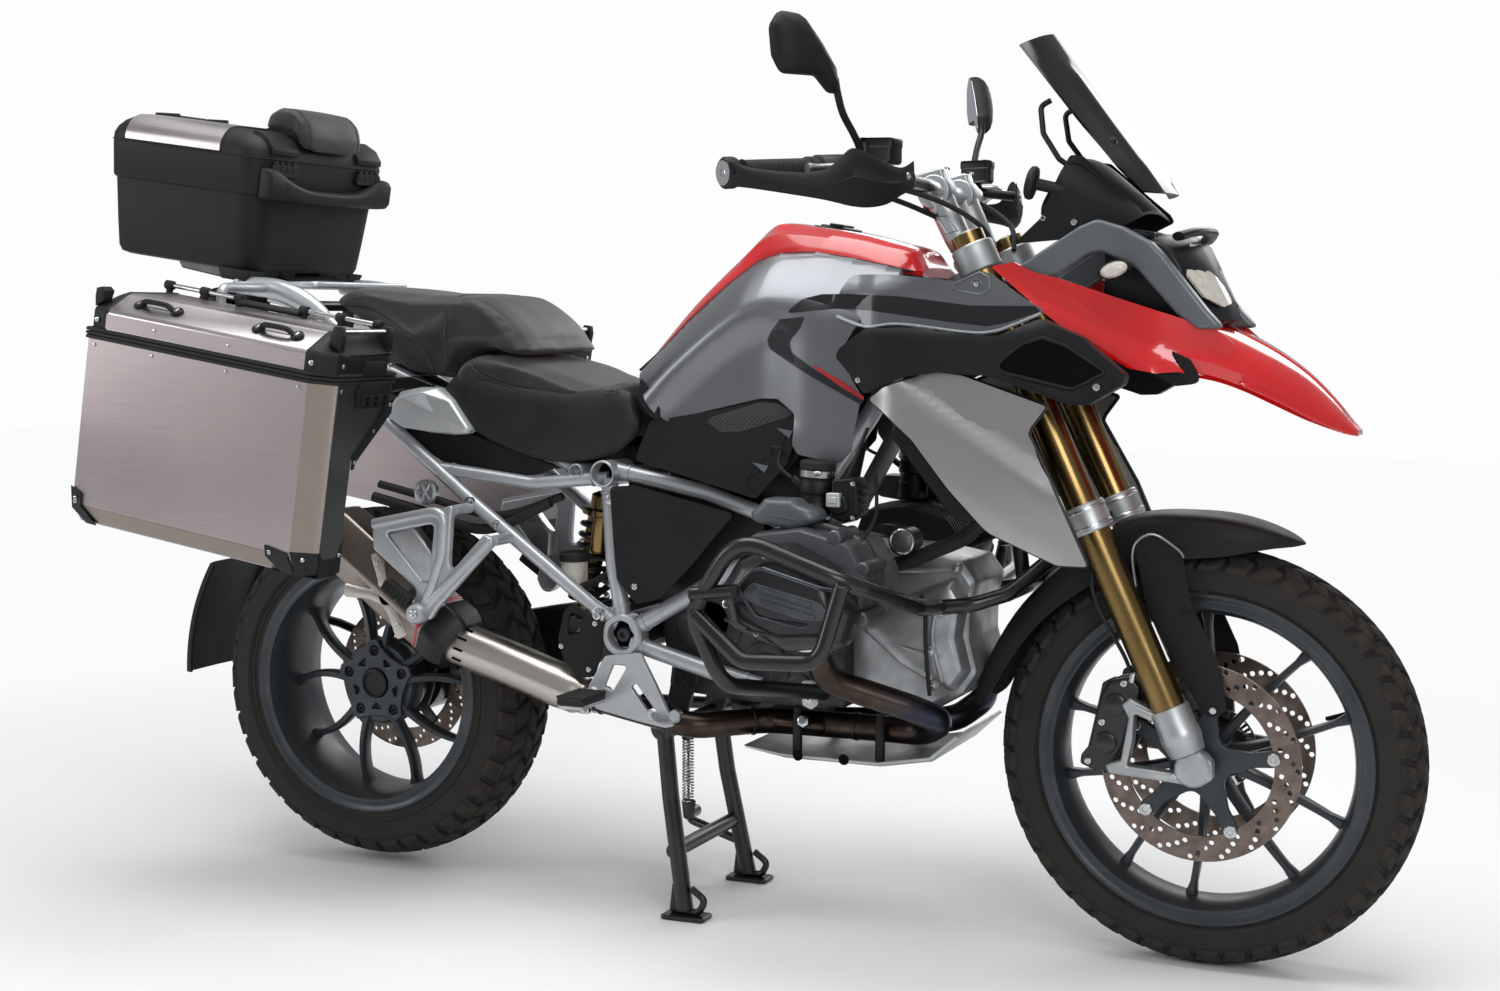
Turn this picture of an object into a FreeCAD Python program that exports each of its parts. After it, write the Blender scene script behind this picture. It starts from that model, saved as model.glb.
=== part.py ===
# Adventure motorcycle with an open flat-twin engine, on its centre stand, with two side cases
# and a top case. Millimetres. +X is forward, +Y is the rider's left, +Z is up, and the origin
# lies on the ground, midway along the machine.
# Tables of points are written from the front axle: x forward of it, z above the ground.
import FreeCAD, Part
import math
import os
import re
import Sketcher
from FreeCAD import Vector as V

SIZES = [
    # name, value in mm or degrees, what it measures
    ("front_axle_x", 838, "front axle ahead of the origin"),
    ("wheelbase", 1507, "front axle to rear axle"),
    ("rear_lift", 13.6, "rear tyre above the ground on the centre stand"),
    ("front_tyre_radius", 326, "front tyre, axle to ground"),
    ("front_tyre_width", 118, "front tyre, widest"),
    ("front_seat_radius", 243, "front rim under the bead"),
    ("front_rim_half", 46, "front rim, centre to bead wall"),
    ("rear_tyre_radius", 320, "rear tyre, axle to tread"),
    ("rear_tyre_width", 170, "rear tyre, widest"),
    ("rear_seat_radius", 217, "rear rim under the bead"),
    ("rear_rim_half", 75, "rear rim, centre to bead wall"),
    ("lip_height", 14, "rim lip above the bead seat"),
    ("lip_width", 5, "rim lip, thickness"),
    ("rim_wall", 7, "rim barrel, thickness"),
    ("tyre_wall", 11, "tyre carcass, thickness"),
    ("crown_rise", 13, "crown of the tread above its shoulder"),
    ("axle_radius", 12.5, "front axle"),
    ("fit_gap", 0.05, "radial clearance of a running fit"),
    ("front_hub_half", 56, "front hub, centre to disc carrier"),
    ("front_hub_radius", 34, "front hub"),
    ("front_disc_radius", 152.5, "front brake disc"),
    ("front_disc_bore", 117, "front brake disc, inside"),
    ("disc_thickness", 5, "brake disc"),
    ("rear_disc_radius", 138, "rear brake disc"),
    ("rear_disc_bore", 98, "rear brake disc, inside"),
    ("rear_disc_y", 52, "rear brake disc, from the centre plane"),
    ("front_spokes", 10, "spokes of the front wheel"),
    ("rear_spokes", 5, "forked spokes of the rear wheel"),
    ("rake", 25.5, "steering axis from the vertical"),
    ("trail", 99.6, "steering axis at the ground, ahead of the front axle"),
    ("fork_lean", 24.6, "fork tubes from the vertical"),
    ("fork_half", 105, "fork tube, from the centre plane"),
    ("fork_radius", 26, "fork tube"),
    ("fork_foot", 95, "axle to the lower end of a fork tube"),
    ("fork_length", 882, "axle to the upper end of a fork tube"),
    ("lower_bridge_at", 385, "axle to the lower fork bridge, along the tube"),
    ("upper_bridge_at", 862, "axle to the upper fork bridge, along the tube"),
    ("bridge_height", 44, "fork bridge, along the tube"),
    ("bar_radius", 14, "handlebar"),
    ("stem_radius", 14, "steering pivot pins"),
    ("frame_tube", 14, "frame tube, radius"),
    ("cross_tube_radius", 22, "open cross tube of the rear frame, outside"),
    ("cross_tube_bore", 19, "open cross tube of the rear frame, inside"),
    ("cross_tube_half", 176, "open cross tube, centre to its end"),
    ("pivot_half", 172, "swingarm pivot boss, centre to its face"),
    ("pivot_radius", 36, "swingarm pivot boss, outside"),
    ("pivot_bore", 24, "swingarm pivot boss, inside"),
    ("guard_bar", 12.5, "engine guard tube, radius"),
    ("stand_tube", 15, "centre stand tube, radius"),
    ("stand_pivot_z", 314, "centre stand pivot above the ground"),
    ("stand_half", 128, "centre stand leg, from the centre plane at the pivot"),
    ("crank_half", 118, "crankcase, centre plane to its side"),
    ("tunnel_half", 118, "tunnel under the tank, centre plane to its side"),
    ("cylinder_out", 320, "cylinder and head, centre plane to the cover joint"),
    ("cover_out", 392, "cylinder head cover, centre plane to its face"),
    ("fin_count", 9, "cooling fins of each cylinder"),
    ("fin_pitch", 10.5, "cooling fins, spacing"),
    ("fin_thickness", 3.5, "cooling fin"),
    ("case_pitch", 9, "side cases, nose down"),
    ("case_length", 478, "side case, front to back"),
    ("case_height", 324, "side case, floor to rim"),
    ("case_width", 188, "side case, across"),
    ("case_floor_width", 98, "right side case, across its floor beside the silencer"),
    ("step_high", 38, "step of the right case, rim to its upper edge"),
    ("step_low", 135, "step of the right case, rim to its lower edge"),
    ("case_bevel", 34, "side case, height of its bevelled lower edge"),
    ("case_corner", 34, "side case, bevel of its front corner"),
    ("case_wall", 3, "side case sheet with its lining"),
    ("lid_height", 68, "side case lid"),
    ("right_case_out", 490, "right side case, centre plane to its outer face"),
    ("left_case_out", 402, "left side case, centre plane to its outer face"),
    ("top_case_pitch", 8, "top case, nose down"),
    ("top_case_length", 348, "top case, front to back"),
    ("top_case_half", 197, "top case, centre to its side at the rim"),
    ("top_case_floor_half", 168, "top case, centre to its side at the floor"),
    ("top_case_height", 204, "top case, floor to rim"),
    ("top_case_wall", 4, "top case wall"),
    ("top_lid_height", 48, "top case lid"),
    ("lid_gap", 0.3, "lid above the rim it closes"),
]

doc = FreeCAD.newDocument("motorcycle")
sheet = doc.addObject("Spreadsheet::Sheet", "sizes")
for row, (name, value, meaning) in enumerate(SIZES, start=1):
    sheet.set(f"A{row}", name)
    sheet.set(f"B{row}", str(value))
    sheet.set(f"C{row}", meaning)
    sheet.setAlias(f"B{row}", name)
doc.recompute()
NAMES = {name for name, value, meaning in SIZES}
parts = []


def full(expression):
    """The expression with each size written as a cell of the sheet."""
    return re.sub(r"[a-z_]+", lambda word: "sizes." + word.group(0)
                  if word.group(0) in NAMES else word.group(0), str(expression))


def size(expression):
    """The number that an expression of sizes stands for."""
    if not isinstance(expression, str):
        return float(expression)
    quantity = sheet.evalExpression(full(expression))
    return float(getattr(quantity, "Value", quantity))


def bind(thing, name, expression):
    """Set a property, and tie it to the sheet where the expression names a size."""
    if isinstance(expression, str):
        thing.setExpression(name, full(expression))


def new_body(label):
    return doc.addObject("PartDesign::Body", label)


def sketch(part, name, role, offset, points):
    """Closed outline on one of the body's planes. A point is (across, up), or (across, up, bend):
    then the edge to the next point is an arc that bulges out by bend."""
    outline = part.newObject("Sketcher::SketchObject", name)
    base = next(plane for plane in part.Origin.OriginFeatures if plane.Role == role)
    outline.AttachmentSupport = [(base, "")]
    outline.MapMode = "FlatFace"
    outline.AttachmentOffset = FreeCAD.Placement(V(0, 0, size(offset)), FreeCAD.Rotation())
    bind(outline, "AttachmentOffset.Base.z", offset)
    corners = [V(size(point[0]), size(point[1]), 0) for point in points]
    edges = []
    for point, here, there in zip(points, corners, corners[1:] + corners[:1]):
        if len(point) == 3:
            across = (there - here).cross(V(0, 0, 1)).normalize()
            crest = (here + there) / 2 + across * size(point[2])
            edges.append(outline.addGeometry(Part.Arc(here, crest, there)))
        else:
            edges.append(outline.addGeometry(Part.LineSegment(here, there)))

    def end_of(edge, corner):
        return 1 if outline.getPoint(edge, 1).distanceToPoint(corner) < 1e-6 else 2

    for index, (point, corner) in enumerate(zip(points, corners)):
        edge, before = edges[index], edges[index - 1]
        outline.addConstraint(Sketcher.Constraint(
            "Coincident", before, end_of(before, corner), edge, end_of(edge, corner)))
        for kind, value in (("DistanceX", point[0]), ("DistanceY", point[1])):
            number = outline.addConstraint(Sketcher.Constraint(
                kind, -1, 1, edge, end_of(edge, corner), size(value)))
            bind(outline, f"Constraints[{number}]", value)
        if len(point) == 3:
            radius = outline.Geometry[edge].Radius
            outline.addConstraint(Sketcher.Constraint("Radius", edge, radius))
    return outline


def start_of(role, low, high):
    """Where the sketch plane of a pad lies, from its normal: the XZ plane's points to -Y."""
    return f"-({high})" if role == "XZ_Plane" else low


def pad(part, name, role, low, high, points):
    """Solid between two distances along the normal axis of the plane."""
    feature = part.newObject("PartDesign::Pad", name)
    feature.Profile = sketch(part, name + "_outline", role, start_of(role, low, high), points)
    feature.Length = size(f"({high}) - ({low})")
    bind(feature, "Length", f"({high}) - ({low})")
    return feature


def pocket(part, name, role, low, high, points):
    """Cut between two distances along the normal axis of the plane."""
    feature = part.newObject("PartDesign::Pocket", name)
    start = f"-({low})" if role == "XZ_Plane" else high
    feature.Profile = sketch(part, name + "_outline", role, start, points)
    feature.Length = size(f"({high}) - ({low})")
    bind(feature, "Length", f"({high}) - ({low})")
    return feature


def loft(part, name, role, sections, ruled=True):
    """Solid through outlines with equally many points. A section is (distance, points)."""
    outlines = []
    for number, (distance, points) in enumerate(sections):
        offset = f"-({distance})" if role == "XZ_Plane" else distance
        outlines.append(sketch(part, f"{name}_{number}", role, offset, points))
    feature = part.newObject("PartDesign::AdditiveLoft", name)
    feature.Profile = outlines[0]
    feature.Sections = outlines[1:]
    feature.Ruled = ruled
    return feature


def turn(part, name, points):
    """Solid of revolution about the body's Y axis. A point is (radius, y)."""
    feature = part.newObject("PartDesign::Revolution", name)
    outline = sketch(part, name + "_outline", "XY_Plane", 0, points)
    feature.Profile = outline
    feature.ReferenceAxis = (outline, ["V_Axis"])
    feature.Angle = 360
    return feature


def repeat(part, feature, count):
    """Polar pattern of a feature about the body's Y axis."""
    pattern = part.newObject("PartDesign::PolarPattern", feature.Name + "_ring")
    pattern.Originals = [feature]
    axis = next(line for line in part.Origin.OriginFeatures if line.Role == "Y_Axis")
    pattern.Axis = (axis, [""])
    pattern.Angle = 360
    pattern.Occurrences = int(size(count))
    bind(pattern, "Occurrences", count)
    part.Tip = pattern
    return pattern


def seat(thing, label, x="front_axle_x", y=0, z=0, pitch=0):
    """Name a finished sub-part and put it in its place on the machine."""
    thing.Label = label
    thing.Placement = FreeCAD.Placement(V(size(x), size(y), size(z)),
                                        FreeCAD.Rotation(V(0, 1, 0), size(pitch)))
    for name, value in (("x", x), ("y", y), ("z", z)):
        bind(thing, "Placement.Base." + name, value)
    bind(thing, "Placement.Rotation.Angle", pitch)
    parts.append(thing)
    return thing


def pair(source):
    """The piece of the right-hand side and its mirror image on the left, as one object."""
    mirror = doc.addObject("Part::Mirroring", source.Name + "_left")
    mirror.Source = source
    mirror.Normal = V(0, 1, 0)
    both = doc.addObject("Part::Compound", source.Name + "_both")
    both.Links = [source, mirror]
    return both


def join(name, things):
    """Several objects fused to one."""
    fused = doc.addObject("Part::MultiFuse", name + "_joined")
    fused.Shapes = things
    return fused


def feature(name, shape):
    """A shape made by the functions below, as an object of the document."""
    thing = doc.addObject("Part::Feature", name)
    thing.Shape = shape
    return thing


def bar(points, radius, bend=60):
    """Round bar along straight runs, with an arc of radius bend at each corner."""
    corners = [V(*point) for point in points]
    pieces = []
    start = corners[0]
    for before, here, after in zip(corners, corners[1:], corners[2:]):
        back = (before - here).normalize()
        ahead = (after - here).normalize()
        half = back.getAngle(ahead) / 2
        reach = min(bend / math.tan(half), 0.45 * before.distanceToPoint(here),
                    0.45 * after.distanceToPoint(here))
        curve = reach * math.tan(half)
        if curve < radius * 1.05:
            raise RuntimeError(f"A bend at {here} is too tight for its bar")
        centre = here + (back + ahead).normalize() * (curve / math.sin(half))
        bend_start, bend_end = here + back * reach, here + ahead * reach
        section = Part.Face(Part.Wire([Part.makeCircle(radius, bend_start, back * -1)]))
        turned = 180 - math.degrees(2 * half)
        pieces.append(Part.makeCylinder(radius, start.distanceToPoint(bend_start), start,
                                        back * -1))
        pieces.append(section.revolve(centre, ahead.cross(back), turned))
        start = bend_end
    pieces.append(Part.makeCylinder(radius, start.distanceToPoint(corners[-1]), start,
                                    corners[-1] - start))
    return pieces[0].multiFuse(pieces[1:]).removeSplitter()


def mirrored(shape):
    return shape.mirror(V(0, 0, 0), V(0, 1, 0))


def fused(shapes):
    return shapes[0].multiFuse(shapes[1:]).removeSplitter()


def biggest(shape):
    return max(shape.Solids, key=lambda solid: solid.Volume)


def rod(start, end, radius):
    """Round rod between two points."""
    axis = V(*end) - V(*start)
    return Part.makeCylinder(radius, axis.Length, V(*start), axis)


def plate(points, low, high):
    """Flat piece with its outline in x and z, between two distances y."""
    wire = Part.makePolygon([V(x, low, z) for x, z in points + points[:1]])
    return Part.Face(wire).extrude(V(0, high - low, 0))


def along_fork(distance, y=0.0, ahead=0.0):
    """Point on the fork's centre line, distance above the axle and ahead of the line."""
    lean = math.radians(size("fork_lean"))
    x = -distance * math.sin(lean) + ahead * math.cos(lean)
    z = size("front_tyre_radius") + distance * math.cos(lean) + ahead * math.sin(lean)
    return V(x, y, z)


def on_steering_axis(z):
    return V(size("trail") - z * math.tan(math.radians(size("rake"))), 0, z)


# Wheels: cast rims, tyres as open carcasses, brake discs on star carriers

def tyre(label, end):
    seat_r, half = f"{end}_seat_radius", f"{end}_rim_half"
    tread, width = f"{end}_tyre_radius", f"{end}_tyre_width"
    belly = f"({seat_r} * 0.45 + {tread} * 0.55)"
    part = new_body(label)
    turn(part, "carcass", [
        (seat_r, f"-{half}"),
        (f"{seat_r} + lip_height", f"-{half}"),
        (belly, f"-{width} / 2"),
        (f"{tread} - crown_rise", f"-{width} * 0.44"),
        (tread, f"-{width} * 0.2"),
        (tread, f"{width} * 0.2"),
        (f"{tread} - crown_rise", f"{width} * 0.44"),
        (belly, f"{width} / 2"),
        (f"{seat_r} + lip_height", half),
        (seat_r, half),
        (seat_r, f"{half} - tyre_wall"),
        (belly, f"{width} / 2 - tyre_wall"),
        (f"{tread} - crown_rise - tyre_wall", f"{width} * 0.44 - tyre_wall"),
        (f"{tread} - crown_rise - tyre_wall", f"tyre_wall - {width} * 0.44"),
        (belly, f"tyre_wall - {width} / 2"),
        (seat_r, f"tyre_wall - {half}")])
    return part


def rim(label, end, hub, spoke, reach, count):
    """Cast rim: hub, spokes and barrel. A hub and a spoke are lists of outline points."""
    seat_r, half = f"{end}_seat_radius", f"{end}_rim_half"
    part = new_body(label)
    turn(part, "hub", hub)
    arm = pad(part, "spoke", "XZ_Plane", f"-({reach})", reach, spoke)
    repeat(part, arm, count)
    turn(part, "barrel", [
        (f"{seat_r} + lip_height", f"-{half} - lip_width"),
        (f"{seat_r} + lip_height", f"-{half}"),
        (seat_r, f"-{half}"),
        (f"{seat_r} - 2 * rim_wall", 0),
        (seat_r, half),
        (f"{seat_r} + lip_height", half),
        (f"{seat_r} + lip_height", f"{half} + lip_width"),
        (f"{seat_r} - rim_wall", f"{half} + lip_width"),
        (f"{seat_r} - 3 * rim_wall", f"{half} * 0.2"),
        (f"{seat_r} - 3 * rim_wall", f"-{half} * 0.2"),
        (f"{seat_r} - rim_wall", f"-{half} - lip_width")])
    return part


def disc(name, radius, bore, inner, carrier_radius, low, high):
    """Brake disc between two distances y, on a five-armed carrier on its inner side."""
    part = new_body(name)
    turn(part, "ring", [(bore, low), (radius, low), (radius, high), (bore, high)])
    hub = new_body(name + "_carrier")
    turn(hub, "centre", [(inner, high), (carrier_radius, high),
                         (carrier_radius, f"{high} + 8"), (inner, f"{high} + 8")])
    arm = pad(hub, "arm", "XZ_Plane", high, f"{high} + 8",
              [(-13, f"{inner} + 6"), (13, f"{inner} + 6"), (15, f"{bore} + 10"),
               (-15, f"{bore} + 10")])
    repeat(hub, arm, 5)
    return join(name, [part, hub])


FRONT_HUB = [("axle_radius + fit_gap", "-front_hub_half"), ("front_hub_radius", "-front_hub_half"),
             ("front_hub_radius + 6", 0), ("front_hub_radius", "front_hub_half"),
             ("axle_radius + fit_gap", "front_hub_half")]
FRONT_SPOKE = [(-9, "front_hub_radius - 4"), (9, "front_hub_radius - 4"),
               (6, "front_seat_radius - 18"), (-6, "front_seat_radius - 18")]
seat(tyre("front_tyre", "front"), "front_tyre", z="front_tyre_radius")
seat(rim("front_rim", "front", FRONT_HUB, FRONT_SPOKE, 15, "front_spokes"),
     "front_rim", z="front_tyre_radius")
seat(pair(disc("front_brake_disc", "front_disc_radius", "front_disc_bore", 22, 44,
               "-front_hub_half - 8 - disc_thickness", "-front_hub_half - 8")),
     "front_brake_discs", z="front_tyre_radius")

REAR_HUB = [(28, -38), (72, -38), (84, -20), (84, 20), (60, 44), (28, 44)]
REAR_SPOKE = [(-32, 70), (32, 70), (44, "rear_seat_radius - 20"), (28, "rear_seat_radius - 16"),
              (0, 112), (-28, "rear_seat_radius - 16"), (-44, "rear_seat_radius - 20")]
seat(tyre("rear_tyre", "rear"), "rear_tyre", "front_axle_x - wheelbase",
     z="rear_tyre_radius + rear_lift")
seat(rim("rear_rim", "rear", REAR_HUB, REAR_SPOKE, 19, "rear_spokes"), "rear_rim",
     "front_axle_x - wheelbase", z="rear_tyre_radius + rear_lift")
rear_disc = new_body("rear_brake_disc")
turn(rear_disc, "ring", [("rear_disc_bore", "rear_disc_y"), ("rear_disc_radius", "rear_disc_y"),
                         ("rear_disc_radius", "rear_disc_y + disc_thickness"),
                         ("rear_disc_bore", "rear_disc_y + disc_thickness")])
turn(rear_disc, "bell", [(60, 44), ("rear_disc_bore + 8", 44), ("rear_disc_bore + 8", "rear_disc_y"),
                         (60, "rear_disc_y")])
seat(rear_disc, "rear_brake_disc", "front_axle_x - wheelbase", z="rear_tyre_radius + rear_lift")

# Fork: tubes, feet, bridges, axle, calipers and mudguard, all turning on the steering axis

fork_r = size("fork_radius")
side = -size("fork_half")
foot_at, top_at = size("fork_foot"), size("fork_length")
tube_right = rod(along_fork(foot_at, side), along_fork(top_at, side), fork_r)
seat(feature("fork_tubes_shape", Part.makeCompound([tube_right, mirrored(tube_right)])),
     "fork_tubes")

axle_z = size("front_tyre_radius")
ARM = [(-126, -9), (-100, -4), (-106, 55), (-96, 93), (-39, 68), (-14, 22), (18, 31), (29, -3),
       (4, -23), (-17, -17), (-78, -20), (-100, -14)]
ARM_WINDOW = [(-90, -4), (-78, 50), (-46, 46), (-34, 6), (-60, -4)]
foot = rod(along_fork(20, side), along_fork(foot_at, side), fork_r + 3)
arm = plate([(x, axle_z + up) for x, up in ARM], side - 12, side + 12)
arm = arm.cut(plate([(x, axle_z + up) for x, up in ARM_WINDOW], side - 13, side + 13))
clamp = rod((0, side - 20, axle_z), (0, side + 20, axle_z), 27)
axle_hole = rod((0, side - 30, axle_z), (0, side + 30, axle_z), size("axle_radius"))
foot = fused([foot, arm, clamp]).cut(axle_hole).cut(tube_right)
seat(feature("fork_feet_shape", Part.makeCompound([foot, mirrored(foot)])), "fork_feet")

axle_half = size("fork_half") + 20
axle = rod((0, -axle_half, axle_z), (0, axle_half, axle_z), size("axle_radius"))
hex_key = Part.makeCylinder(7, 18, V(0, -axle_half, axle_z), V(0, 1, 0))
seat(feature("front_axle_shape", axle.cut(hex_key)), "front_axle")

stem_r = size("stem_radius")
bridge_h = size("bridge_height")
half_fork = size("fork_half")


def bridge(at, drop, boss_z):
    """Fork bridge: two clamp rings, a beam behind the tubes and a boss on the steering axis."""
    pieces = []
    for y in (-half_fork, half_fork):
        pieces.append(rod(along_fork(at, y), along_fork(at + bridge_h, y), fork_r + 7))
    low = along_fork(at + bridge_h - 14, -half_fork, -20)
    beam = rod(low, V(low.x, half_fork, low.z), 15)
    axis = on_steering_axis(boss_z + 20) - on_steering_axis(boss_z)
    boss = Part.makeCylinder(stem_r + 12, drop, on_steering_axis(boss_z), axis)
    web = rod(on_steering_axis(boss_z + drop / 2), V(low.x, 0, low.z), 12)
    solid = fused(pieces + [beam, boss, web])
    for y in (-half_fork, half_fork):
        solid = solid.cut(rod(along_fork(at - 30, y), along_fork(at + bridge_h + 30, y), fork_r))
    bore = Part.makeCylinder(stem_r + size("fit_gap"), 200, on_steering_axis(boss_z - 80), axis)
    return solid.cut(bore)


LOWER_BOSS_Z, UPPER_BOSS_Z = 648, 1072
BOSS = 36
lower_bridge = bridge(size("lower_bridge_at"), BOSS, LOWER_BOSS_Z)
upper_bridge = bridge(size("upper_bridge_at") - bridge_h, BOSS, UPPER_BOSS_Z)
seat(feature("fork_bridges_shape", Part.makeCompound([lower_bridge, upper_bridge])),
     "fork_bridges")

caliper_y = -size("front_hub_half") - 8 - size("disc_thickness") / 2
CALIPER = [(-133, 448), (-97, 456), (-98, 393), (-128, 312), (-176, 313), (-160, 330),
           (-156, 389), (-148, 426)]
CALIPER_INNER = [(-137, 446), (-112, 450), (-136, 385), (-142, 326), (-172, 326), (-156, 389)]
caliper = fused([plate(CALIPER, caliper_y - 33, caliper_y - 8),
                 plate(CALIPER_INNER, caliper_y - 10, caliper_y + 22)])
disc_room = Part.makeCylinder(size("front_disc_radius") + 5, size("disc_thickness") + 10,
                              V(0, caliper_y - size("disc_thickness") / 2 - 5, axle_z), V(0, 1, 0))
caliper = biggest(caliper.cut(disc_room).cut(foot))
seat(feature("front_calipers_shape", Part.makeCompound([caliper, mirrored(caliper)])),
     "front_calipers")

# Front mudguard: a curved shell over the tyre with side blades beside the wheel

fender_in = size("front_tyre_radius") + 12
fender_out = fender_in + 6
FENDER_HALF, FENDER_FROM, FENDER_TO = 74, 62, 171


def ring_sector(outer, inner, low, high, start, end):
    """Part of a ring about the front axle, from one angle to another above the front."""
    corners = [V(radius * math.cos(math.radians(angle)), low,
                 axle_z + radius * math.sin(math.radians(angle)))
               for radius, angle in ((outer, start), (outer, (start + end) / 2), (outer, end),
                                     (inner, end), (inner, (start + end) / 2), (inner, start))]
    edges = [Part.Arc(*corners[:3]).toShape(), Part.makeLine(corners[2], corners[3]),
             Part.Arc(*corners[3:]).toShape(), Part.makeLine(corners[5], corners[0])]
    return Part.Face(Part.Wire(edges)).extrude(V(0, high - low, 0))


fender = [ring_sector(fender_out, fender_in, -FENDER_HALF, FENDER_HALF, FENDER_FROM, FENDER_TO)]
for low in (-FENDER_HALF, FENDER_HALF - 5):
    fender.append(ring_sector(fender_out, fender_in - 34, low, low + 5, FENDER_FROM + 8, FENDER_TO))
SHIELD = [(-91, 633), (-107, 690), (-36, 700), (-32, 636), (-18, 576), (24, 486), (38, 410),
          (6, 400), (-30, 482), (-60, 567)]
for low in (-FENDER_HALF - 4, FENDER_HALF):
    fender.append(plate(SHIELD, low, low + 4))
STAY = [(-91, 633), (-135, 620), (-115, 560), (-60, 567)]
for low in (-FENDER_HALF - 10, FENDER_HALF):
    fender.append(plate(STAY, low, low + 10))
fender_shape = fused(fender).cut(tube_right).cut(mirrored(tube_right))
seat(feature("front_mudguard_shape", fender_shape), "front_mudguard")

# Handlebar, controls, hand guards and mirrors

bar_r = size("bar_radius")
BAR_RIGHT = [(-430, -30, 1196), (-425, -120, 1198), (-470, -230, 1214), (-528, -330, 1216),
             (-600, -445, 1206)]
BAR = [(x, -y, z) for x, y, z in reversed(BAR_RIGHT)] + BAR_RIGHT
handlebar = [bar(BAR, bar_r, 90)]
for y in (-62, 62):
    handlebar.append(rod(along_fork(size("upper_bridge_at") - 10, y, -26), V(-430, y, 1196), 19))
    handlebar.append(rod((-430, y - 18, 1196), (-430, y + 18, 1196), 26))
handlebar_shape = biggest(fused(handlebar).cut(upper_bridge))
seat(feature("handlebar_shape", handlebar_shape), "handlebar")

grip = rod((-524, -326, 1216), (-597, -440, 1207), 18)
grip = grip.fuse(rod((-597, -440, 1207), (-607, -455, 1205), 22))
switch_box = rod((-494, -276, 1215), (-528, -330, 1216), 27)
lever = bar([(-484, -284, 1222), (-436, -300, 1221), (-500, -412, 1212)], 6, 20)
reservoir = Part.makeCylinder(24, 32, V(-464, -244, 1236), V(0, 0, 1))
reservoir_foot = Part.makeBox(50, 70, 8, V(-506, -306, 1231))
control = fused([grip, switch_box, lever, reservoir, reservoir_foot])
control = biggest(control.cut(bar(BAR, bar_r + 0.1, 90)))
seat(feature("bar_controls_shape", Part.makeCompound([control, mirrored(control)])),
     "bar_controls")

guard_path = [(-612, -466, 1207), (-560, -470, 1204), (-470, -420, 1205), (-410, -330, 1205),
              (-400, -262, 1207)]
guard = bar(guard_path, 13, 60)
for x, y, z in guard_path[2:4]:
    guard = guard.fuse(Part.makeBox(60, 24, 74, V(x - 25, y - 12, z - 38)))
guard = guard.fuse(rod((-400, -262, 1207), (-462, -228, 1213), 9))
guard = biggest(guard.cut(handlebar_shape).cut(control))
seat(feature("hand_guards_shape", Part.makeCompound([guard, mirrored(guard)])), "hand_guards")

MIRROR = [(-585, 1433), (-556, 1428), (-517, 1390), (-485, 1350), (-482, 1321), (-517, 1340),
          (-585, 1345), (-603, 1372), (-605, 1411)]
mirror = plate(MIRROR, -14, 14)
mirror.rotate(V(-482, 0, 1330), V(0, 0, 1), 62)
mirror.translate(V(0, -352, 0))
stalk = bar([(-478, -262, 1226), (-484, -300, 1262), (-488, -330, 1300), (-486, -352, 1336)], 7, 40)
mirror = biggest(mirror.fuse(stalk).cut(control).cut(handlebar_shape))
seat(feature("mirrors_shape", Part.makeCompound([mirror, mirrored(mirror)])), "mirrors")

# Frame: pivot bosses, tubes of the rear frame, open cross tubes and steering head

tube_r = size("frame_tube")
pivot_half, pivot_z = size("pivot_half"), 476
frame_in = size("crank_half + frame_tube") + 0.2
PIVOT = (-935, pivot_z)
CROSS = (-966, 743)
rails = []
for s in (-1, 1):
    y = 150 * s
    rails += [
        bar([(-940, y, 500), (-958, y, 590), (CROSS[0], y, 735)], tube_r, 200),
        bar([(-640, frame_in * s, 665), (-790, 138 * s, 715), (CROSS[0] + 12, 146 * s, 748)],
            tube_r - 1, 120),
        bar([(-950, y, 494), (-990, y + 12 * s, 520), (-1222, y + 12 * s, 686), (-1415, y + 6 * s, 832),
             (-1560, y - 20 * s, 935)], tube_r - 2, 120),
        bar([(-966, y, 735), (-1110, y, 721), (-1295, y + 5 * s, 742)], tube_r - 3, 90),
        bar([(-1026, 132 * s, 740), (-1200, 125 * s, 826), (-1420, 118 * s, 908),
             (-1640, 110 * s, 1005)], tube_r - 2, 160),
        bar([(-922, y + 4 * s, 462), (-780, y, 425), (-700, frame_in * s, 404)], tube_r, 100),
        bar([(-920, y + 4 * s, 486), (-830, 142 * s, 540), (-700, frame_in * s, 620)], tube_r, 100),
        rod((PIVOT[0], 140 * s, PIVOT[1]), (PIVOT[0], pivot_half * s, PIVOT[1]),
            size("pivot_radius")),
        bar([(-640, frame_in * s, 665), (-530, 96 * s, 840), (-455, 60 * s, 985),
             (-405, 16 * s, 1040)], tube_r + 2, 200)]
rails.append(rod((CROSS[0], -size("cross_tube_half"), CROSS[1]),
                 (CROSS[0], size("cross_tube_half"), CROSS[1]), size("cross_tube_radius")))
rails.append(rod((-1026, -158, 744), (-1026, 158, 744), 13))
rails.append(rod((-640, -frame_in, 665), (-640, frame_in, 665), tube_r))
rails.append(rod((-1420, -118, 908), (-1420, 118, 908), tube_r - 2))
for s in (-1, 1):
    rails.append(rod((-790, 138 * s, 715), (-790, 138 * s, 856.8), 9))
SIDE_PIN, SIDE_AXIS = V(-800, 150, 318), V(0, -0.9592, -0.2827)
rails.append(plate([(-828, 430), (-772, 425), (-784, 312), (-816, 312)], 126, 134.8))
rails.append(plate([(-828, 430), (-772, 425), (-775, 345), (-825, 345)], 126, 142))
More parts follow.
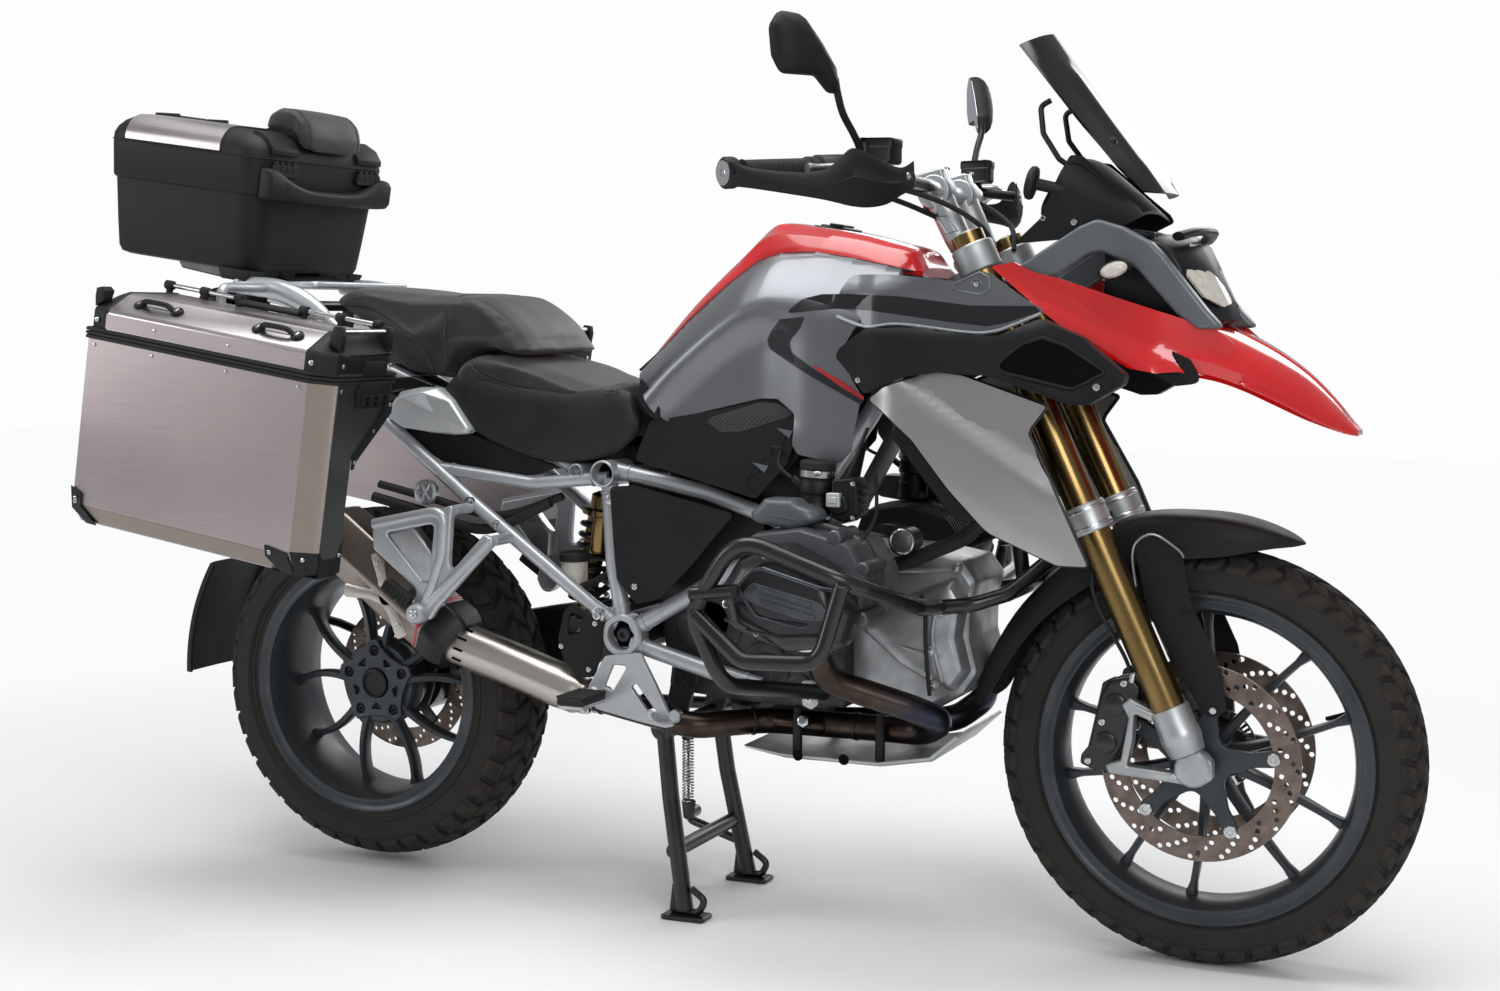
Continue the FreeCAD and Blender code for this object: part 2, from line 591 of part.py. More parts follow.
rails.append(rod(SIDE_PIN + SIDE_AXIS * 24, SIDE_PIN - SIDE_AXIS * 20, 8))
rails.append(rod(SIDE_PIN + SIDE_AXIS * 24, SIDE_PIN + SIDE_AXIS * 12, 15))
HEAD_STAY = (-159.3, 1000)
rails.append(rod((-394, 0, 1030), (HEAD_STAY[0], 0, HEAD_STAY[1]), 8))
rails.append(rod((HEAD_STAY[0], -149.8, HEAD_STAY[1]), (HEAD_STAY[0], 149.8, HEAD_STAY[1]), 9))
head_low = on_steering_axis(UPPER_BOSS_Z - 44)
head_up = on_steering_axis(UPPER_BOSS_Z - 14)
rails.append(rod(head_low, head_up, 26))
rails.append(rod(head_low, on_steering_axis(UPPER_BOSS_Z + BOSS - 4), stem_r))
frame_shape = fused(rails)
frame_shape = frame_shape.cut(rod((CROSS[0], -300, CROSS[1]), (CROSS[0], 300, CROSS[1]),
                                  size("cross_tube_bore")))
for s in (-1, 1):
    frame_shape = frame_shape.cut(rod((PIVOT[0], (pivot_half - 24) * s, PIVOT[1]),
                                      (PIVOT[0], 300 * s, PIVOT[1]), size("pivot_bore")))
seat(feature("main_frame_shape", frame_shape), "main_frame")

# Engine: crankcase, finned cylinders, head covers, throttle bodies

CRANKCASE = [(-880, 420), (-900, 520), (-880, 600), (-760, 636), (-600, 640), (-452, 625),
             (-372, 618), (-350, 585), (-362, 494), (-347, 440), (-372, 402), (-500, 366),
             (-700, 364), (-840, 372)]
STAND_PIN = 9
crank = new_body("crank_block")
loft(crank, "block", "XZ_Plane", [
    ("-crank_half", [(x * 0.96 - 24, z * 0.96 + 20) for x, z in CRANKCASE]),
    ("20 - crank_half", CRANKCASE), ("crank_half - 20", CRANKCASE),
    ("crank_half", [(x * 0.96 - 24, z * 0.96 + 20) for x, z in CRANKCASE])])
STAND_LUG = [(-904, 298), (-868, 298), (-845, 372), (-845, 402), (-878, 426)]
stand_z = size("stand_pivot_z")
STAND_X = -886
stand_lugs = fused([plate(STAND_LUG, -86, -76), plate(STAND_LUG, 76, 86),
                    rod((STAND_X, -124, stand_z), (STAND_X, 124, stand_z), STAND_PIN)])
seat(join("crankcase", [crank, feature("stand_lugs", stand_lugs)]), "crankcase")

cylinder_out = size("cylinder_out")
CYLINDER_X, CYLINDER_Z = -575, 590
HEAD = [(-664, 600), (-632, 677), (-540, 683), (-470, 664), (-448, 610), (-470, 530),
        (-560, 500), (-650, 520)]
FIN = [(-650, 585), (-628, 668), (-560, 680), (-468, 652), (-436, 600), (-452, 532),
       (-545, 508), (-635, 525)]
barrel = rod((CYLINDER_X, -size("crank_half"), CYLINDER_Z),
             (CYLINDER_X, -cylinder_out + 70, CYLINDER_Z), 62)
cylinder = [barrel, plate(HEAD, -cylinder_out, -cylinder_out + 74)]
first_fin = -cylinder_out + 84
for number in range(int(size("fin_count"))):
    y = first_fin + number * size("fin_pitch")
    cylinder.append(plate(FIN, y, y + size("fin_thickness")))
cylinder = fused(cylinder)
seat(feature("cylinders_shape", Part.makeCompound([cylinder, mirrored(cylinder)])), "cylinders")

COVER = [(-672, 590), (-640, 640), (-560, 664), (-480, 626), (-452, 560), (-470, 508),
         (-560, 498), (-650, 530)]
COVER_FACE = [(x * 0.8 + CYLINDER_X * 0.2, z * 0.8 + 0.2 * 580) for x, z in COVER]
covers = new_body("head_cover")
loft(covers, "bell", "XZ_Plane", [
    ("-cover_out", COVER_FACE), ("-cylinder_out - 30", COVER), ("-cylinder_out", COVER)])
seat(pair(covers), "head_covers")

throttle = fused([rod((-560, -226, 676), (-560, -226, 772), 29),
                  plate([(-523, 759), (-487, 751), (-484, 697), (-512, 682), (-540, 700),
                         (-545, 745)], -250, -190),
                  plate([(-632, 712), (-590, 728), (-559, 719), (-528, 700), (-540, 688),
                         (-632, 682)], -300, -240)])
throttle = biggest(throttle.cut(cylinder))
seat(feature("throttle_bodies_shape", Part.makeCompound([throttle, mirrored(throttle)])),
     "throttle_bodies")

# Engine guards: bent tubes round each cylinder

guard_r = size("guard_bar")
loop = bar([(-395, -145.3, 552), (-392, -250, 566), (-440, -408, 616), (-610, -428, 680),
            (-690, -415, 560), (-650, -390, 450), (-590, -110, 396)], guard_r, 45)
lower = bar([(-682, -420, 560), (-600, -432, 496), (-480, -425, 500), (-450, -410, 616)],
            guard_r, 30)
stub = rod((-682, -424, 590), (-620, -420, 598), guard_r - 2)
crash = fused([loop, lower, stub]).cut(Part.makeBox(200, 120, 200, V(-690, -118.2, 300)))
seat(feature("engine_guards_shape", Part.makeCompound([crash, mirrored(crash)])),
     "engine_guards")

# Exhaust: headers under the engine, pipe and faceted silencer on the right

header_right = bar([(-556, -268, 514), (-545, -232, 440), (-430, -170, 395), (-392, -120, 368),
                    (-440, -66, 336), (-560, -56, 334), (-720, -56, 332), (-815, -146, 330),
                    (-1014, -146, 366)], 22, 60)
header_left = bar([(-556, 268, 514), (-545, 232, 440), (-430, 170, 395), (-392, 120, 368),
                   (-430, 60, 336), (-560, 0, 334), (-690, -40, 333)], 22, 60)

silencer_pipe = rod((-1010, -150, 366), (-1262, -160, 446), 38)
BOX_FRONT, BOX_REAR = V(-1255, -160, 444), V(-1510, -160, 632)
axis = (BOX_REAR - BOX_FRONT).normalize()
turn_box = FreeCAD.Rotation(V(0, 0, 1), axis)
hexagon = Part.makePolygon([BOX_FRONT + turn_box.multVec(
    V(66 * math.cos(math.radians(60 * k)), 60 * math.sin(math.radians(60 * k)), 0))
    for k in range(7)])
silencer_box = Part.Face(hexagon).extrude(BOX_REAR - BOX_FRONT)
outlet = rod(BOX_REAR - axis * 5, BOX_REAR + axis * 24, 26).cut(
    rod(BOX_REAR - axis * 20, BOX_REAR + axis * 30, 22))
silencer = fused([silencer_pipe, silencer_box]).cut(rod(BOX_REAR - axis * 60, BOX_REAR, 22))
silencer = fused([silencer, outlet])
seat(feature("silencer_shape", silencer), "silencer")
headers = fused([header_right, header_left]).cut(silencer).cut(cylinder).cut(mirrored(cylinder))
seat(feature("exhaust_pipes_shape", biggest(headers)), "exhaust_pipes")

# Rear suspension: single arm with the shaft on the left, spring leg, front link and spring leg

ARM_SIDE = [(-936, 520), (-1180, 480), (-1420, 420), (-1507, 402), (-1570, 360), (-1570, 300),
            (-1507, 268), (-1430, 290), (-1200, 350), (-936, 430)]
swing = plate([(x - size("wheelbase") + 1507 if x < -1300 else x, z) for x, z in ARM_SIDE], 90, 134)
hub_x, hub_z = -size("wheelbase"), size("rear_tyre_radius") + size("rear_lift")
swing = swing.fuse(rod((hub_x, 64, hub_z), (hub_x, 158, hub_z), 74))
swing = swing.fuse(rod((PIVOT[0], -135, pivot_z), (PIVOT[0], 135, pivot_z), 32))
swing = swing.fuse(rod((PIVOT[0], -139.8, pivot_z), (PIVOT[0], 139.8, pivot_z), 20))
stub_axle = rod((hub_x, -30, hub_z), (hub_x, 70, hub_z), 28 - size("fit_gap"))
seat(feature("swingarm_shape", fused([swing, stub_axle])), "swingarm")

shock_low, shock_top = V(-1085, -20, 470), V(-1040, -20, 700)
shock = fused([rod(shock_low, shock_top, 16), rod(V(-1075, -20, 520), V(-1048, -20, 660), 36),
               rod(V(-1085, -60, 470), V(-1085, 89.7, 470), 14),
               rod(V(-1040, -20, 700), V(-1026, -20, 742), 12),
               Part.makeCylinder(24, 60, V(-1050, -118, 545), V(0, 0, 1)),
               rod(V(-1050, -118, 570), V(-1062, -40, 570), 8)])
shock = biggest(shock.cut(frame_shape))
seat(feature("rear_spring_leg_shape", shock), "rear_spring_leg")

link_z = LOWER_BOSS_Z - 3
pin_low, pin_up = on_steering_axis(link_z - 14), on_steering_axis(link_z + BOSS)
link_out = size("crank_half") + 12.2
link = [rod(pin_low, pin_up, stem_r), rod(pin_low, on_steering_axis(link_z), 24)]
for s in (-1, 1):
    link.append(bar([(pin_low.x, 6 * s, pin_low.z + 2), (-296, 96 * s, 572), (-345, link_out * s, 556),
                     (-430, link_out * s, 545)], 12, 50))
link.append(rod(V(-298, -96, 571), V(-298, 96, 571), 12))
link.append(rod(V(-298, 0, 571), V(-385, 0, 900), 12))
link.append(rod(V(-306, 0, 640), V(-350, 0, 810), 32))
seat(feature("front_link_shape", fused(link)), "front_link")

# Radiators behind the side panels

radiator = new_body("radiator")
pad(radiator, "core", "XZ_Plane", -206.8, -168,
    [(-440, 880), (-300, 862), (-262, 800), (-300, 690), (-352, 690), (-455, 820)])
stay = rod((-430, -170, 812), (-545, -106, 815), 8).cut(frame_shape)
seat(pair(join("radiator_right", [radiator, feature("radiator_stay", biggest(stay))])),
     "radiators")

# Tank shell, its painted top, scoops, side panels and covers

TANK_SIDE = [(-892, 870), (-890, 905), (-803, 1010), (-720, 1070), (-640, 1098), (-460, 1070),
             (-430, 1010), (-500, 878), (-524, 808), (-545, 777), (-618, 786), (-640, 830),
             (-720, 850)]
TANK_MIDDLE = [(-945, 880), (-945, 905), (-850, 1040), (-760, 1110), (-700, 1120), (-480, 1080),
               (-450, 1010), (-500, 900), (-524, 850), (-545, 830), (-618, 830), (-660, 840),
               (-740, 850)]
tank = new_body("tank_skin")
loft(tank, "skin", "XZ_Plane", [(-196, TANK_SIDE), (-95, TANK_MIDDLE), (95, TANK_MIDDLE),
                                (196, TANK_SIDE)])
pocket(tank, "tunnel", "XZ_Plane", "-tunnel_half", "tunnel_half",
       [(-680, 760), (-680, 858), (-575, 880), (-540, 990), (-490, 1058), (-400, 1058),
        (-400, 760)])
# the fork turns in this room: a round one, flat behind the steering axis
axis_up = (on_steering_axis(1) - on_steering_axis(0)).normalize()
steer_room = Part.makeCylinder(156, 190, on_steering_axis(980), axis_up)
behind = Part.makeBox(200, 400, 400, V(-248, -200, -100))
behind.rotate(V(0, 0, 0), V(0, 1, 0), -size("rake"))
behind.translate(on_steering_axis(980))
room = feature("steering_room", steer_room.cut(behind))


def clear_of_fork(name, body):
    """The body with the room of the turning fork taken out."""
    opened = doc.addObject("Part::Cut", name)
    opened.Base = body
    opened.Tool = room
    return opened


# cowls carry the tank's sides forward to the beak, outside the room of the fork
COWL = [(-540, 1085), (-440, 1073), (-377, 1054), (-306, 1068), (-222, 1015), (-294, 989),
        (-340, 983), (-487, 989), (-535, 960)]
tank_cowls = Part.makeCompound([plate(COWL, -195.8, -182), plate(COWL, 182, 195.8)])
seat(join("tank_with_cowls", [clear_of_fork("open_tank", tank),
                              feature("tank_cowls", tank_cowls)]), "tank_shell")

TANK_TOP = [(-950, 903), (-855, 1048), (-728, 1156), (-700, 1154), (-560, 1130), (-471, 1108),
            (-445, 1074.2), (-480, 1080.4), (-700, 1120.4), (-760.3, 1110.4), (-850.3, 1040.4),
            (-945.4, 905)]
tank_top = new_body("tank_band")
pad(tank_top, "band", "XZ_Plane", -92, 92, TANK_TOP)
seat(clear_of_fork("open_tank_top", tank_top), "tank_top")

SCOOP = [(-535, 945), (-487, 985), (-360, 981), (-280, 981), (-215, 1000), (-150, 972),
         (-83, 917), (-89, 902), (-139, 873), (-164, 873), (-293, 914), (-369, 918),
         (-431, 910), (-489, 882)]
MOUTH = [(-285, 930), (-245, 958), (-206, 972), (-157, 955), (-112, 920), (-156, 888)]
scoop = new_body("intake_scoop")
loft(scoop, "duct", "XZ_Plane", [(-240, [(x - 4, z - 2) for x, z in SCOOP]), (-196.2, SCOOP)])
pocket(scoop, "mouth", "XZ_Plane", -250, -200, MOUTH)
seat(pair(scoop), "intake_scoops")

PANEL = [(-479, 876), (-432, 902), (-367, 913), (-284, 903), (-202, 870), (-229, 839),
         (-180, 735), (-134, 637), (-180, 640), (-288, 679), (-348, 749), (-404, 819)]
panel = new_body("side_panel")
loft(panel, "face", "XZ_Plane", [(-248, [(x * 0.9 - 31, z * 0.9 + 80) for x, z in PANEL]),
                                 (-232, PANEL), (-207, PANEL)])
seat(pair(panel), "side_panels")

MESH_COVER = [(-905, 765), (-884, 836), (-700, 836), (-652, 812), (-640, 790), (-669, 709)]
FRAME_COVER = [(-949, 723), (-908, 724), (-725, 684), (-800, 600), (-860, 540), (-903, 530),
               (-938, 570)]
seat_cover = new_body("seat_side_cover")
pad(seat_cover, "face", "XZ_Plane", -176, -155, MESH_COVER)
cover_foot = Part.makeBox(20, 18, 20, V(-800, -156, 790)).cut(frame_shape)
seat(pair(join("seat_cover_right", [seat_cover, feature("cover_foot", biggest(cover_foot))])),
     "seat_side_covers")
frame_cover = new_body("frame_cover")
pad(frame_cover, "face", "XZ_Plane", -182, -164.2, FRAME_COVER)
cover_stud = Part.makeBox(20, 26, 25, V(-830, -166, 690)).cut(frame_shape)
seat(pair(join("frame_cover_right", [frame_cover, feature("cover_stud", biggest(cover_stud))])),
     "frame_covers")

# Front of the machine: beak, lamp, hoops, screen, cockpit

beak_parts = []
BEAK_WING = [(-315, 1078), (-292, 1085), (-150, 1040), (-60, 996), (12, 977), (42, 906),
             (-49, 914), (-103, 923), (-168, 957), (-280, 1035)]
BEAK_NOSE = [(-60, 985), (12, 977), (102, 940), (159, 903), (215, 831), (165, 835), (42, 906),
             (-60, 915)]
for s in (-1, 1):
    low, high = sorted((150 * s, 172 * s))
    beak_parts.append(plate(BEAK_WING, low, high))
beak_parts.append(plate(BEAK_NOSE[:2] + [(60, 958), (42, 906), (-60, 915)], -172, 172))
nose = Part.makeLoft([Part.makePolygon([V(x, -half, low), V(x, half, low), V(x, half * 0.8, high),
                                        V(x, -half * 0.8, high), V(x, -half, low)])
                      for x, half, low, high in ((40, 150, 906, 966), (110, 100, 868, 936),
                                                 (218, 28, 826, 838))], True, True)
beak_parts.append(nose)
seat(feature("beak_shape", fused(beak_parts)), "beak")

headlight = new_body("headlight")
loft(headlight, "shell", "XZ_Plane", [
    (-118, [(-150, 1000), (-150, 1110), (-90, 1130), (-40, 1110), (0, 1030), (20, 985)]),
    (0, [(-150, 990), (-150, 1120), (-80, 1140), (-20, 1126), (25, 1040), (46, 985)]),
    (118, [(-150, 1000), (-150, 1110), (-90, 1130), (-40, 1110), (0, 1030), (20, 985)])])
seat(headlight, "headlight")

HOOP = [(-300, 1050), (-166, 1146), (-141, 1145), (-60, 1100), (40, 982), (0, 982), (-91, 1078),
        (-135, 1100), (-160, 1103), (-250, 1040)]
hoop = new_body("headlight_hoop")
pad(hoop, "arm", "XZ_Plane", -149.8, -118.2, HOOP)
seat(pair(hoop), "headlight_hoops")

low_edge = Part.Arc(V(-90, -150, 1190), V(-62, 0, 1186), V(-90, 150, 1190)).toShape()
high_edge = Part.Arc(V(-284, -105, 1412), V(-252, 0, 1438), V(-284, 105, 1412)).toShape()
skin = Part.makeRuledSurface(low_edge, high_edge)
screen = skin.extrude(V(-4, 0, -3.5))
seat(feature("windscreen_shape", screen), "windscreen")

COCKPIT = [(-290, 1112), (-260, 1160), (-235, 1215), (-205, 1240), (-125, 1200), (-90, 1150),
           (-150, 1120)]
cockpit = new_body("cockpit_hood")
pad(cockpit, "hood", "XZ_Plane", -112, 112, COCKPIT)
screen_stay = biggest(rod((-180, -95, 1206), (-95, -95, 1262), 7).cut(screen))
screen_stays = Part.makeCompound([screen_stay, mirrored(screen_stay)])
seat(join("cockpit", [clear_of_fork("open_cockpit", cockpit),
                      feature("screen_stays", screen_stays)]), "cockpit")

# Seats, rack, mudguard

SEAT = [(-1285, 880), (-1262, 928), (-1213, 934), (-1114, 914), (-1031, 888), (-962, 892),
        (-935, 872.2), (-925, 800), (-1065, 760), (-1136, 770), (-1247, 808)]
RAIL_ROOM = [(-1300, 700), (-900, 700), (-928, 765.3), (-990, 765.3), (-1060, 772), (-1200, 841),
             (-1300, 894)]
rider = new_body("rider_seat")
loft(rider, "cushion", "XZ_Plane", [
    (-160, [(x * 0.94 - 64, z * 0.8 + 164) for x, z in SEAT]), (-120, SEAT), (120, SEAT),
    (160, [(x * 0.94 - 64, z * 0.8 + 164) for x, z in SEAT])])
pocket(rider, "rail_room", "XZ_Plane", -147, 147, RAIL_ROOM)
seat(rider, "rider_seat")
PILLION = [(-1536, 1028), (-1500, 1050), (-1365, 1040), (-1262, 1035), (-1200, 1015),
           (-1125, 935), (-1240, 950), (-1275, 935), (-1300, 895), (-1389, 909.7), (-1486, 1001)]
pillion = new_body("passenger_seat")
pad(pillion, "cushion", "XZ_Plane", -142, 142, PILLION)
seat(pillion, "passenger_seat")

RACK = [(-1713, 1060), (-1600, 1062), (-1530, 1052), (-1488, 985), (-1512, 975), (-1552, 1018),
        (-1653, 1043)]
rack = [plate(RACK, -172, -148), plate(RACK, 148, 172),
        Part.makeBox(150, 300, 10, V(-1700, -150, 1052)),
        plate([(-1900, 1107.9), (-1680, 1077), (-1640, 1062), (-1700, 1062), (-1890, 1090)], -90, 90),
        rod((-1558, -150, 1019), (-1558, 150, 1019), 9)]
for s in (-1, 1):
    rack.append(rod((-1618, 113 * s, 1056), (-1618, 113 * s, 988), 8))
rack_shape = biggest(fused(rack).cut(frame_shape))
seat(feature("luggage_rack_shape", rack_shape), "luggage_rack")

carrier = []
for s, inner in ((-1, 302), (1, 214)):
    hang_y = (inner - 9.2) * s
    carrier += [bar([(-1640, 172.3 * s, 1050), (-1640, hang_y, 1050), (-1640, hang_y, 800)], 9, 12),
                bar([(-1520, 172.3 * s, 1003), (-1520, hang_y, 1003), (-1420, hang_y, 930),
                     (-1400, hang_y, 760), (-1645, hang_y, 800)], 9, 12)]
seat(feature("case_carriers_shape", Part.makeCompound([fused(carrier[:2]), fused(carrier[2:])])),
     "case_carriers")

mud_r = size("rear_tyre_radius") + 58


def rear_sector(outer, inner, low, high, start, end):
    shape = ring_sector(outer, inner, low, high, start, end)
    shape.translate(V(hub_x, 0, hub_z - axle_z))
    return shape


mudguard = fused([rear_sector(mud_r + 6, mud_r, -90, 90, 148, 180),
                  rear_sector(mud_r, mud_r - 40, 88, 94, 150, 172),
                  bar([(hub_x - 30, 140, hub_z + 20), (-1700, 122, 410), (-1835, 91, 440)], 9, 60)])
mudguard = biggest(mudguard.cut(swing))
seat(feature("rear_mudguard_shape", mudguard), "rear_mudguard")
tail_arm = bar([(-1765, 0, 1076), (-1800, 0, 1000), (-1815, 0, 900)], 24, 60)
tail_arm = biggest(tail_arm.fuse(Part.makeBox(8, 150, 110, V(-1846, -75, 850))).cut(rack_shape))
seat(feature("tail_bracket_shape", tail_arm), "tail_bracket")

lamp = fused([rod((-112, -118.3, 1052), (-112, -178, 1052), 12),
              rod((-130, -176, 1052), (-90, -176, 1052), 19)])
rear_lamp = rod((-1800, -40, 1000), (-1800, -150, 1000), 14)
tail = Part.makeBox(40, 120, 44, V(-1880, -60, 1010))
seat(feature("indicators_shape", Part.makeCompound([
    lamp, mirrored(lamp), fused([tail, rear_lamp, mirrored(rear_lamp), rod(
        (-1800, -42, 1000), (-1800, 42, 1000), 14), rod((-1850, 0, 1016), (-1800, 0, 1004), 16)]
    ).cut(tail_arm)])),
    "indicators")

# Foot controls and hangers

PEG_PLATE = [(-960, 442), (-895, 451), (-830, 330), (-905, 336), (-979, 350), (-992, 388)]
peg = []
for s in (-1, 1):
    low, high = sorted((pivot_half * s, (pivot_half + 10) * s))
    web = plate(PEG_PLATE, low, high)
    low, high = sorted((160 * s, 190 * s))
    web = web.cut(plate([(-945, 425), (-915, 425), (-950, 380), (-965, 385)], low, high))
    step = Part.makeBox(50, 86, 22, V(-1000, 188 if s > 0 else -274, 366))
    hinge = rod((-975, (pivot_half + 2) * s, 377), (-975, 198 * s, 377), 15)
    pedal = bar([(-870, (pivot_half + 6) * s, 346), (-840, 196 * s, 348), (-800, 240 * s, 360)], 8, 20)
    peg.append(fused([web, step, hinge, pedal]))
seat(feature("footpegs_shape", Part.makeCompound(peg)), "footpegs")

HANGER = [(-1377, 642), (-1215, 688), (-1225, 560), (-1148, 640), (-1135, 625), (-1262, 492),
          (-1298, 495), (-1290, 540), (-1377, 607)]
HANGER_WINDOW = [(-1345, 622), (-1250, 648), (-1270, 552)]


def hanger(inner):
    """Bracket of the passenger's footrest on the right, its inner face at a distance inner."""
    web = plate(HANGER, -inner - 14, -inner).cut(plate(HANGER_WINDOW, -inner - 20, -inner + 5))
    feet = [rod((x, -174.2, z), (x, -inner - 2, z), 9) for x, z in ((-1145, 629), (-1222, 677))]
    return fused([web, Part.makeBox(46, 66, 18, V(-1300, -inner - 78, 496))] + feet)


seat(feature("passenger_hangers_shape", Part.makeCompound([
    hanger(222), mirrored(hanger(186))])), "passenger_hangers")

skid = new_body("skid_sheet")
pad(skid, "sheet", "XZ_Plane", -120, 120,
    [(-735, 293), (-665, 282), (-499, 282), (-410, 298), (-366, 340), (-372, 346), (-416, 305),
     (-499, 289), (-665, 289), (-730, 300)])
posts = [Part.makeBox(16, 12, 78, V(x, y, 287)) for x in (-660, -516) for y in (-97, 85)]
posts = fused(posts).cut(Part.makeBox(400, 300, 60, V(-800, -150, 364)))
seat(join("skid_plate", [skid, feature("skid_posts", posts)]), "skid_plate")

# Stands: the centre stand holds the machine up, the side stand is folded back

stand_r, stand_y = size("stand_tube"), size("stand_half")
stand = []
for s in (-1, 1):
    y = (stand_y - 20) * s
    stand.append(rod((STAND_X, (stand_y - 40) * s, stand_z), (STAND_X, (stand_y - 8) * s, stand_z), 20))
    stand.append(bar([(STAND_X, y, stand_z), (STAND_X + 14, y + 6 * s, 200),
                      (-838, y + 22 * s, 16)], stand_r, 200))
    foot_plate = Part.makeBox(76, 50, 8, V(-872, y + 22 * s - 25, 0))
    stand.append(foot_plate)
    stand.append(bar([(-850, y + 22 * s, 12), (-812, y + 22 * s, 12), (-800, y + 22 * s, 34),
                      (-828, y + 22 * s, 52)], 6, 14))
stand.append(rod((-861, -stand_y, 110), (-861, stand_y, 110), 13))
stand.append(bar([(-856, stand_y, 70), (-960, stand_y + 20, 92), (-976, stand_y + 60, 95)], 8, 20))
stand_bore = rod((STAND_X, -200, stand_z), (STAND_X, 200, stand_z), STAND_PIN + size("fit_gap"))
seat(feature("centre_stand_shape", fused(stand).cut(stand_bore)), "centre_stand")

side_leg = fused([bar([(-800, 150, 318), (-900, 168, 306), (-1070, 176, 300)], 12, 120),
                  Part.makeBox(46, 34, 8, V(-1096, 160, 296)),
                  rod(SIDE_PIN + SIDE_AXIS * 10, SIDE_PIN - SIDE_AXIS * 14, 17)])
side_leg = side_leg.cut(rod(SIDE_PIN + SIDE_AXIS * 60, SIDE_PIN - SIDE_AXIS * 60,
                            8 + size("fit_gap")))
seat(feature("side_stand_shape", side_leg), "side_stand")

# Cases: hollow boxes whose lids hinge, each in its own frame with x from its rear end


RIGHT_STEP = [("case_floor_width", "-case_height"), ("case_floor_width", "-step_low"),
              ("case_width", "-step_high")]
RIGHT_ROOM = [("case_floor_width - case_wall", "case_wall - case_height"),
              ("case_floor_width - case_wall", "0.4 * case_wall - step_low"),
              ("case_width - case_wall", "0.4 * case_wall - step_high")]
LEFT_FLOOR = [("case_width", "-case_height")]
LEFT_ROOM = [("case_width - case_wall", "case_wall - case_height")]


def case_block(name, wall, top, floor):
    """Block with a bevelled lower edge and front corner, all of its faces in by wall."""
    part = new_body(name)
    pad(part, "block", "YZ_Plane", wall, f"case_length - {wall}", [
        (wall, top), (wall, "case_bevel - case_height"),
        (f"case_bevel * 0.8 + {wall} * 0.4", f"{wall} - case_height")] + floor + [
            (f"case_width - {wall}", top)])
    pocket(part, "corner", "XY_Plane", "-case_height", 1, [
        (f"case_length - case_corner - {wall} * 1.4", -1), ("case_length + 1", -1),
        ("case_length + 1", f"case_corner + {wall} * 1.4 + 1")])
    return part


def side_case(name, floor, room_floor):
    """Box of sheet with an open top, z=0 at its rim; its outer face is at y=0, inwards is +y."""
    box = doc.addObject("Part::Cut", name)
    box.Base = case_block(name + "_block", 0, 0, floor)
    box.Tool = case_block(name + "_room", "case_wall", 1, room_floor)
    return box


CASE_OUTLINE = [("case_length", "case_corner"), ("case_length", "case_width"), (0, "case_width"),
                (0, 0), ("case_length - case_corner", 0)]


def side_lid(name):
    part = new_body(name)
    high = [("case_length - 16", 62), ("case_length - 16", "case_width - 10"),
            (16, "case_width - 10"), (16, 44), ("case_length - 38", 44)]
    loft(part, "lid", "XY_Plane", [("lid_gap", CASE_OUTLINE), ("lid_height * 0.55", CASE_OUTLINE),
                                   ("lid_height", high)])
    return part


CASE_X, CASE_Z = "front_axle_x - 1760", 978
seat(side_case("right_case", RIGHT_STEP, RIGHT_ROOM), "right_case_box", CASE_X, "-right_case_out", CASE_Z,
     "case_pitch")
seat(side_lid("right_lid_body"), "right_case_lid", CASE_X, "-right_case_out", CASE_Z, "case_pitch")
left_box = doc.addObject("Part::Mirroring", "left_case_mirror")
left_box.Source = side_case("left_case", LEFT_FLOOR, LEFT_ROOM)
left_box.Normal = V(0, 1, 0)
seat(left_box, "left_case_box", CASE_X, "left_case_out", CASE_Z, "case_pitch")
left_lid = doc.addObject("Part::Mirroring", "left_lid_mirror")
left_lid.Source = side_lid("left_lid_source")
left_lid.Normal = V(0, 1, 0)
seat(left_lid, "left_case_lid", CASE_X, "left_case_out", CASE_Z, "case_pitch")

TOP_X, TOP_Z = "front_axle_x - 1998", 1122


def rounded(length_from, length_to, half, corner):
    return [(length_to, f"{corner} - ({half})"), (length_to, f"({half}) - {corner}"),
            (f"({length_to}) - {corner}", half), (f"({length_from}) + {corner}", half),
            (length_from, f"({half}) - {corner}"), (length_from, f"{corner} - ({half})"),
            (f"({length_from}) + {corner}", f"-({half})"),
            (f"({length_to}) - {corner}", f"-({half})")]


top_box = new_body("top_case_body")
loft(top_box, "shell", "XY_Plane", [
    (0, rounded(12, "top_case_length - 14", "top_case_floor_half", 30)),
    ("top_case_height * 0.6", rounded(5, "top_case_length - 6", "top_case_half - 12", 30)),
    ("top_case_height", rounded(0, "top_case_length", "top_case_half", 30))])
inside = new_body("top_case_inside")
loft(inside, "space", "XY_Plane", [
    ("top_case_wall", rounded("12 + top_case_wall", "top_case_length - 14 - top_case_wall",
                              "top_case_floor_half - top_case_wall", 28)),
    ("top_case_height * 0.6", rounded("5 + top_case_wall", "top_case_length - 6 - top_case_wall",
                                      "top_case_half - 12 - top_case_wall", 28)),
    ("top_case_height + 1", rounded("top_case_wall", "top_case_length - top_case_wall",
                                    "top_case_half - top_case_wall", 28))])
top_case = doc.addObject("Part::Cut", "top_case_cut")
top_case.Base = top_box
top_case.Tool = inside
seat(top_case, "top_case_box", TOP_X, 0, TOP_Z, "top_case_pitch")
top_lid = new_body("top_lid_body")
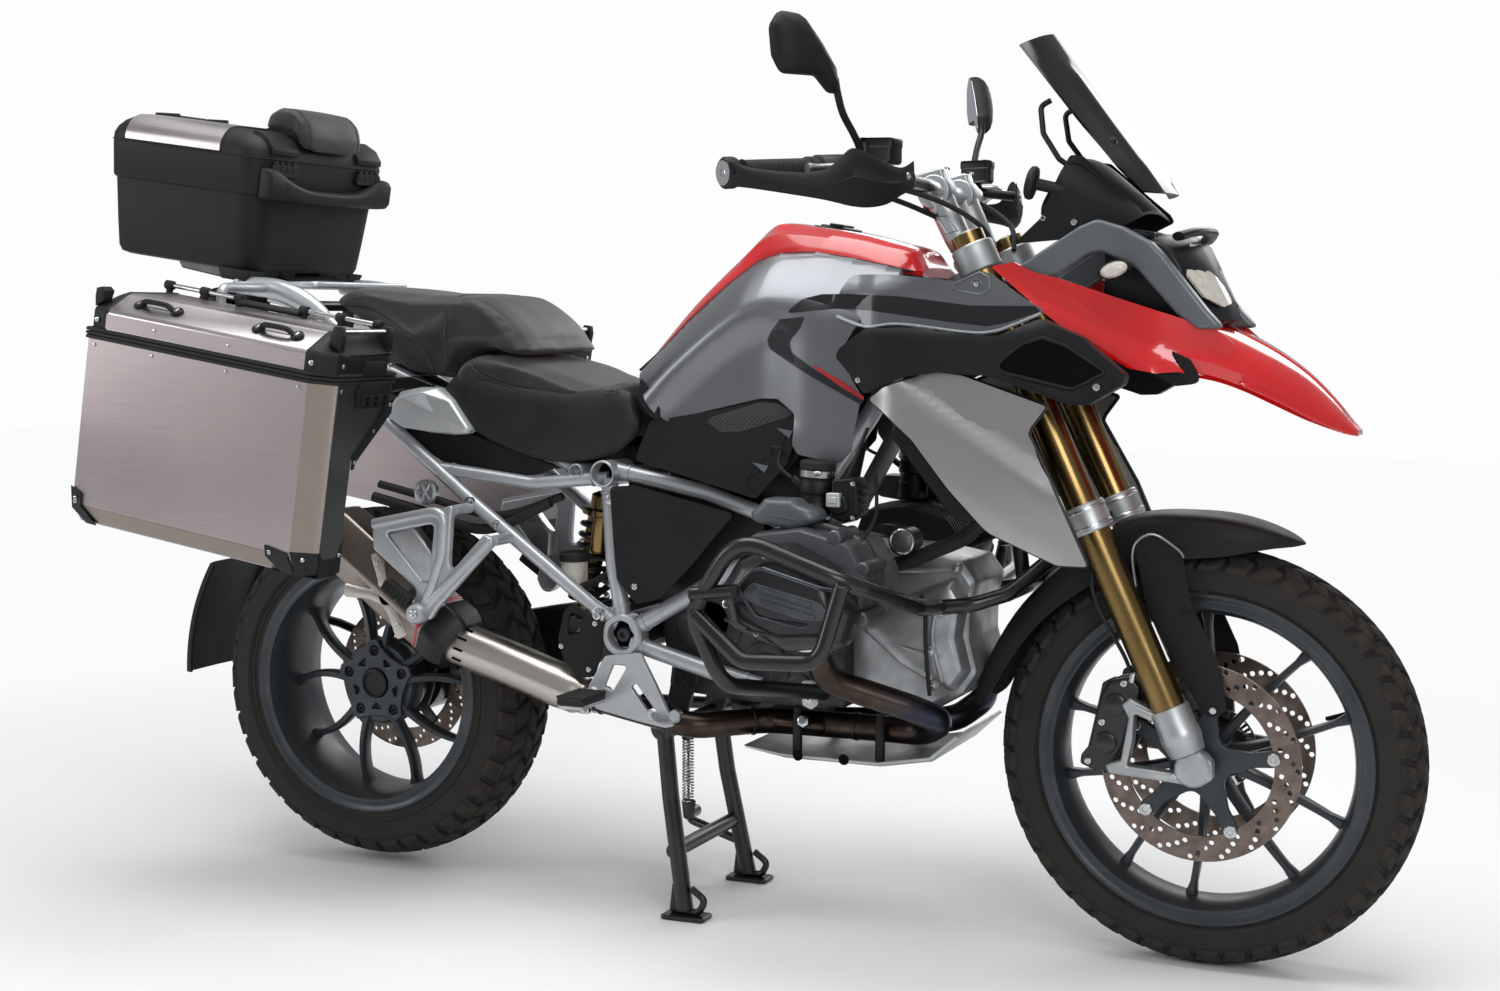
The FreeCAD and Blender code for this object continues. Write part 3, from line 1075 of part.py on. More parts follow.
loft(top_lid, "lid", "XY_Plane", [
    ("top_case_height + lid_gap", rounded(0, "top_case_length", "top_case_half", 30)),
    ("top_case_height + top_lid_height * 0.6",
     rounded(4, "top_case_length - 8", "top_case_half - 6", 30)),
    ("top_case_height + top_lid_height",
     rounded(24, "top_case_length - 40", "top_case_half - 26", 30))])
seat(top_lid, "top_case_lid", TOP_X, 0, TOP_Z, "top_case_pitch")


def on_top_lid(points):
    """Points back from the top case's front end and up from its lid."""
    return [(f"top_case_length - {back}" if back >= 0 else f"top_case_length + {-back}",
             f"top_case_height + top_lid_height + {up}" if up >= 0 else
             f"top_case_height + top_lid_height - {-up}") for back, up in points]


BACKREST = on_top_lid([(98, 0.3), (40, 0.3), (7, -19), (-8, -14), (16, 40), (72, 46)])
BACKREST_END = on_top_lid([(86, 0.3), (40, 0.3), (7, -19), (-1, -16), (22, 20), (68, 22)])
backrest = new_body("backrest_body")
loft(backrest, "pad", "XZ_Plane", [(-96, BACKREST_END), (-70, BACKREST), (70, BACKREST),
                                   (96, BACKREST_END)])
seat(backrest, "top_case_backrest", TOP_X, 0, TOP_Z, "top_case_pitch")

doc.recompute()
os.makedirs("parts", exist_ok=True)
for thing in doc.Objects:
    if "Invalid" in thing.State or "Error" in thing.State:
        raise RuntimeError(f"{thing.Label} failed: {thing.State}")
for thing in parts:
    if thing.Shape.isNull() or not thing.Shape.isValid():
        raise RuntimeError(f"{thing.Label} has no valid shape")
for thing in parts:
    thing.Shape.exportStep(f"parts/{thing.Label}.step")
    print(thing.Label, len(thing.Shape.Solids), round(thing.Shape.Volume))
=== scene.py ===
import math

import bmesh
import bpy
from mathutils import Matrix, Vector
from mathutils.bvhtree import BVHTree
from mathutils.kdtree import KDTree


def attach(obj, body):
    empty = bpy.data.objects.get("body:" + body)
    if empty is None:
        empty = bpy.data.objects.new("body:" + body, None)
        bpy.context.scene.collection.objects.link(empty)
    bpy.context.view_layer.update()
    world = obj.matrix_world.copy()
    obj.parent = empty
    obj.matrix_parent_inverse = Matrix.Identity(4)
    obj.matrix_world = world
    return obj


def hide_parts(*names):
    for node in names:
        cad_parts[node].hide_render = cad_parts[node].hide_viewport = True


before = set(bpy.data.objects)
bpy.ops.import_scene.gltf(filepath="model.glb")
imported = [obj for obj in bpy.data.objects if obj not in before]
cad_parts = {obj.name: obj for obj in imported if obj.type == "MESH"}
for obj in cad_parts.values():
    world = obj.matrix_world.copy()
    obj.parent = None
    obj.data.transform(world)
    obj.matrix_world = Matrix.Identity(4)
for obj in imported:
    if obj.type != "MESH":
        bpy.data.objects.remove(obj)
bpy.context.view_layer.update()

# Every point below is in millimetres from the ground under the front axle: x forward, y left, z up
AXLE_X = 838
FRONT_AXLE = (0, 0, 326)
REAR_AXLE = (-1507, 0, 333.6)
# The steering axis leans back by RAKE from STEER_X on the ground. The fork's tubes lean by
# FORK_LEAN and stand FORK_OUT to each side. Spokes are in pairs, SPOKE_PITCH degrees apart
RAKE = math.radians(25.5)
FORK_LEAN = math.radians(24.6)
FORK_OUT = 105
STEER_X = 99.6
PIVOT = (-935, 0, 476)
SPOKE_PITCH = 72
SIDES = (("right", -1), ("left", 1))
RIGHT, LEFT, UP, DOWN, AHEAD = (0, -1, 0), (0, 1, 0), (0, 0, 1), (0, 0, -1), (1, 0, 0)


def steer_x(z):
    """Where the steering axis is at a height."""
    return STEER_X - z * math.tan(RAKE)


def along_fork(distance, y=0.0, ahead=0.0):
    """Point on the fork's centre line, distance above the axle and ahead of the line."""
    return (-distance * math.sin(FORK_LEAN) + ahead * math.cos(FORK_LEAN), y,
            FRONT_AXLE[2] + distance * math.cos(FORK_LEAN) + ahead * math.sin(FORK_LEAN))


# Shapes: a shape is (points, faces), with faces as lists of point numbers

def merge(*shapes):
    points, faces = [], []
    for more_points, more_faces in shapes:
        first = len(points)
        points += [tuple(point) for point in more_points]
        faces += [[first + corner for corner in face] for face in more_faces]
    return points, faces


def mirrored(shape):
    """The same shape on the machine's other side."""
    points, faces = shape
    return [(x, -y, z) for x, y, z in points], [list(reversed(face)) for face in faces]


def moved(shape, matrix):
    points, faces = shape
    return [tuple(matrix @ Vector(point)) for point in points], faces


def at_wheel(shape, centre):
    """Moves a shape made about the y axis to a wheel's axle."""
    return [(x + centre[0], y, z + centre[2]) for x, y, z in shape[0]], shape[1]


def facing(origin, axis, up=UP):
    """Places a shape made about the z axis: its z along axis, its x near up."""
    z = Vector(axis).normalized()
    x = Vector(up) - z * Vector(up).dot(z)
    if x.length < 1e-6:
        x = Vector(AHEAD) - z * z.x
    x.normalize()
    turn = Matrix((x, z.cross(x), z)).transposed().to_4x4()
    return Matrix.Translation(Vector(origin)) @ turn


def turns(steps):
    """Angles of equal steps round a full turn."""
    return [2 * math.pi * k / steps for k in range(steps)]


def polar(radius, angle):
    return radius * math.cos(angle), radius * math.sin(angle)


def out_and_across(angle):
    """Unit vectors away from a wheel's axle and square to that, in the wheel's plane."""
    return Vector(polar(1, angle)), Vector((-math.sin(angle), math.cos(angle)))


def circle(radius, centre=(0, 0), steps=24):
    return [(centre[0] + u, centre[1] + v) for u, v in (polar(radius, a) for a in turns(steps))]


def rings(sections):
    """Skin through rings with equally many points each, closed at both ends."""
    count = len(sections[0])
    points = [tuple(point) for section in sections for point in section]
    faces = []
    for row in range(len(sections) - 1):
        for k in range(count):
            a, b = row * count + k, row * count + (k + 1) % count
            faces.append([a, b, b + count, a + count])
    faces.append(list(reversed(range(count))))
    faces.append([(len(sections) - 1) * count + k for k in range(count)])
    return points, faces


def open_rings(shape):
    """A skin of four-sided faces without its two end faces."""
    return shape[0], [face for face in shape[1] if len(face) == 4]


def lathe(profile, origin=(0, 0, 0), axis=LEFT, steps=32):
    """Skin of revolution. The profile is (radius, along the axis) from one end to the other."""
    place = facing(origin, axis)
    return rings([[place @ Vector((*polar(r, a), h)) for a in turns(steps)] for r, h in profile])


def arc(before, here, after, radius, most, steps):
    """Round of a corner, which takes at most a share of each side; nothing if it is too small."""
    back, ahead = before - here, after - here
    half = back.angle(ahead, 3.14) / 2
    reach = min(radius / max(math.tan(half), 1e-3), most * back.length, most * ahead.length)
    first, last = here + back.normalized() * reach, here + ahead.normalized() * reach
    return half, reach, [tuple(first * (1 - t) ** 2 + here * 2 * t * (1 - t) + last * t * t)
                         for t in (step / steps for step in range(steps + 1))]


def rounded(corners, radius, steps=4):
    """Outline in the plane with each corner rounded. A corner (x, z, r) has its own radius."""
    outline = []
    for k, corner in enumerate(corners):
        before, here, after = (Vector(corners[j % len(corners)][:2]) for j in (k - 1, k, k + 1))
        own = corner[2] if len(corner) > 2 else radius
        half, reach, line = arc(before, here, after, own, 0.48, steps)
        sharp = own < 0.01 or reach < 0.05 or half > 1.55
        outline += [tuple(here)] if sharp else line
    return outline


def bent(points, bend=40, steps=6):
    """Path with straight runs and an arc at each corner."""
    corners = [Vector(point) for point in points]
    path = [tuple(corners[0])]
    for before, here, after in zip(corners, corners[1:], corners[2:]):
        path += arc(before, here, after, bend, 0.45, steps)[2]
    return path + [tuple(corners[-1])]


def flowing(points, per=6):
    """Smooth open line through the points (any dimension), with per steps between two."""
    line = []
    last = len(points) - 1
    for k in range(last):
        p = [Vector(points[min(max(j, 0), last)]) for j in (k - 1, k, k + 1, k + 2)]
        for step in range(per):
            t = step / per
            line.append(tuple(0.5 * ((2 * p[1]) + (p[2] - p[0]) * t
                                     + (2 * p[0] - 5 * p[1] + 4 * p[2] - p[3]) * t * t
                                     + (3 * p[1] - p[0] - 3 * p[2] + p[3]) * t ** 3)))
    return line + [tuple(points[-1])]


def sweep(path, radius, steps=16, wide=1.0, up=UP):
    """Bar along a path. The radius is a number or one for each point; wide stretches it
    across up."""
    path = [Vector(point) for point in path]
    sizes = radius if isinstance(radius, (list, tuple)) else [radius] * len(path)
    side = None
    sections = []
    for k, point in enumerate(path):
        ahead = (path[min(k + 1, len(path) - 1)] - path[max(k - 1, 0)]).normalized()
        if side is None:
            side = ahead.cross(Vector(up))
            if side.length < 1e-3:
                side = ahead.cross(Vector(AHEAD))
        side = (side - ahead * side.dot(ahead)).normalized()
        top = side.cross(ahead)
        sections.append([point + side * (u * sizes[k] * wide) + top * (v * sizes[k])
                         for u, v in (polar(1, a) for a in turns(steps))])
    return rings(sections)


def tube(path, radius, wall=2.0, steps=16):
    """Open pipe: its wall shows at both ends."""
    outer, inner = sweep(path, radius, steps), sweep(path, radius - wall, steps)
    shift = len(outer[0])
    faces = outer[1][:-2] + [[shift + c for c in reversed(face)] for face in inner[1][:-2]]
    for first, flip in ((0, False), (shift - steps, True)):
        for k in range(steps):
            a, b = first + k, first + (k + 1) % steps
            face = [b, a, shift + a, shift + b]
            faces.append(list(reversed(face)) if flip else face)
    return outer[0] + inner[0], faces


def evaluated(thing):
    """The object's mesh with its modifiers applied."""
    return bpy.data.meshes.new_from_object(
        thing.evaluated_get(bpy.context.evaluated_depsgraph_get()))


def linked(name, data):
    """Puts an object with this data into the scene."""
    thing = bpy.data.objects.new(name, data)
    bpy.context.scene.collection.objects.link(thing)
    return thing


def plate(outlines, low, high, edge=1.0, plane="xz", edge_steps=2):
    """Flat piece between two distances along the third axis, with rounded edges. The first
    outline is its rim and the others are windows."""
    curve = bpy.data.curves.new("plate", "CURVE")
    curve.dimensions, curve.fill_mode = "2D", "BOTH"
    edge = min(edge, (high - low) / 2.01)
    curve.extrude = (high - low) / 2 - edge
    curve.bevel_depth, curve.bevel_resolution, curve.offset = edge, edge_steps, -edge
    if not isinstance(outlines[0][0], (tuple, list, Vector)):
        outlines = [outlines]
    for outline in outlines:
        spline = curve.splines.new("POLY")
        spline.points.add(len(outline) - 1)
        for point, (u, v) in zip(spline.points, outline):
            point.co = (u, v, 0, 1)
        spline.use_cyclic_u = True
    holder = linked("plate", curve)
    mesh = evaluated(holder)
    middle = (low + high) / 2
    points = [tuple(v.co) for v in mesh.vertices]
    faces = [list(p.vertices) for p in mesh.polygons]
    bpy.data.objects.remove(holder)
    bpy.data.curves.remove(curve)
    bpy.data.meshes.remove(mesh)
    if plane == "xz":
        return [(u, middle - w, v) for u, v, w in points], faces
    if plane == "yz":
        return [(middle + w, u, v) for u, v, w in points], faces
    return [(u, v, middle + w) for u, v, w in points], faces


def shell(outline, surface, thick=3.0, edge=4.0, pitch=14.0):
    """Moulded panel of the right side. The outline is in x and z; surface(x, z) gives the outer
    face's y, and the panel's edge rolls inwards. Its face is cut at every pitch to bend."""
    bm = bmesh.new()
    face = bm.faces.new([bm.verts.new((x, 0, z)) for x, z in outline])
    face.normal_update()
    depth = {vert: edge for vert in face.verts}
    roll = 3
    for step in range(1, roll + 1):
        before = edge * (1 - math.cos(math.pi / 2 * (step - 1) / roll))
        now = edge * (1 - math.cos(math.pi / 2 * step / roll))
        bmesh.ops.inset_region(bm, faces=[face], thickness=now - before, use_even_offset=True)
        for vert in face.verts:
            depth[vert] = edge * (1 - math.sin(math.pi / 2 * step / roll))
    ring_faces = {f for f in bm.faces if f != face}
    for axis, column in ((0, 0), (2, 1)):
        low, high = min(p[column] for p in outline), max(p[column] for p in outline)
        cuts = int((high - low) / pitch)
        for k in range(1, cuts):
            at, normal = [0, 0, 0], [0, 0, 0]
            at[axis], normal[axis] = low + (high - low) * k / cuts, 1
            middle = [f for f in bm.faces if f not in ring_faces]
            geometry = middle + list({e for f in middle for e in f.edges}) \
                + list({v for f in middle for v in f.verts})
            bmesh.ops.bisect_plane(bm, geom=geometry, plane_co=at, plane_no=normal)
    bmesh.ops.triangulate(bm, faces=[f for f in bm.faces if len(f.verts) > 4])
    for vert in bm.verts:
        vert.co.y = surface(vert.co.x, vert.co.z) + depth.get(vert, 0.0)
    back = bmesh.ops.extrude_edge_only(bm, edges=[e for e in bm.edges if e.is_boundary])
    for vert in [g for g in back["geom"] if isinstance(g, bmesh.types.BMVert)]:
        vert.co.y += thick
    bmesh.ops.contextual_create(bm, geom=[e for e in bm.edges if e.is_boundary])
    bmesh.ops.recalc_face_normals(bm, faces=bm.faces)
    bm.verts.index_update()
    points = [tuple(v.co) for v in bm.verts]
    faces = [[v.index for v in f.verts] for f in bm.faces]
    bm.free()
    return points, faces


def block(low, high, edge=0.0):
    """Block between two corners, with its upright edges rounded where edge is given."""
    outline = [(low[0], low[2]), (high[0], low[2]), (high[0], high[2]), (low[0], high[2])]
    return plate(rounded(outline, edge * 1.5) if edge else outline, low[1], high[1], edge)


def screw(point, axis, radius=5.0, high=3.0, drive=True):
    """Domed screw head with a socket, or a plain rivet head without one."""
    profile = [(radius, 0), (radius, high * 0.45), (radius * 0.86, high * 0.85),
               (radius * 0.6, high), (radius * 0.48, high)]
    if drive:
        profile += [(radius * 0.46, high * 0.25), (0.01, high * 0.2)]
    else:
        profile += [(0.01, high * 1.05)]
    return lathe(profile, point, axis, 12)


def inset(corners, by, middle):
    """The outline scaled about its middle."""
    return [(middle[0] + (c[0] - middle[0]) * by, middle[1] + (c[1] - middle[1]) * by, *c[2:])
            for c in corners]


def stacked(outline, levels, middle=(0, 0), radius=8, steps=4):
    """Moulding of the right side: levels are (distance out, share of the outline)."""
    return rings([[(x, -y, z) for x, z in rounded(inset(outline, by, middle), radius, steps)]
                  for y, by in levels])


def handed(shape, side):
    """The right-hand shape, or its mirror image for the left side, which is 1."""
    return mirrored(shape) if side > 0 else shape


def piece(name, shape, finish, body="chassis", stands_for=(), slot=None, bevel=0.0, crease=35,
          weld=False):
    """Makes the object. Bevel is the radius of its edges in mm, and edges that turn by more than
    crease degrees stay sharp. Its slot is looked up from its finish where none is given, but the
    slot is not used."""
    points, faces = shape
    mesh = bpy.data.meshes.new(name)
    mesh.from_pydata([((x + AXLE_X) / 1000, y / 1000, z / 1000) for x, y, z in points], [], faces)
    bm = bmesh.new()
    bm.from_mesh(mesh)
    if weld:
        bmesh.ops.remove_doubles(bm, verts=bm.verts, dist=0.00005)
    bmesh.ops.recalc_face_normals(bm, faces=bm.faces)
    bm.to_mesh(mesh)
    bm.free()
    thing = linked(name, mesh)
    if bevel:
        rounding = thing.modifiers.new("edges", "BEVEL")
        rounding.width, rounding.segments = bevel / 1000, 2
        rounding.limit_method, rounding.angle_limit = "ANGLE", math.radians(crease)
        made = evaluated(thing)
        thing.modifiers.clear()
        thing.data = made
    thing.data.shade_smooth()
    thing.data.set_sharp_from_angle(angle=math.radians(crease))
    thing.data.materials.clear()
    thing.data.materials.append(finish)
    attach(thing, body)
    if stands_for:
        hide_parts(*([stands_for] if isinstance(stands_for, str) else stands_for))
    slot = slot or SLOT_OF[finish]
    return thing


def both_sides(name, shape, finish, body="chassis", stands_for=(), **more):
    """The right-hand piece, which stands for the pair's solids, and its mirror image."""
    piece("right_" + name, shape, finish, body, stands_for, **more)
    piece("left_" + name, mirrored(shape), finish, body, **more)


# Finishes

def colour(code):
    """sRGB hex to the linear colour that a shader takes."""
    channels = [int(code[k:k + 2], 16) / 255 for k in (1, 3, 5)]
    return [c / 12.92 if c <= 0.04045 else ((c + 0.055) / 1.055) ** 2.4 for c in channels] + [1]


def node(tree, kind, inputs=None, **settings):
    """Adds a node with its settings. An input is a value or the socket to link to it."""
    made = tree.nodes.new(kind)
    for name, value in settings.items():
        setattr(made, name, value)
    for name, value in (inputs or {}).items():
        if isinstance(value, bpy.types.NodeSocket):
            tree.links.new(value, made.inputs[name])
        else:
            made.inputs[name].default_value = value
    return made


def blended(tree, factor, first, second):
    """Two colours mixed by a factor; a colour is hex or a socket."""
    mix = node(tree, "ShaderNodeMix", data_type="RGBA")
    for socket, value in (("Factor_Float", factor), ("A_Color", first), ("B_Color", second)):
        target = next(i for i in mix.inputs if i.identifier == socket)
        if isinstance(value, bpy.types.NodeSocket):
            tree.links.new(value, target)
        else:
            target.default_value = colour(value) if isinstance(value, str) else value
    return next(o for o in mix.outputs if o.identifier == "Result_Color")


def finish(name, base, second, roughness, metallic=0.0, coat=0.0, specular=0.5,
           mm=(60, 1.5, 0.02), grain="noise", stretch=(1, 1, 1), rough_swing=0.08, dust=None,
           sheen=0.0):
    """Surface with two tones, a grain and an uneven gloss. mm has the real size of the tones, of
    the grain and of its depth. Dust is a paler colour that lies on what faces up."""
    tone_mm, grain_mm, grain_depth = mm
    made = bpy.data.materials.new(name)
    made.use_nodes = True
    tree = made.node_tree
    shader = tree.nodes["Principled BSDF"]
    place = node(tree, "ShaderNodeTexCoord").outputs["Object"]
    lie = node(tree, "ShaderNodeMapping", {"Vector": place, "Scale": stretch}).outputs["Vector"]
    tone = node(tree, "ShaderNodeTexNoise", {"Vector": lie, "Scale": 1000 / tone_mm,
                                             "Detail": 4.0}).outputs["Fac"]
    if grain == "cells":
        fine = node(tree, "ShaderNodeTexVoronoi", {"Vector": lie, "Scale": 1000 / grain_mm},
                    feature="F1").outputs["Distance"]
    else:
        fine = node(tree, "ShaderNodeTexNoise", {"Vector": lie, "Scale": 1000 / grain_mm,
                                                 "Detail": 3.0}).outputs["Fac"]
    steep = node(tree, "ShaderNodeMapRange", {"Value": tone, "From Min": 0.35, "From Max": 0.65})
    shade = blended(tree, steep.outputs["Result"], base, second)
    if dust:
        up = node(tree, "ShaderNodeSeparateXYZ",
                  {"Vector": node(tree, "ShaderNodeNewGeometry").outputs["Normal"]}).outputs["Z"]
        lying = node(tree, "ShaderNodeMapRange", {"Value": up, "From Min": 0.35, "From Max": 1.0,
                                                  "To Max": 0.35}).outputs["Result"]
        shade = blended(tree, lying, shade, dust)
    tree.links.new(shade, shader.inputs["Base Color"])
    gloss = node(tree, "ShaderNodeMapRange", {
        "Value": tone, "From Min": 0.3, "From Max": 0.7,
        "To Min": max(roughness - rough_swing, 0.02), "To Max": min(roughness + rough_swing, 1)})
    tree.links.new(gloss.outputs["Result"], shader.inputs["Roughness"])
    if grain_depth:
        bump = node(tree, "ShaderNodeBump", {"Height": fine, "Strength": 0.6,
                                             "Distance": grain_depth / 1000})
        tree.links.new(bump.outputs["Normal"], shader.inputs["Normal"])
    shader.inputs["Metallic"].default_value = metallic
    shader.inputs["Coat Weight"].default_value = coat
    shader.inputs["Coat Roughness"].default_value = 0.04
    shader.inputs["Specular IOR Level"].default_value = specular
    shader.inputs["Sheen Weight"].default_value = sheen
    return made


# grain sizes are the real ones in mm, drawn 2 to 3 times coarser where a pixel would hide them
# powder coat on steel tube: even silver with a faint orange peel
FRAME_SILVER = finish("silver_powder_coat", "#b4b7ba", "#a4a7ab", 0.36, metallic=0.55,
                      mm=(90, 2.5, 0.03))
# sand-cast aluminium: dull warm grey, grainy, darker where oil mist has settled
CAST_GREY = finish("sand_cast_aluminium", "#5c5d60", "#515255", 0.48, metallic=0.7,
                   mm=(35, 1.6, 0.12), rough_swing=0.12)
CAST_LIGHT = finish("die_cast_aluminium", "#a9abad", "#8d9092", 0.40, metallic=0.75,
                    mm=(40, 1.4, 0.06))
CAST_DARK = finish("oily_cast_aluminium", "#3e3f41", "#2b2c2e", 0.52, metallic=0.5,
                   mm=(30, 1.8, 0.1))
# dark lacquer over cast metal: deep grey, half gloss
COVER_DARK = finish("dark_engine_lacquer", "#232528", "#1b1d1f", 0.33, metallic=0.35, coat=0.25,
                    mm=(50, 1.2, 0.02))
COVER_RIB = finish("machined_cover_lacquer", "#54575b", "#45484c", 0.3, metallic=0.55, coat=0.2,
                   mm=(40, 0.9, 0.015))
# moulded ABS, spark-eroded texture: black, low gloss, fine leathery grain
BLACK_PLASTIC = finish("textured_abs", "#0f1011", "#151617", 0.55, specular=0.25,
                       mm=(120, 1.3, 0.06), grain="cells", dust="#262626")
SATIN_BLACK = finish("satin_abs", "#0e0f10", "#141516", 0.4, specular=0.3,
                     mm=(90, 1.0, 0.015))
GREY_PLASTIC = finish("painted_grey_abs", "#63676b", "#575b5f", 0.42, metallic=0.35,
                      mm=(80, 1.2, 0.02))
# painted shade: near black for the unlit insides of ducts, pipes, bores, holes and slots; the eye
# gets depth, no surface
PAINTED_SHADE = finish("shadowed_duct_wall", "#050505", "#070707", 0.9, specular=0.1,
                   mm=(60, 1.5, 0.05))
# gloss black stove enamel on bent steel tube
BLACK_STEEL = finish("black_stove_enamel", "#0a0b0c", "#101112", 0.3, coat=0.15,
                     mm=(70, 2.2, 0.02))
# lacquer with fine flakes over plastic: the flakes sparkle a little and the coat is clear
TANK_GREY = finish("flake_grey_lacquer", "#77797d", "#6f7175", 0.36, metallic=0.85, coat=0.5,
                   mm=(160, 0.7, 0.006), rough_swing=0.03)
BAND_DARK = finish("flake_black_lacquer", "#25272a", "#1e2022", 0.34, metallic=0.6, coat=0.5,
                   mm=(120, 0.7, 0.006), rough_swing=0.03)
PANEL_SILVER = finish("satin_silver_lacquer", "#a8a5a5", "#9c999a", 0.34, metallic=0.85,
                      coat=0.15, mm=(150, 0.8, 0.006), rough_swing=0.03)
RED_PAINT = finish("solid_red_lacquer", "#c80a0c", "#bd0709", 0.22, coat=1.0,
                   mm=(200, 3.0, 0.004), rough_swing=0.03)
RED_STRIPE = finish("red_pin_stripe", "#b3121a", "#a50f16", 0.3, coat=0.4,
                    mm=(80, 1.0, 0.0))
# anodised aluminium stanchion tubes: drawn along their length, brass-brown
FORK_GOLD = finish("gold_anodised_tube", "#8a734a", "#75603c", 0.24, metallic=1.0,
                   mm=(80, 0.8, 0.008), stretch=(1, 1, 0.08))
# machined or shot-blasted aluminium
BARE_METAL = finish("machined_aluminium", "#c3c5c7", "#b0b3b5", 0.32, metallic=1.0,
                    mm=(30, 0.9, 0.012))
BLASTED_METAL = finish("blasted_aluminium", "#b9bbbc", "#a6a9aa", 0.46, metallic=0.9,
                       mm=(50, 1.1, 0.04))
# zinc-plated and polished steel of screws, rails and rivets
STEEL = finish("polished_steel", "#c9cacb", "#b3b4b6", 0.2, metallic=1.0,
               mm=(20, 0.8, 0.006))
RAIL_PALE = finish("silver_lacquered_casting", "#c4c8c9", "#b5babc", 0.3, metallic=0.45, coat=0.4,
                   mm=(90, 1.5, 0.01))
# cast wheels under a dark grey coat, with road film
RIM_GREY = finish("dark_wheel_coat", "#3d4145", "#33373b", 0.36, metallic=0.5,
                  mm=(70, 1.2, 0.02), dust="#55524e")
# brake steel: ground in circles, browned by heat and pad dust
DISC_STEEL = finish("ground_brake_steel", "#7b6f67", "#665a52", 0.34, metallic=0.9,
                    mm=(24, 0.9, 0.01), rough_swing=0.1)
# vulcanised rubber: matt black, with a grey bloom and dust
TYRE_RUBBER = finish("vulcanised_rubber", "#1f1d1b", "#2a2725", 0.78, specular=0.3,
                     mm=(40, 1.5, 0.08), rough_swing=0.1)
TREAD_RUBBER = finish("scuffed_tread_rubber", "#24211f", "#332f2b", 0.85, specular=0.25,
                      mm=(18, 1.2, 0.12), rough_swing=0.08)
SOFT_RUBBER = finish("soft_rubber", "#161616", "#1d1d1d", 0.66, specular=0.35,
                     mm=(30, 1.0, 0.03))
# textured case plastic, coarser than the trim
CASE_BLACK = finish("coarse_textured_abs", "#141516", "#1b1c1d", 0.56, specular=0.28,
                    mm=(90, 1.8, 0.11), grain="cells")
# smoked acrylic sheet: black, with a clean mirror image
SCREEN_BLACK = finish("smoked_acrylic", "#050507", "#08080b", 0.09, coat=0.0,
                      mm=(200, 5.0, 0.0), rough_swing=0.02)
# silvered glass: a mirror without a colour of its own
MIRROR_GLASS = finish("silvered_glass", "#c9ced2", "#c4c9cd", 0.04, metallic=1.0,
                      mm=(200, 5.0, 0.0), rough_swing=0.02)
# stretched vinyl over foam: fine pebble grain, soft sheen
SEAT_VINYL = finish("pebbled_vinyl", "#202123", "#28292b", 0.52, specular=0.32, sheen=0.15,
                    mm=(70, 1.6, 0.10), grain="cells")
SEAT_SIDE = finish("smooth_vinyl", "#1a1b1c", "#202122", 0.5, specular=0.32,
                   mm=(60, 1.2, 0.05), grain="cells")
THREAD = finish("spun_polyester_thread", "#3b3c3e", "#303133", 0.7,
                mm=(4, 0.8, 0.05))
# clear and red acrylic lenses with a facetted back, and the plated bowls behind them
CLEAR_LENS = finish("clear_lamp_lens", "#c9c4bb", "#b9b2a6", 0.12, coat=0.8,
                    mm=(12, 3.0, 0.1))
RED_LENS = finish("red_lamp_lens", "#7d0a0c", "#5f0608", 0.15, coat=0.8,
                  mm=(12, 3.0, 0.1))
REFLECTOR = finish("vacuum_plated_reflector", "#d9dcdf", "#bfc3c7", 0.12, metallic=1.0,
                   mm=(15, 6.0, 0.2))


def brushed(name, base, second, roughness, along, line_mm=0.9, length_mm=90):
    """Sheet metal brushed in one direction: long thin scratches, duller in broad clouds."""
    made = bpy.data.materials.new(name)
    made.use_nodes = True
    tree = made.node_tree
    shader = tree.nodes["Principled BSDF"]
    place = node(tree, "ShaderNodeTexCoord").outputs["Object"]
    lines = [1000 / line_mm] * 3
    lines[along] = 1000 / length_mm
    fine = node(tree, "ShaderNodeTexNoise", {
        "Vector": node(tree, "ShaderNodeMapping", {"Vector": place, "Scale": lines}).outputs[0],
        "Scale": 1.0, "Detail": 4.0, "Roughness": 0.7}).outputs["Fac"]
    cloud = node(tree, "ShaderNodeTexNoise", {"Vector": place, "Scale": 1000 / 240,
                                              "Detail": 2.0}).outputs["Fac"]
    scratch = node(tree, "ShaderNodeMapRange", {"Value": fine, "From Min": 0.3, "From Max": 0.7})
    soft_cloud = node(tree, "ShaderNodeMapRange", {"Value": cloud, "From Min": 0.35,
                                                   "From Max": 0.65, "To Max": 0.55})
    shade = blended(tree, scratch.outputs["Result"], base, second)
    shade = blended(tree, soft_cloud.outputs["Result"], shade, base)
    tree.links.new(shade, shader.inputs["Base Color"])
    gloss = node(tree, "ShaderNodeMapRange", {"Value": fine, "To Min": roughness - 0.1,
                                              "To Max": roughness + 0.1})
    tree.links.new(gloss.outputs["Result"], shader.inputs["Roughness"])
    bump = node(tree, "ShaderNodeBump", {"Height": fine, "Strength": 0.35, "Distance": 0.00004})
    tree.links.new(bump.outputs["Normal"], shader.inputs["Normal"])
    shader.inputs["Metallic"].default_value = 1.0
    shader.inputs["Anisotropic"].default_value = 0.45
    return made


# rolled aluminium sheet, brushed front to back, with a faint rosy cast
CASE_ALUMINIUM = brushed("brushed_aluminium_sheet", "#b5aaa9", "#a1979a", 0.42, 0)
LID_ALUMINIUM = brushed("brushed_lid_sheet", "#c3bdbc", "#aea8a9", 0.34, 0)
# painted shade: darker copies of the same sheet, brushed up and down, for the bevelled corner
# faces and the front face that turn from the light
CASE_SHADE = brushed("brushed_aluminium_corner", "#978e85", "#857d75", 0.44, 2)
CASE_FRONT_SHADE = brushed("shaded_aluminium_sheet", "#777a78", "#646765", 0.4, 2)
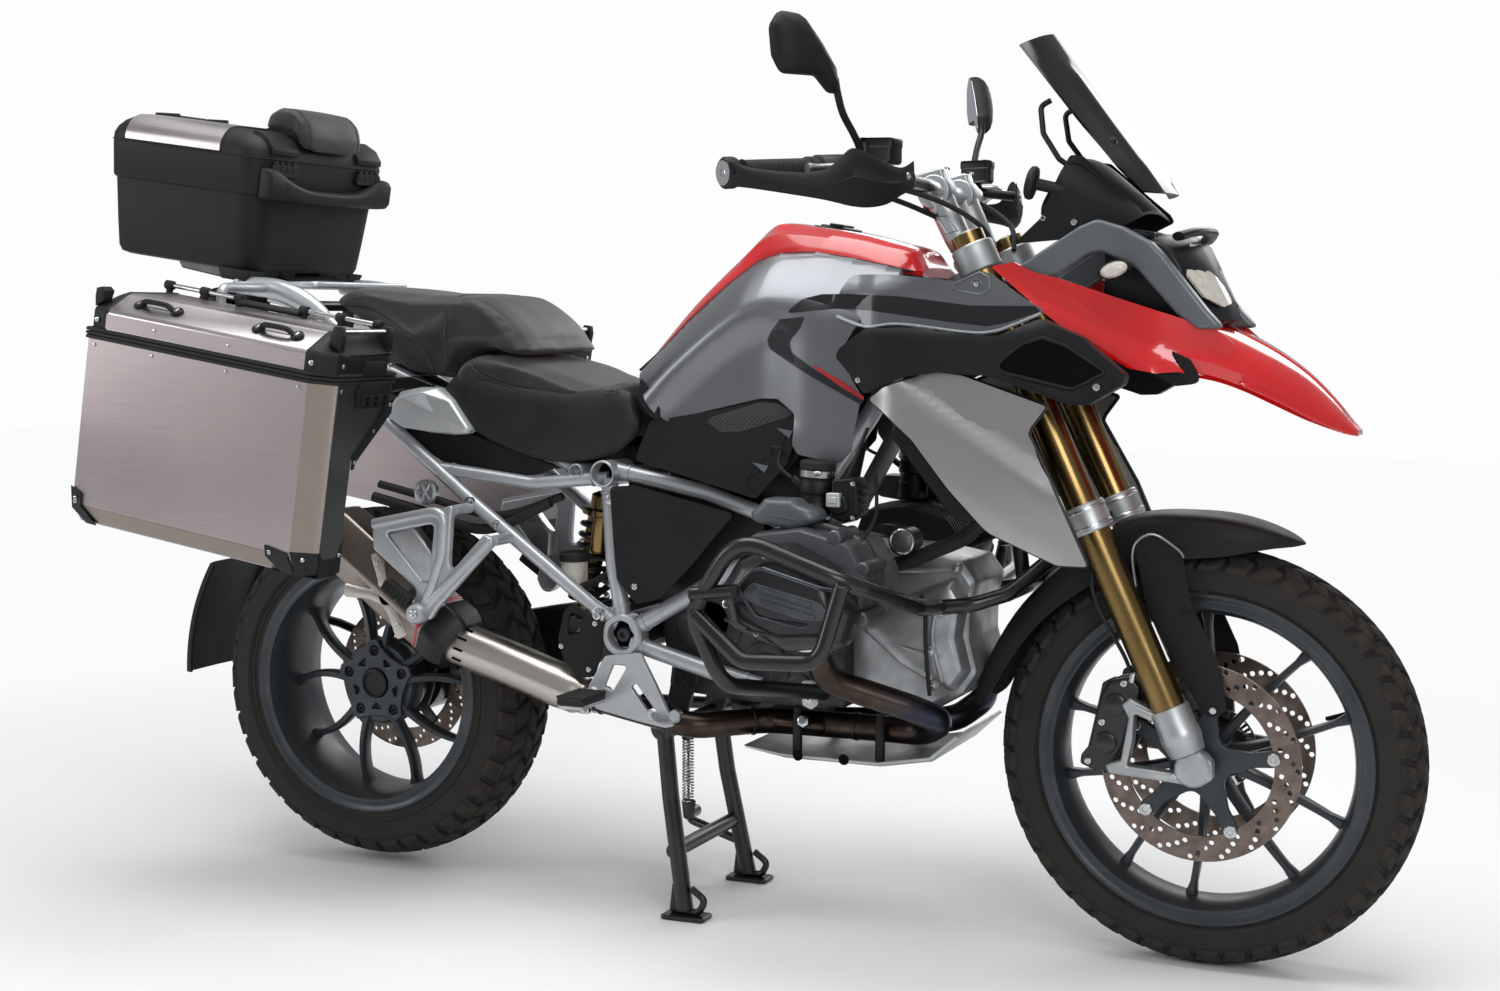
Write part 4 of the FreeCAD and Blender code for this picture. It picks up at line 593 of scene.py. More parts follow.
# stainless steel of the silencer, brushed along it and warmed by heat
SILENCER_STEEL = brushed("brushed_stainless", "#9c938b", "#857c75", 0.34, 0, 0.8, 60)
SHIELD_STEEL = brushed("satin_stainless_shield", "#b9b2ab", "#a59e97", 0.28, 0, 0.8, 60)
PIPE_STEEL = brushed("satin_stainless_pipe", "#c2bcb5", "#aba59e", 0.3, 0, 0.8, 60)


def heat_tinted():
    """Stainless header pipes: brown, then blue and straw bands where they run hottest."""
    made = finish("heat_tinted_header", "#4b4038", "#372e29", 0.32, metallic=0.95,
                  mm=(45, 1.2, 0.02))
    tree = made.node_tree
    shader = tree.nodes["Principled BSDF"]
    before = shader.inputs["Base Color"].links[0].from_socket
    place = node(tree, "ShaderNodeTexCoord").outputs["Object"]
    ahead = node(tree, "ShaderNodeSeparateXYZ", {"Vector": place}).outputs["X"]
    hot = node(tree, "ShaderNodeMapRange", {"Value": ahead, "From Min": 0.36,
                                            "From Max": 0.46}).outputs["Result"]
    patch = node(tree, "ShaderNodeTexNoise", {"Vector": place, "Scale": 14.0}).outputs["Fac"]
    amount = node(tree, "ShaderNodeMath", {0: hot, 1: patch}, operation="MULTIPLY").outputs[0]
    tree.links.new(blended(tree, amount, before, "#3d4a66"), shader.inputs["Base Color"])
    return made


HEADER_STEEL = heat_tinted()


def punched_mesh():
    """Punched vent mesh: small holes in black plastic, 6 mm apart, painted near-black as shade."""
    made = finish("punched_black_mesh", "#202122", "#262728", 0.5, mm=(60, 1.3, 0.0))
    tree = made.node_tree
    shader = tree.nodes["Principled BSDF"]
    place = node(tree, "ShaderNodeTexCoord").outputs["Object"]
    turned = node(tree, "ShaderNodeMapping", {"Vector": place, "Rotation": (0, math.pi / 4, 0),
                                              "Scale": (167, 167, 167)}).outputs["Vector"]
    holes = node(tree, "ShaderNodeTexVoronoi", {"Vector": turned, "Scale": 1.0,
                                                "Randomness": 0.0}, feature="F1")
    edge = node(tree, "ShaderNodeMapRange", {"Value": holes.outputs["Distance"],
                                             "From Min": 0.22, "From Max": 0.34})
    # painted shade in the holes, lighter plastic between them
    shade = blended(tree, edge.outputs["Result"], "#050505", "#2a2b2c")
    tree.links.new(shade, shader.inputs["Base Color"])
    bump = node(tree, "ShaderNodeBump", {"Height": edge.outputs["Result"], "Strength": 0.8,
                                         "Distance": 0.001})
    tree.links.new(bump.outputs["Normal"], shader.inputs["Normal"])
    return made


VENT_MESH = punched_mesh()

# The slot of each finish, where a piece names no other
SLOT_OF = {made: slot for slot, finishes in {
    "axle_steel": [STEEL], "bare_aluminium": [BLASTED_METAL, BARE_METAL],
    "black_plastic": [BLACK_PLASTIC, SATIN_BLACK, BAND_DARK, VENT_MESH, PAINTED_SHADE],
    "case_aluminium": [CASE_ALUMINIUM, LID_ALUMINIUM, CASE_SHADE, CASE_FRONT_SHADE],
    "case_black": [CASE_BLACK], "cast_grey": [CAST_GREY, CAST_LIGHT, CAST_DARK],
    "cover_black": [COVER_DARK, COVER_RIB], "disc_steel": [DISC_STEEL],
    "fork_gold": [FORK_GOLD], "frame_silver": [FRAME_SILVER], "grey_plastic": [GREY_PLASTIC],
    "grip_rubber": [SOFT_RUBBER], "header_steel": [HEADER_STEEL],
    "lamp_glass": [CLEAR_LENS, RED_LENS, REFLECTOR, MIRROR_GLASS],
    "panel_silver": [PANEL_SILVER], "rack_silver": [RAIL_PALE],
    "red_paint": [RED_PAINT, RED_STRIPE], "rim_grey": [RIM_GREY],
    "screen_black": [SCREEN_BLACK], "seat_vinyl": [SEAT_VINYL, SEAT_SIDE, THREAD],
    "silencer_steel": [PIPE_STEEL, SILENCER_STEEL, SHIELD_STEEL],
    "steel_black": [BLACK_STEEL], "tank_grey": [TANK_GREY],
    "tyre_rubber": [TYRE_RUBBER, TREAD_RUBBER]}.items() for made in finishes}

# Camera: where the photograph was taken from, in the same frame

YAW, PITCH, ROLL = math.radians(-23.91), math.radians(-4.95), math.radians(0.08)
camera_data = bpy.data.cameras.new("camera")
camera_data.lens, camera_data.sensor_width, camera_data.sensor_fit = 49.22, 36, "HORIZONTAL"
camera_data.clip_end = 60
camera = linked("camera", camera_data)
look = Vector((math.cos(PITCH) * math.sin(YAW), math.cos(PITCH) * math.cos(YAW), math.sin(PITCH)))
right = look.cross(Vector(UP)).normalized()
above = right.cross(look)
right_rolled = right * math.cos(ROLL) + above * math.sin(ROLL)
above_rolled = above * math.cos(ROLL) - right * math.sin(ROLL)
camera.matrix_world = Matrix.Translation((1.457, -3.151, 0.999)) @ Matrix(
    (right_rolled, above_rolled, -look)).transposed().to_4x4()
bpy.context.scene.camera = camera
bpy.context.scene.view_settings.view_transform = "Standard"

# Stage: a pale floor that fades into the pale background away from the machine

floor_mesh = bpy.data.meshes.new("floor")
floor_mesh.from_pydata([(-12, -12, 0), (12, -12, 0), (12, 12, 0), (-12, 12, 0)], [],
                       [[0, 1, 2, 3]])
floor = linked("floor", floor_mesh)
paper = bpy.data.materials.new("pale_floor_paper")
paper.use_nodes = True
tree = paper.node_tree
shader = tree.nodes["Principled BSDF"]
shader.inputs["Base Color"].default_value = colour("#f1f1f1")
shader.inputs["Roughness"].default_value = 0.6
shader.inputs["Specular IOR Level"].default_value = 0.2
spot = node(tree, "ShaderNodeMapping", {
    "Vector": node(tree, "ShaderNodeTexCoord").outputs["Object"], "Scale": (0.36, 0.36, 1)})
far = node(tree, "ShaderNodeVectorMath", {0: spot.outputs["Vector"]}, operation="LENGTH")
fade = node(tree, "ShaderNodeMapRange", {"Value": far.outputs["Value"], "From Min": 0.42,
                                         "From Max": 1.1}, interpolation_type="SMOOTHSTEP")
seen = node(tree, "ShaderNodeMath", {
    0: fade.outputs["Result"], 1: node(tree, "ShaderNodeLightPath").outputs["Is Camera Ray"]},
    operation="MULTIPLY")
white = node(tree, "ShaderNodeEmission", {"Color": colour("#fbfbfb"), "Strength": 1.0})
both = node(tree, "ShaderNodeMixShader", {0: seen.outputs[0], 1: shader.outputs[0],
                                          2: white.outputs[0]})
tree.links.new(both.outputs[0], tree.nodes["Material Output"].inputs["Surface"])
floor_mesh.materials.append(paper)

world = bpy.data.worlds.new("studio")
bpy.context.scene.world = world
world.use_nodes = True
tree = world.node_tree
path = node(tree, "ShaderNodeLightPath")
shown = node(tree, "ShaderNodeMath", {0: path.outputs["Is Camera Ray"],
                                      1: path.outputs["Is Transmission Ray"]}, operation="MAXIMUM")
room = node(tree, "ShaderNodeBackground", {"Color": colour("#eef0f4"), "Strength": 0.42})
backdrop = node(tree, "ShaderNodeBackground", {"Color": colour("#fdfdfd"), "Strength": 1.0})
mixed = node(tree, "ShaderNodeMixShader", {0: shown.outputs[0], 1: room.outputs[0],
                                           2: backdrop.outputs[0]})
tree.links.new(mixed.outputs[0], tree.nodes["World Output"].inputs["Surface"])


def soft_lamp(name, place, aim, wide, watts):
    lamp = bpy.data.lights.new(name, "AREA")
    lamp.shape, lamp.size, lamp.size_y, lamp.energy = "RECTANGLE", wide[0], wide[1], watts
    holder = linked(name, lamp)
    holder.location = place
    holder.rotation_euler = (Vector(aim) - Vector(place)).to_track_quat("-Z", "Y").to_euler()


soft_lamp("overhead", (0.0, -0.3, 3.4), (0, 0, 0.5), (3.4, 2.2), 95)
soft_lamp("front_left", (2.6, -3.4, 2.2), (0.2, 0, 0.6), (1.8, 1.8), 55)
soft_lamp("rear_right", (-3.4, -2.4, 1.8), (-0.4, 0, 0.6), (1.6, 1.8), 35)
soft_lamp("behind", (0.5, 3.2, 2.4), (0, 0, 0.7), (3.0, 1.4), 40)


# Wheels and tyres

def around(centre, angle, radius, y):
    """Point on a wheel: angle 0 is ahead of the axle and 90 degrees above it."""
    a = math.radians(angle)
    return (centre[0] + radius * math.cos(a), y, centre[2] + radius * math.sin(a))


def crown(y, top, half, drop):
    """Radius of the tread at a distance y from the tyre's middle."""
    return top - drop * (abs(y) / half) ** 2.2


LUG_DEPTH = 9.0


def tread_lug(centre, angle, long_mm, y0, y1, top, half, drop, skew):
    """One moulded lug: its flanks lean and its upper edge is worn round."""
    middle = math.degrees(long_mm / 2 / top)
    across = [y0 + (y1 - y0) * k / 3 for k in range(4)]
    levels = []
    for sink, shrink in ((LUG_DEPTH, 1.0), (1.6, 0.95), (0.4, 0.9), (0.0, 0.8)):
        ring = []
        for side, order in ((-1, across), (1, list(reversed(across)))):
            for y in order:
                share = (y - y0) / (y1 - y0)
                lean = skew * (share - 0.5)
                wide = (y0 + y1) / 2 + (y - (y0 + y1) / 2) * (shrink * 0.5 + 0.5)
                ring.append(around(centre, angle + lean + side * middle * shrink,
                                   crown(y, top, half, drop) - sink, wide))
        levels.append(ring)
    points, faces = rings(levels)
    faces = [face for face in faces if len(face) == 4 or face[0] != len(across) * 2 - 1]
    return points, faces


def tyre(name, body, node_name, centre, top, half, seat, bead_y, drop, rows, pitches):
    """Carcass with ribbed walls, and lugs in rows. A row is (y0, y1, length, offset, skew)."""
    base = top - LUG_DEPTH + 0.5
    profile = []
    for k in range(-10, 11):
        y = half * 0.93 * k / 10
        profile.append((crown(y, base, half, drop), y))
    wall = [(base - drop * 1.05, half * 0.985), (base - drop - 12, half),
            (base - drop - 24, half * 0.995), (base - drop - 25.5, half * 1.005),
            (base - drop - 29, half * 1.003), (base - drop - 30.5, half * 0.985),
            (seat + 30, half * 0.93), (seat + 29, half * 0.945), (seat + 25, half * 0.935),
            (seat + 24, half * 0.91), (seat + 15, bead_y + 3), (seat + 9, bead_y - 1),
            (seat, bead_y - 4)]
    right = [(r, -y) for r, y in reversed(wall)]
    whole = right + profile + wall
    inner = [(r - 9, y * 0.86) for r, y in reversed(whole)]
    carcass = open_rings(lathe(whole + inner + [whole[0]], centre, LEFT, 144))
    piece(name + "_carcass", carcass, TYRE_RUBBER, body, stands_for=node_name, weld=True)
    lugs = []
    for number in range(pitches):
        angle = 360 * number / pitches
        for y0, y1, long_mm, offset, skew in rows:
            for side in (-1, 1):
                low, high = sorted((y0 * side, y1 * side))
                lugs.append(tread_lug(
                    centre, angle + (offset + (0.5 if side > 0 else 0)) * 360 / pitches, long_mm,
                    low, high, top, half, drop, skew * side))
    piece(name + "_lugs", merge(*lugs), TREAD_RUBBER, body)


tyre("front_tyre", "front_wheel", "front_tyre", FRONT_AXLE, 326, 59, 243, 46, 25,
     [(1.5, 20, 33, 0.0, 3.0), (23, 39, 30, 0.3, -2.2), (42, 58, 34, 0.05, 1.5)], 45)
tyre("rear_tyre", "rear_wheel", "rear_tyre", REAR_AXLE, 320, 85, 217, 75, 30,
     [(2, 25, 38, 0.0, 3.0), (29, 53, 36, 0.3, -3.0), (57, 83, 38, 0.05, 1.6)], 40)


def wheel_barrel(name, body, node_name, centre, seat, half):
    """Rim barrel: rolled lips, a stepped outer face and a smooth well."""
    lip = [(seat + 14, half + 1), (seat + 15, half + 4), (seat + 13, half + 6.5),
           (seat + 8, half + 6.5), (seat + 5, half + 3.5), (seat - 1, half + 3),
           (seat - 4, half + 5), (seat - 9, half + 4), (seat - 11, half - 2),
           (seat - 15, half - 8), (seat - 20, half * 0.45), (seat - 22, 0)]
    well = [(seat - 4, 0), (seat - 3, half * 0.5), (seat + 1, half - 8), (seat + 1, half - 1)]
    right = [(r, -y) for r, y in lip]
    left = [(r, y) for r, y in reversed(lip[:-1])]
    back = [(r, y) for r, y in reversed(well)] + [(r, -y) for r, y in well[1:]]
    profile = right + left + back + [right[0]]
    barrel = open_rings(lathe(profile, centre, LEFT, 120))
    piece(name, barrel, RIM_GREY, body, stands_for=node_name, weld=True, crease=50)


def spoke(centre, angle_in, angle_out, r_in, r_out, y_in, y_out, wide_in, wide_out, deep_in,
          deep_out, bow=0.0):
    """Cast spoke with a rib along its outer edge, flared where it meets hub and rim."""
    sections = []
    steps = 9
    for k in range(steps + 1):
        t = k / steps
        radius = r_in + (r_out - r_in) * t
        angle = angle_in + (angle_out - angle_in) * t + bow * math.sin(math.pi * t)
        flare = 1 + 0.55 * max(0, 1 - t * 7) + 0.9 * max(0, (t - 0.86) / 0.14) ** 2
        wide = (wide_in + (wide_out - wide_in) * t) * flare / 2
        deep = (deep_in + (deep_out - deep_in) * t) / 2
        y = y_in + (y_out - y_in) * t
        a = math.radians(angle)
        out = Vector((math.cos(a), 0, math.sin(a)))
        across = Vector((-math.sin(a), 0, math.cos(a)))
        middle = Vector(centre) + out * radius
        ring = []
        for u, v in ((-0.55, -1), (0.55, -1), (0.85, -0.72), (1, -0.3), (0.8, 0.7), (0.5, 1),
                     (-0.5, 1), (-0.8, 0.7), (-1, -0.3), (-0.85, -0.72)):
            ring.append(middle + across * (u * wide) + Vector((0, y + v * deep, 0)))
        sections.append(ring)
    return rings(sections)


# front wheel: five pairs of slim spokes
wheel_barrel("front_rim_barrel", "front_wheel", "front_rim", FRONT_AXLE, 243, 46)
slim = []
for k in range(5):
    axis_angle = 34 + SPOKE_PITCH * k
    for lean in (-1, 1):
        slim.append(spoke(FRONT_AXLE, axis_angle + lean * 19, axis_angle + lean * 14.5, 30, 224, 0,
                          0, 17, 11, 46, 24))
piece("front_spokes", merge(*slim), RIM_GREY, "front_wheel", crease=40)
hub_profile = [(13, -57), (30, -57), (34, -54), (36, -44), (33, -38), (37, -20), (40, 0), (37, 20),
               (33, 38), (36, 44), (34, 54), (30, 57), (13, 57)]
piece("front_hub", lathe(hub_profile, FRONT_AXLE, LEFT, 40), RIM_GREY, "front_wheel")
valve = sweep([around(FRONT_AXLE, 21, 221, 4), around(FRONT_AXLE, 21, 200, 12),
               around(FRONT_AXLE, 21, 186, 20)], [4.5, 4, 3.5], 10)
piece("front_valve", valve, SOFT_RUBBER, "front_wheel", slot="tyre_rubber")


def drilled_ring(outer, inner, hole, rows, places, y0, y1, centre):
    """Brake disc: ring with drilled holes in slanting rows."""
    outlines = [circle(outer, steps=144), circle(inner, steps=96)]
    for k, a in enumerate(turns(places)):
        outlines.append(circle(hole, polar(rows[k % len(rows)], a), 10))
    return at_wheel(plate(outlines, y0, y1, 0.5, edge_steps=1), centre)


def star_carrier(centre, arms, hub_r, reach, wide_in, wide_out, y0, y1, first):
    """Carrier of a disc: arms that spread from the hub, hollowed between."""
    outline = []
    for k in range(arms):
        a = math.radians(first + 360 * k / arms)
        step = math.radians(180 / arms)
        out, across = out_and_across(a)
        outline += [tuple(out * hub_r * 1.02 - across * wide_in / 2) + (6,),
                    tuple(out * (reach * 0.72) - across * wide_out * 0.42) + (20,),
                    tuple(out * reach - across * wide_out / 2) + (6,),
                    tuple(out * (reach + 6)) + (8,),
                    tuple(out * reach + across * wide_out / 2) + (6,),
                    tuple(out * (reach * 0.72) + across * wide_out * 0.42) + (20,),
                    tuple(out * hub_r * 1.02 + across * wide_in / 2) + (6,),
                    (*polar(hub_r, a + step), 14)]
    return at_wheel(plate([rounded(outline, 6, 3)], y0, y1, 2.2), centre)


for label, side in SIDES:
    low, high = sorted((64 * side, 69 * side))
    piece(label + "_front_disc",
          drilled_ring(152, 112, 4.2, (146, 139, 131, 123), 76, low, high, FRONT_AXLE), DISC_STEEL,
          "front_wheel", stands_for="front_brake_discs" if side < 0 else ())
    low, high = sorted((60 * side, 72 * side))
    arms = [star_carrier(FRONT_AXLE, 5, 44, 112, 40, 26, low, high, 8)]
    piece(label + "_disc_carrier", merge(*arms), RIM_GREY, "front_wheel")
    buttons = []
    ears = []
    for k in range(5):
        place = around(FRONT_AXLE, 8 + SPOKE_PITCH * k, 112, 72 * side)
        buttons.append(lathe([(10, 0), (10, 2.5), (8, 4), (5, 4), (4, 2.5), (0.01, 2.5)], place,
                             (0, side, 0), 20))
        a = 8 + SPOKE_PITCH * k
        corners = [around(FRONT_AXLE, a - 8, 118, 0), around(FRONT_AXLE, a - 3.5, 101, 0),
                   around(FRONT_AXLE, a + 3.5, 101, 0), around(FRONT_AXLE, a + 8, 118, 0)]
        low, high = sorted((64.5 * side, 68.5 * side))
        ears.append(plate(rounded([(x, z) for x, y, z in corners], 4), low, high, 0.6))
    piece(label + "_disc_buttons", merge(*buttons), STEEL, "front_wheel", slot="disc_steel")
    piece(label + "_disc_ears", merge(*ears), DISC_STEEL, "front_wheel")
teeth = [circle(66, steps=96), circle(50, steps=60)]
for a in turns(48):
    out, across = out_and_across(a)
    teeth.append([tuple(out * r + across * w)
                  for r, w in ((53, -1.3), (63, -1.6), (63, 1.6), (53, 1.3))])
sensor_ring = plate(teeth, 50, 52, 0.3, edge_steps=1)
piece("speed_sensor_ring", at_wheel(sensor_ring, FRONT_AXLE), STEEL, "front_wheel",
      slot="disc_steel")

# rear wheel: a five-lobed hub with bolts, and five pairs of bowed spokes
wheel_barrel("rear_rim_barrel", "rear_wheel", "rear_rim", REAR_AXLE, 217, 75)
bowed = []
for k in range(5):
    lobe = 20 + SPOKE_PITCH * k
    for lean in (-1, 1):
        bowed.append(spoke(REAR_AXLE, lobe + lean * 12, lobe + lean * 21, 60, 198, -26, 2, 17, 12,
                           26, 30, bow=lean * -3.0))
piece("rear_spokes", merge(*bowed), RIM_GREY, "rear_wheel", crease=40)
lobes = []
for k in range(5):
    a = math.radians(20 + SPOKE_PITCH * k)
    step = math.radians(36)
    out, across = out_and_across(a)
    lobes += [tuple(out * 68 - across * 15) + (8,), tuple(out * 80 - across * 9) + (6,),
              tuple(out * 80 + across * 9) + (6,), tuple(out * 68 + across * 15) + (8,),
              (*polar(60, a + step), 14)]
holes = []
for k in range(5):
    a = math.radians(20 + SPOKE_PITCH * k)
    holes.append(circle(9.5, polar(60, a), 18))
    b = a + math.radians(36)
    corners = [polar(50, b - 0.26), polar(50, b + 0.26), polar(36, b)]
    holes.append(list(reversed(rounded(corners, 3))))


hub_face = plate([rounded(lobes, 8, 4), circle(27, steps=36)] + holes, -44, -24, 2.5)
hub_floor = lathe([(26, -34), (72, -34), (78, -26), (80, -6), (70, 20), (60, 42), (26, 42)],
                  REAR_AXLE, LEFT, 48)
piece("rear_hub", merge(at_wheel(hub_face, REAR_AXLE), hub_floor), RIM_GREY, "rear_wheel")
bolts = [screw(around(REAR_AXLE, 20 + SPOKE_PITCH * k, 60, -36), RIGHT, 7, 5) for k in range(5)]
piece("rear_wheel_bolts", merge(*bolts), SATIN_BLACK, "rear_wheel", slot="rim_grey")
cap = lathe([(26.5, -40), (26, -47), (23, -48.5), (22, -45), (14, -44), (0.01, -44)], REAR_AXLE,
            LEFT, 36)
piece("rear_hub_cap", cap, SATIN_BLACK, "rear_wheel", slot="rim_grey")
piece("rear_disc", drilled_ring(138, 100, 3.6, (132, 125, 118, 110), 68, 52, 57, REAR_AXLE),
      DISC_STEEL, "rear_wheel", stands_for="rear_brake_disc")
piece("rear_disc_carrier", star_carrier(REAR_AXLE, 5, 70, 102, 30, 22, 46, 53, 20), RIM_GREY,
      "rear_wheel")


# Fork: gold tubes, cast feet, calipers, bridges and mudguard

def fork_side(y):
    low, up = Vector(along_fork(92, y)), Vector(along_fork(881, y))
    axis = up - low
    return lathe([(26, 0), (26, axis.length)], low, axis, 40)


piece("fork_stanchions", merge(fork_side(-FORK_OUT), fork_side(FORK_OUT)), FORK_GOLD, "steering",
      stands_for="fork_tubes")
lean_axis = Vector(along_fork(1)) - Vector(along_fork(0))


def fork_foot():
    sleeve = lathe([(20, 0), (27, 4), (30, 22), (31.5, 26), (31.5, 40), (30.5, 42), (30.5, 74),
                    (29.5, 77), (26.2, 77)], along_fork(20, -FORK_OUT), lean_axis, 36)
    arm = [(-110, 416, 4), (-98, 427, 4), (-44, 402, 10), (-20, 362, 8), (10, 354, 12),
           (29, 338, 10), (29, 312, 10), (10, 299, 10), (-24, 302, 8), (-128, 308, 5),
           (-134, 321, 4), (-110, 330, 3), (-99, 396, 4)]
    window = [(-90, 403, 3), (-54, 389, 6), (-34, 352, 8), (-22, 332, 8), (-30, 318, 8),
              (-100, 322, 4), (-92, 360, 3)]
    casting = plate([rounded(arm, 5), list(reversed(rounded(window, 4)))], -119, -94, 4)
    boss = lathe([(12.5, 0), (24, 0), (27, 3), (27, 36), (24, 39), (12.5, 39)],
                 (0, -86, FRONT_AXLE[2]), RIGHT, 36)
    rib = sweep([(-40, -119, 396), (-88, -118, 414)], 4, 8)
    pinch = merge(screw((-28, -119.5, 314), RIGHT, 6, 4), screw((6, -119.5, 309), RIGHT, 5, 4))
    return merge(sleeve, casting, boss, rib), pinch


foot, pinch = fork_foot()
both_sides("fork_foot", foot, BLASTED_METAL, "steering", stands_for="fork_feet")
both_sides("pinch_screws", pinch, STEEL, "steering")
hexagon = circle(8.5, steps=6)
axle_end = plate([circle(12.4, steps=32), list(reversed(hexagon))], -123, -112, 0.8)
axle_shape = merge(at_wheel(axle_end, FRONT_AXLE),
                   lathe([(12.4, -112), (12.4, 122), (9, 124), (0.01, 124)], FRONT_AXLE, LEFT, 32))
piece("front_axle_bolt", axle_shape, STEEL, "steering", stands_for="front_axle")

CALIPER_BODY = [(-134, 447, 6), (-100, 457, 6), (-84, 440, 8), (-98, 392, 10), (-108, 356, 10),
                (-128, 313, 6), (-152, 306, 8), (-178, 316, 6), (-176, 330, 8), (-162, 348, 8),
                (-154, 392, 10), (-146, 426, 8)]
caliper = [plate(rounded(CALIPER_BODY, 7), -101, -75, 5),
           plate(rounded([(x + 2, z) for x, z, *r in CALIPER_BODY], 7), -58, -38, 4),
           plate(rounded([(-150, 440), (-128, 452), (-148, 322), (-174, 326), (-160, 392)], 5),
                 -76, -57, 2)]
for x, z, r in ((-124, 412, 18), (-138, 352, 18)):
    caliper.append(lathe([(r, 0), (r * 0.94, 3.5), (r * 0.8, 5), (0.01, 5.5)], (x, -100.5, z),
                         RIGHT, 24))
both_sides("front_caliper", merge(*caliper), COVER_DARK, "steering", stands_for="front_calipers",
           crease=40)
bolts = [screw((x, -101, z), RIGHT, 6, 5) for x, z in ((-110, 446), (-164, 322), (-143, 384))]
bolts.append(sweep([(-100, -98, 448), (-97, -98, 462)], 5, 8))
both_sides("caliper_bolts", merge(*bolts), STEEL, "steering")
hose = flowing([(-99, -98, 458), (-112, -100, 490), (-142, -108, 545), (-160, -108, 590),
                (-160, -104, 640), (-180, -70, 690)], 6)
both_sides("brake_hose", sweep(hose, 3.2, 10), SOFT_RUBBER, "steering")


def clamp_ring(at, y):
    """Clamp of a fork bridge: a ring with chamfered edges."""
    high, out = 44, 33.5
    return lathe([(26.1, 0), (out - 2, 0), (out, 2.5), (out, high - 2.5), (out - 2, high),
                  (26.1, high)], along_fork(at, y), lean_axis, 40)


axis_low = Vector((steer_x(648), 0, 648))
steer_axis = Vector((-math.sin(RAKE), 0, math.cos(RAKE)))
lower = [clamp_ring(385, y) for y in (-FORK_OUT, FORK_OUT)]
lower_beam = [along_fork(410, y, -24 if abs(y) > 60 else -34) for y in (-96, -60, 0, 60, 96)]
lower.append(sweep(flowing(lower_beam, 5), 14, 14, up=lean_axis))
lower.append(lathe([(15, 0), (26, 0), (27, 3), (27, 33), (26, 36), (15, 36)], axis_low, steer_axis,
                   32))
upper = [clamp_ring(818, y) for y in (-FORK_OUT, FORK_OUT)]
for y in (-FORK_OUT, FORK_OUT):
    upper.append(lathe([(26, 0), (24, 2), (14, 2.4), (13, 5), (0.01, 5)], along_fork(880, y),
                       lean_axis, 36))
upper_beam = [along_fork(845, y, -22 if abs(y) > 60 else -30) for y in (-98, -60, 0, 60, 98)]
upper.append(sweep(flowing(upper_beam, 5), 14, 14, up=lean_axis, wide=1.3))
piece("lower_fork_bridge", merge(*lower), BLASTED_METAL, "steering", stands_for="fork_bridges")
piece("upper_fork_bridge", merge(*upper), BLASTED_METAL, "steering")
ring_marks = [lathe([(33.6, 0), (34.4, 1), (34.4, 4), (33.6, 5)], along_fork(at, y), lean_axis, 36)
              for at in (391, 418) for y in (-FORK_OUT, FORK_OUT)]
piece("clamp_ring_beads", merge(*ring_marks), BARE_METAL, "steering")

# front mudguard: (angle, crown radius, skirt radius, half width) about the axle
FENDER = [(67.5, 364, 361, 5), (69.5, 366.5, 354, 26), (73, 369.5, 345, 46), (78, 373, 332, 60),
          (85, 377, 318, 70), (95, 381, 312, 75), (104, 388, 312, 76), (110, 386, 313, 75),
          (118, 374, 313, 73), (130, 367, 316, 70), (142, 368, 322, 68), (156, 369.5, 331, 64),
          (167, 374, 345, 58), (170.5, 376, 360, 50)]


def arch(angle, top, skirt, half, shrink=0.0):
    ring = []
    for u, v in ((-1, 0), (-0.99, 0.35), (-0.95, 0.72), (-0.84, 0.88), (-0.55, 0.96),
                 (-0.2, 0.985), (0, 1), (0.2, 0.985), (0.55, 0.96), (0.84, 0.88), (0.95, 0.72),
                 (0.99, 0.35), (1, 0)):
        r = skirt + (top - shrink - skirt) * v
        ring.append(around(FRONT_AXLE, angle, r, u * max(half - shrink, half * 0.5)))
    return ring


fine_fender = flowing(FENDER, 4)
skins = []
for row in fine_fender:
    skins.append(arch(*row) + list(reversed(arch(*row, shrink=3.5))))
piece("front_mudguard_shell", rings(skins), BLACK_PLASTIC, "steering", stands_for="front_mudguard",
      crease=50)
SHIELD = [(-96, 628, 10), (-110, 668, 16), (-70, 672, 20), (-30, 648, 20), (-16, 576, 60),
          (26, 488, 30), (42, 412, 12), (20, 398, 14), (4, 408, 14), (-40, 482, 60),
          (-82, 560, 40)]


def shield_face(x, z):
    along = (z - 400) / 270
    crease = abs((x + 30) + (z - 520) * 0.42)
    return -84 + 0.06 * min(crease, 40) - 3 * math.sin(math.pi * min(max(along, 0), 1))


shield = shell(rounded(SHIELD, 10), shield_face, 3, 3, 16)
both_sides("fork_shield", shield, BLACK_PLASTIC, "steering", crease=50)
trim = [(-98, -86.5, 592), (-104, -88, 640), (-96, -88.5, 664), (-70, -88.5, 674), (-34, -88, 652),
        (-26, -87.5, 640)]
both_sides("shield_trim", sweep(flowing(trim, 5), [3] + [5] * 24 + [3], 8, wide=0.5, up=LEFT),
           PANEL_SILVER, "steering")
leaf = [(-30, -88, 560), (-14, -88.5, 556), (4, -88, 572), (8, -87.5, 590), (-8, -88.3, 588),
        (-24, -88.5, 576)]
both_sides("shield_crease", sweep(flowing(leaf + leaf[:1], 5), 1.1, 6), SATIN_BLACK, "steering")
both_sides("shield_screw", screw((22, -87, 412), RIGHT, 6, 3), STEEL, "steering")

# Tank: grey sides that roll inwards to a raised red top
TANK_LINE = [(-945, 905), (-888, 952), (-842, 996), (-801, 1031), (-762, 1062), (-720, 1090),
             (-680, 1103), (-618, 1104), (-547, 1092), (-471, 1076), (-440, 1070)]


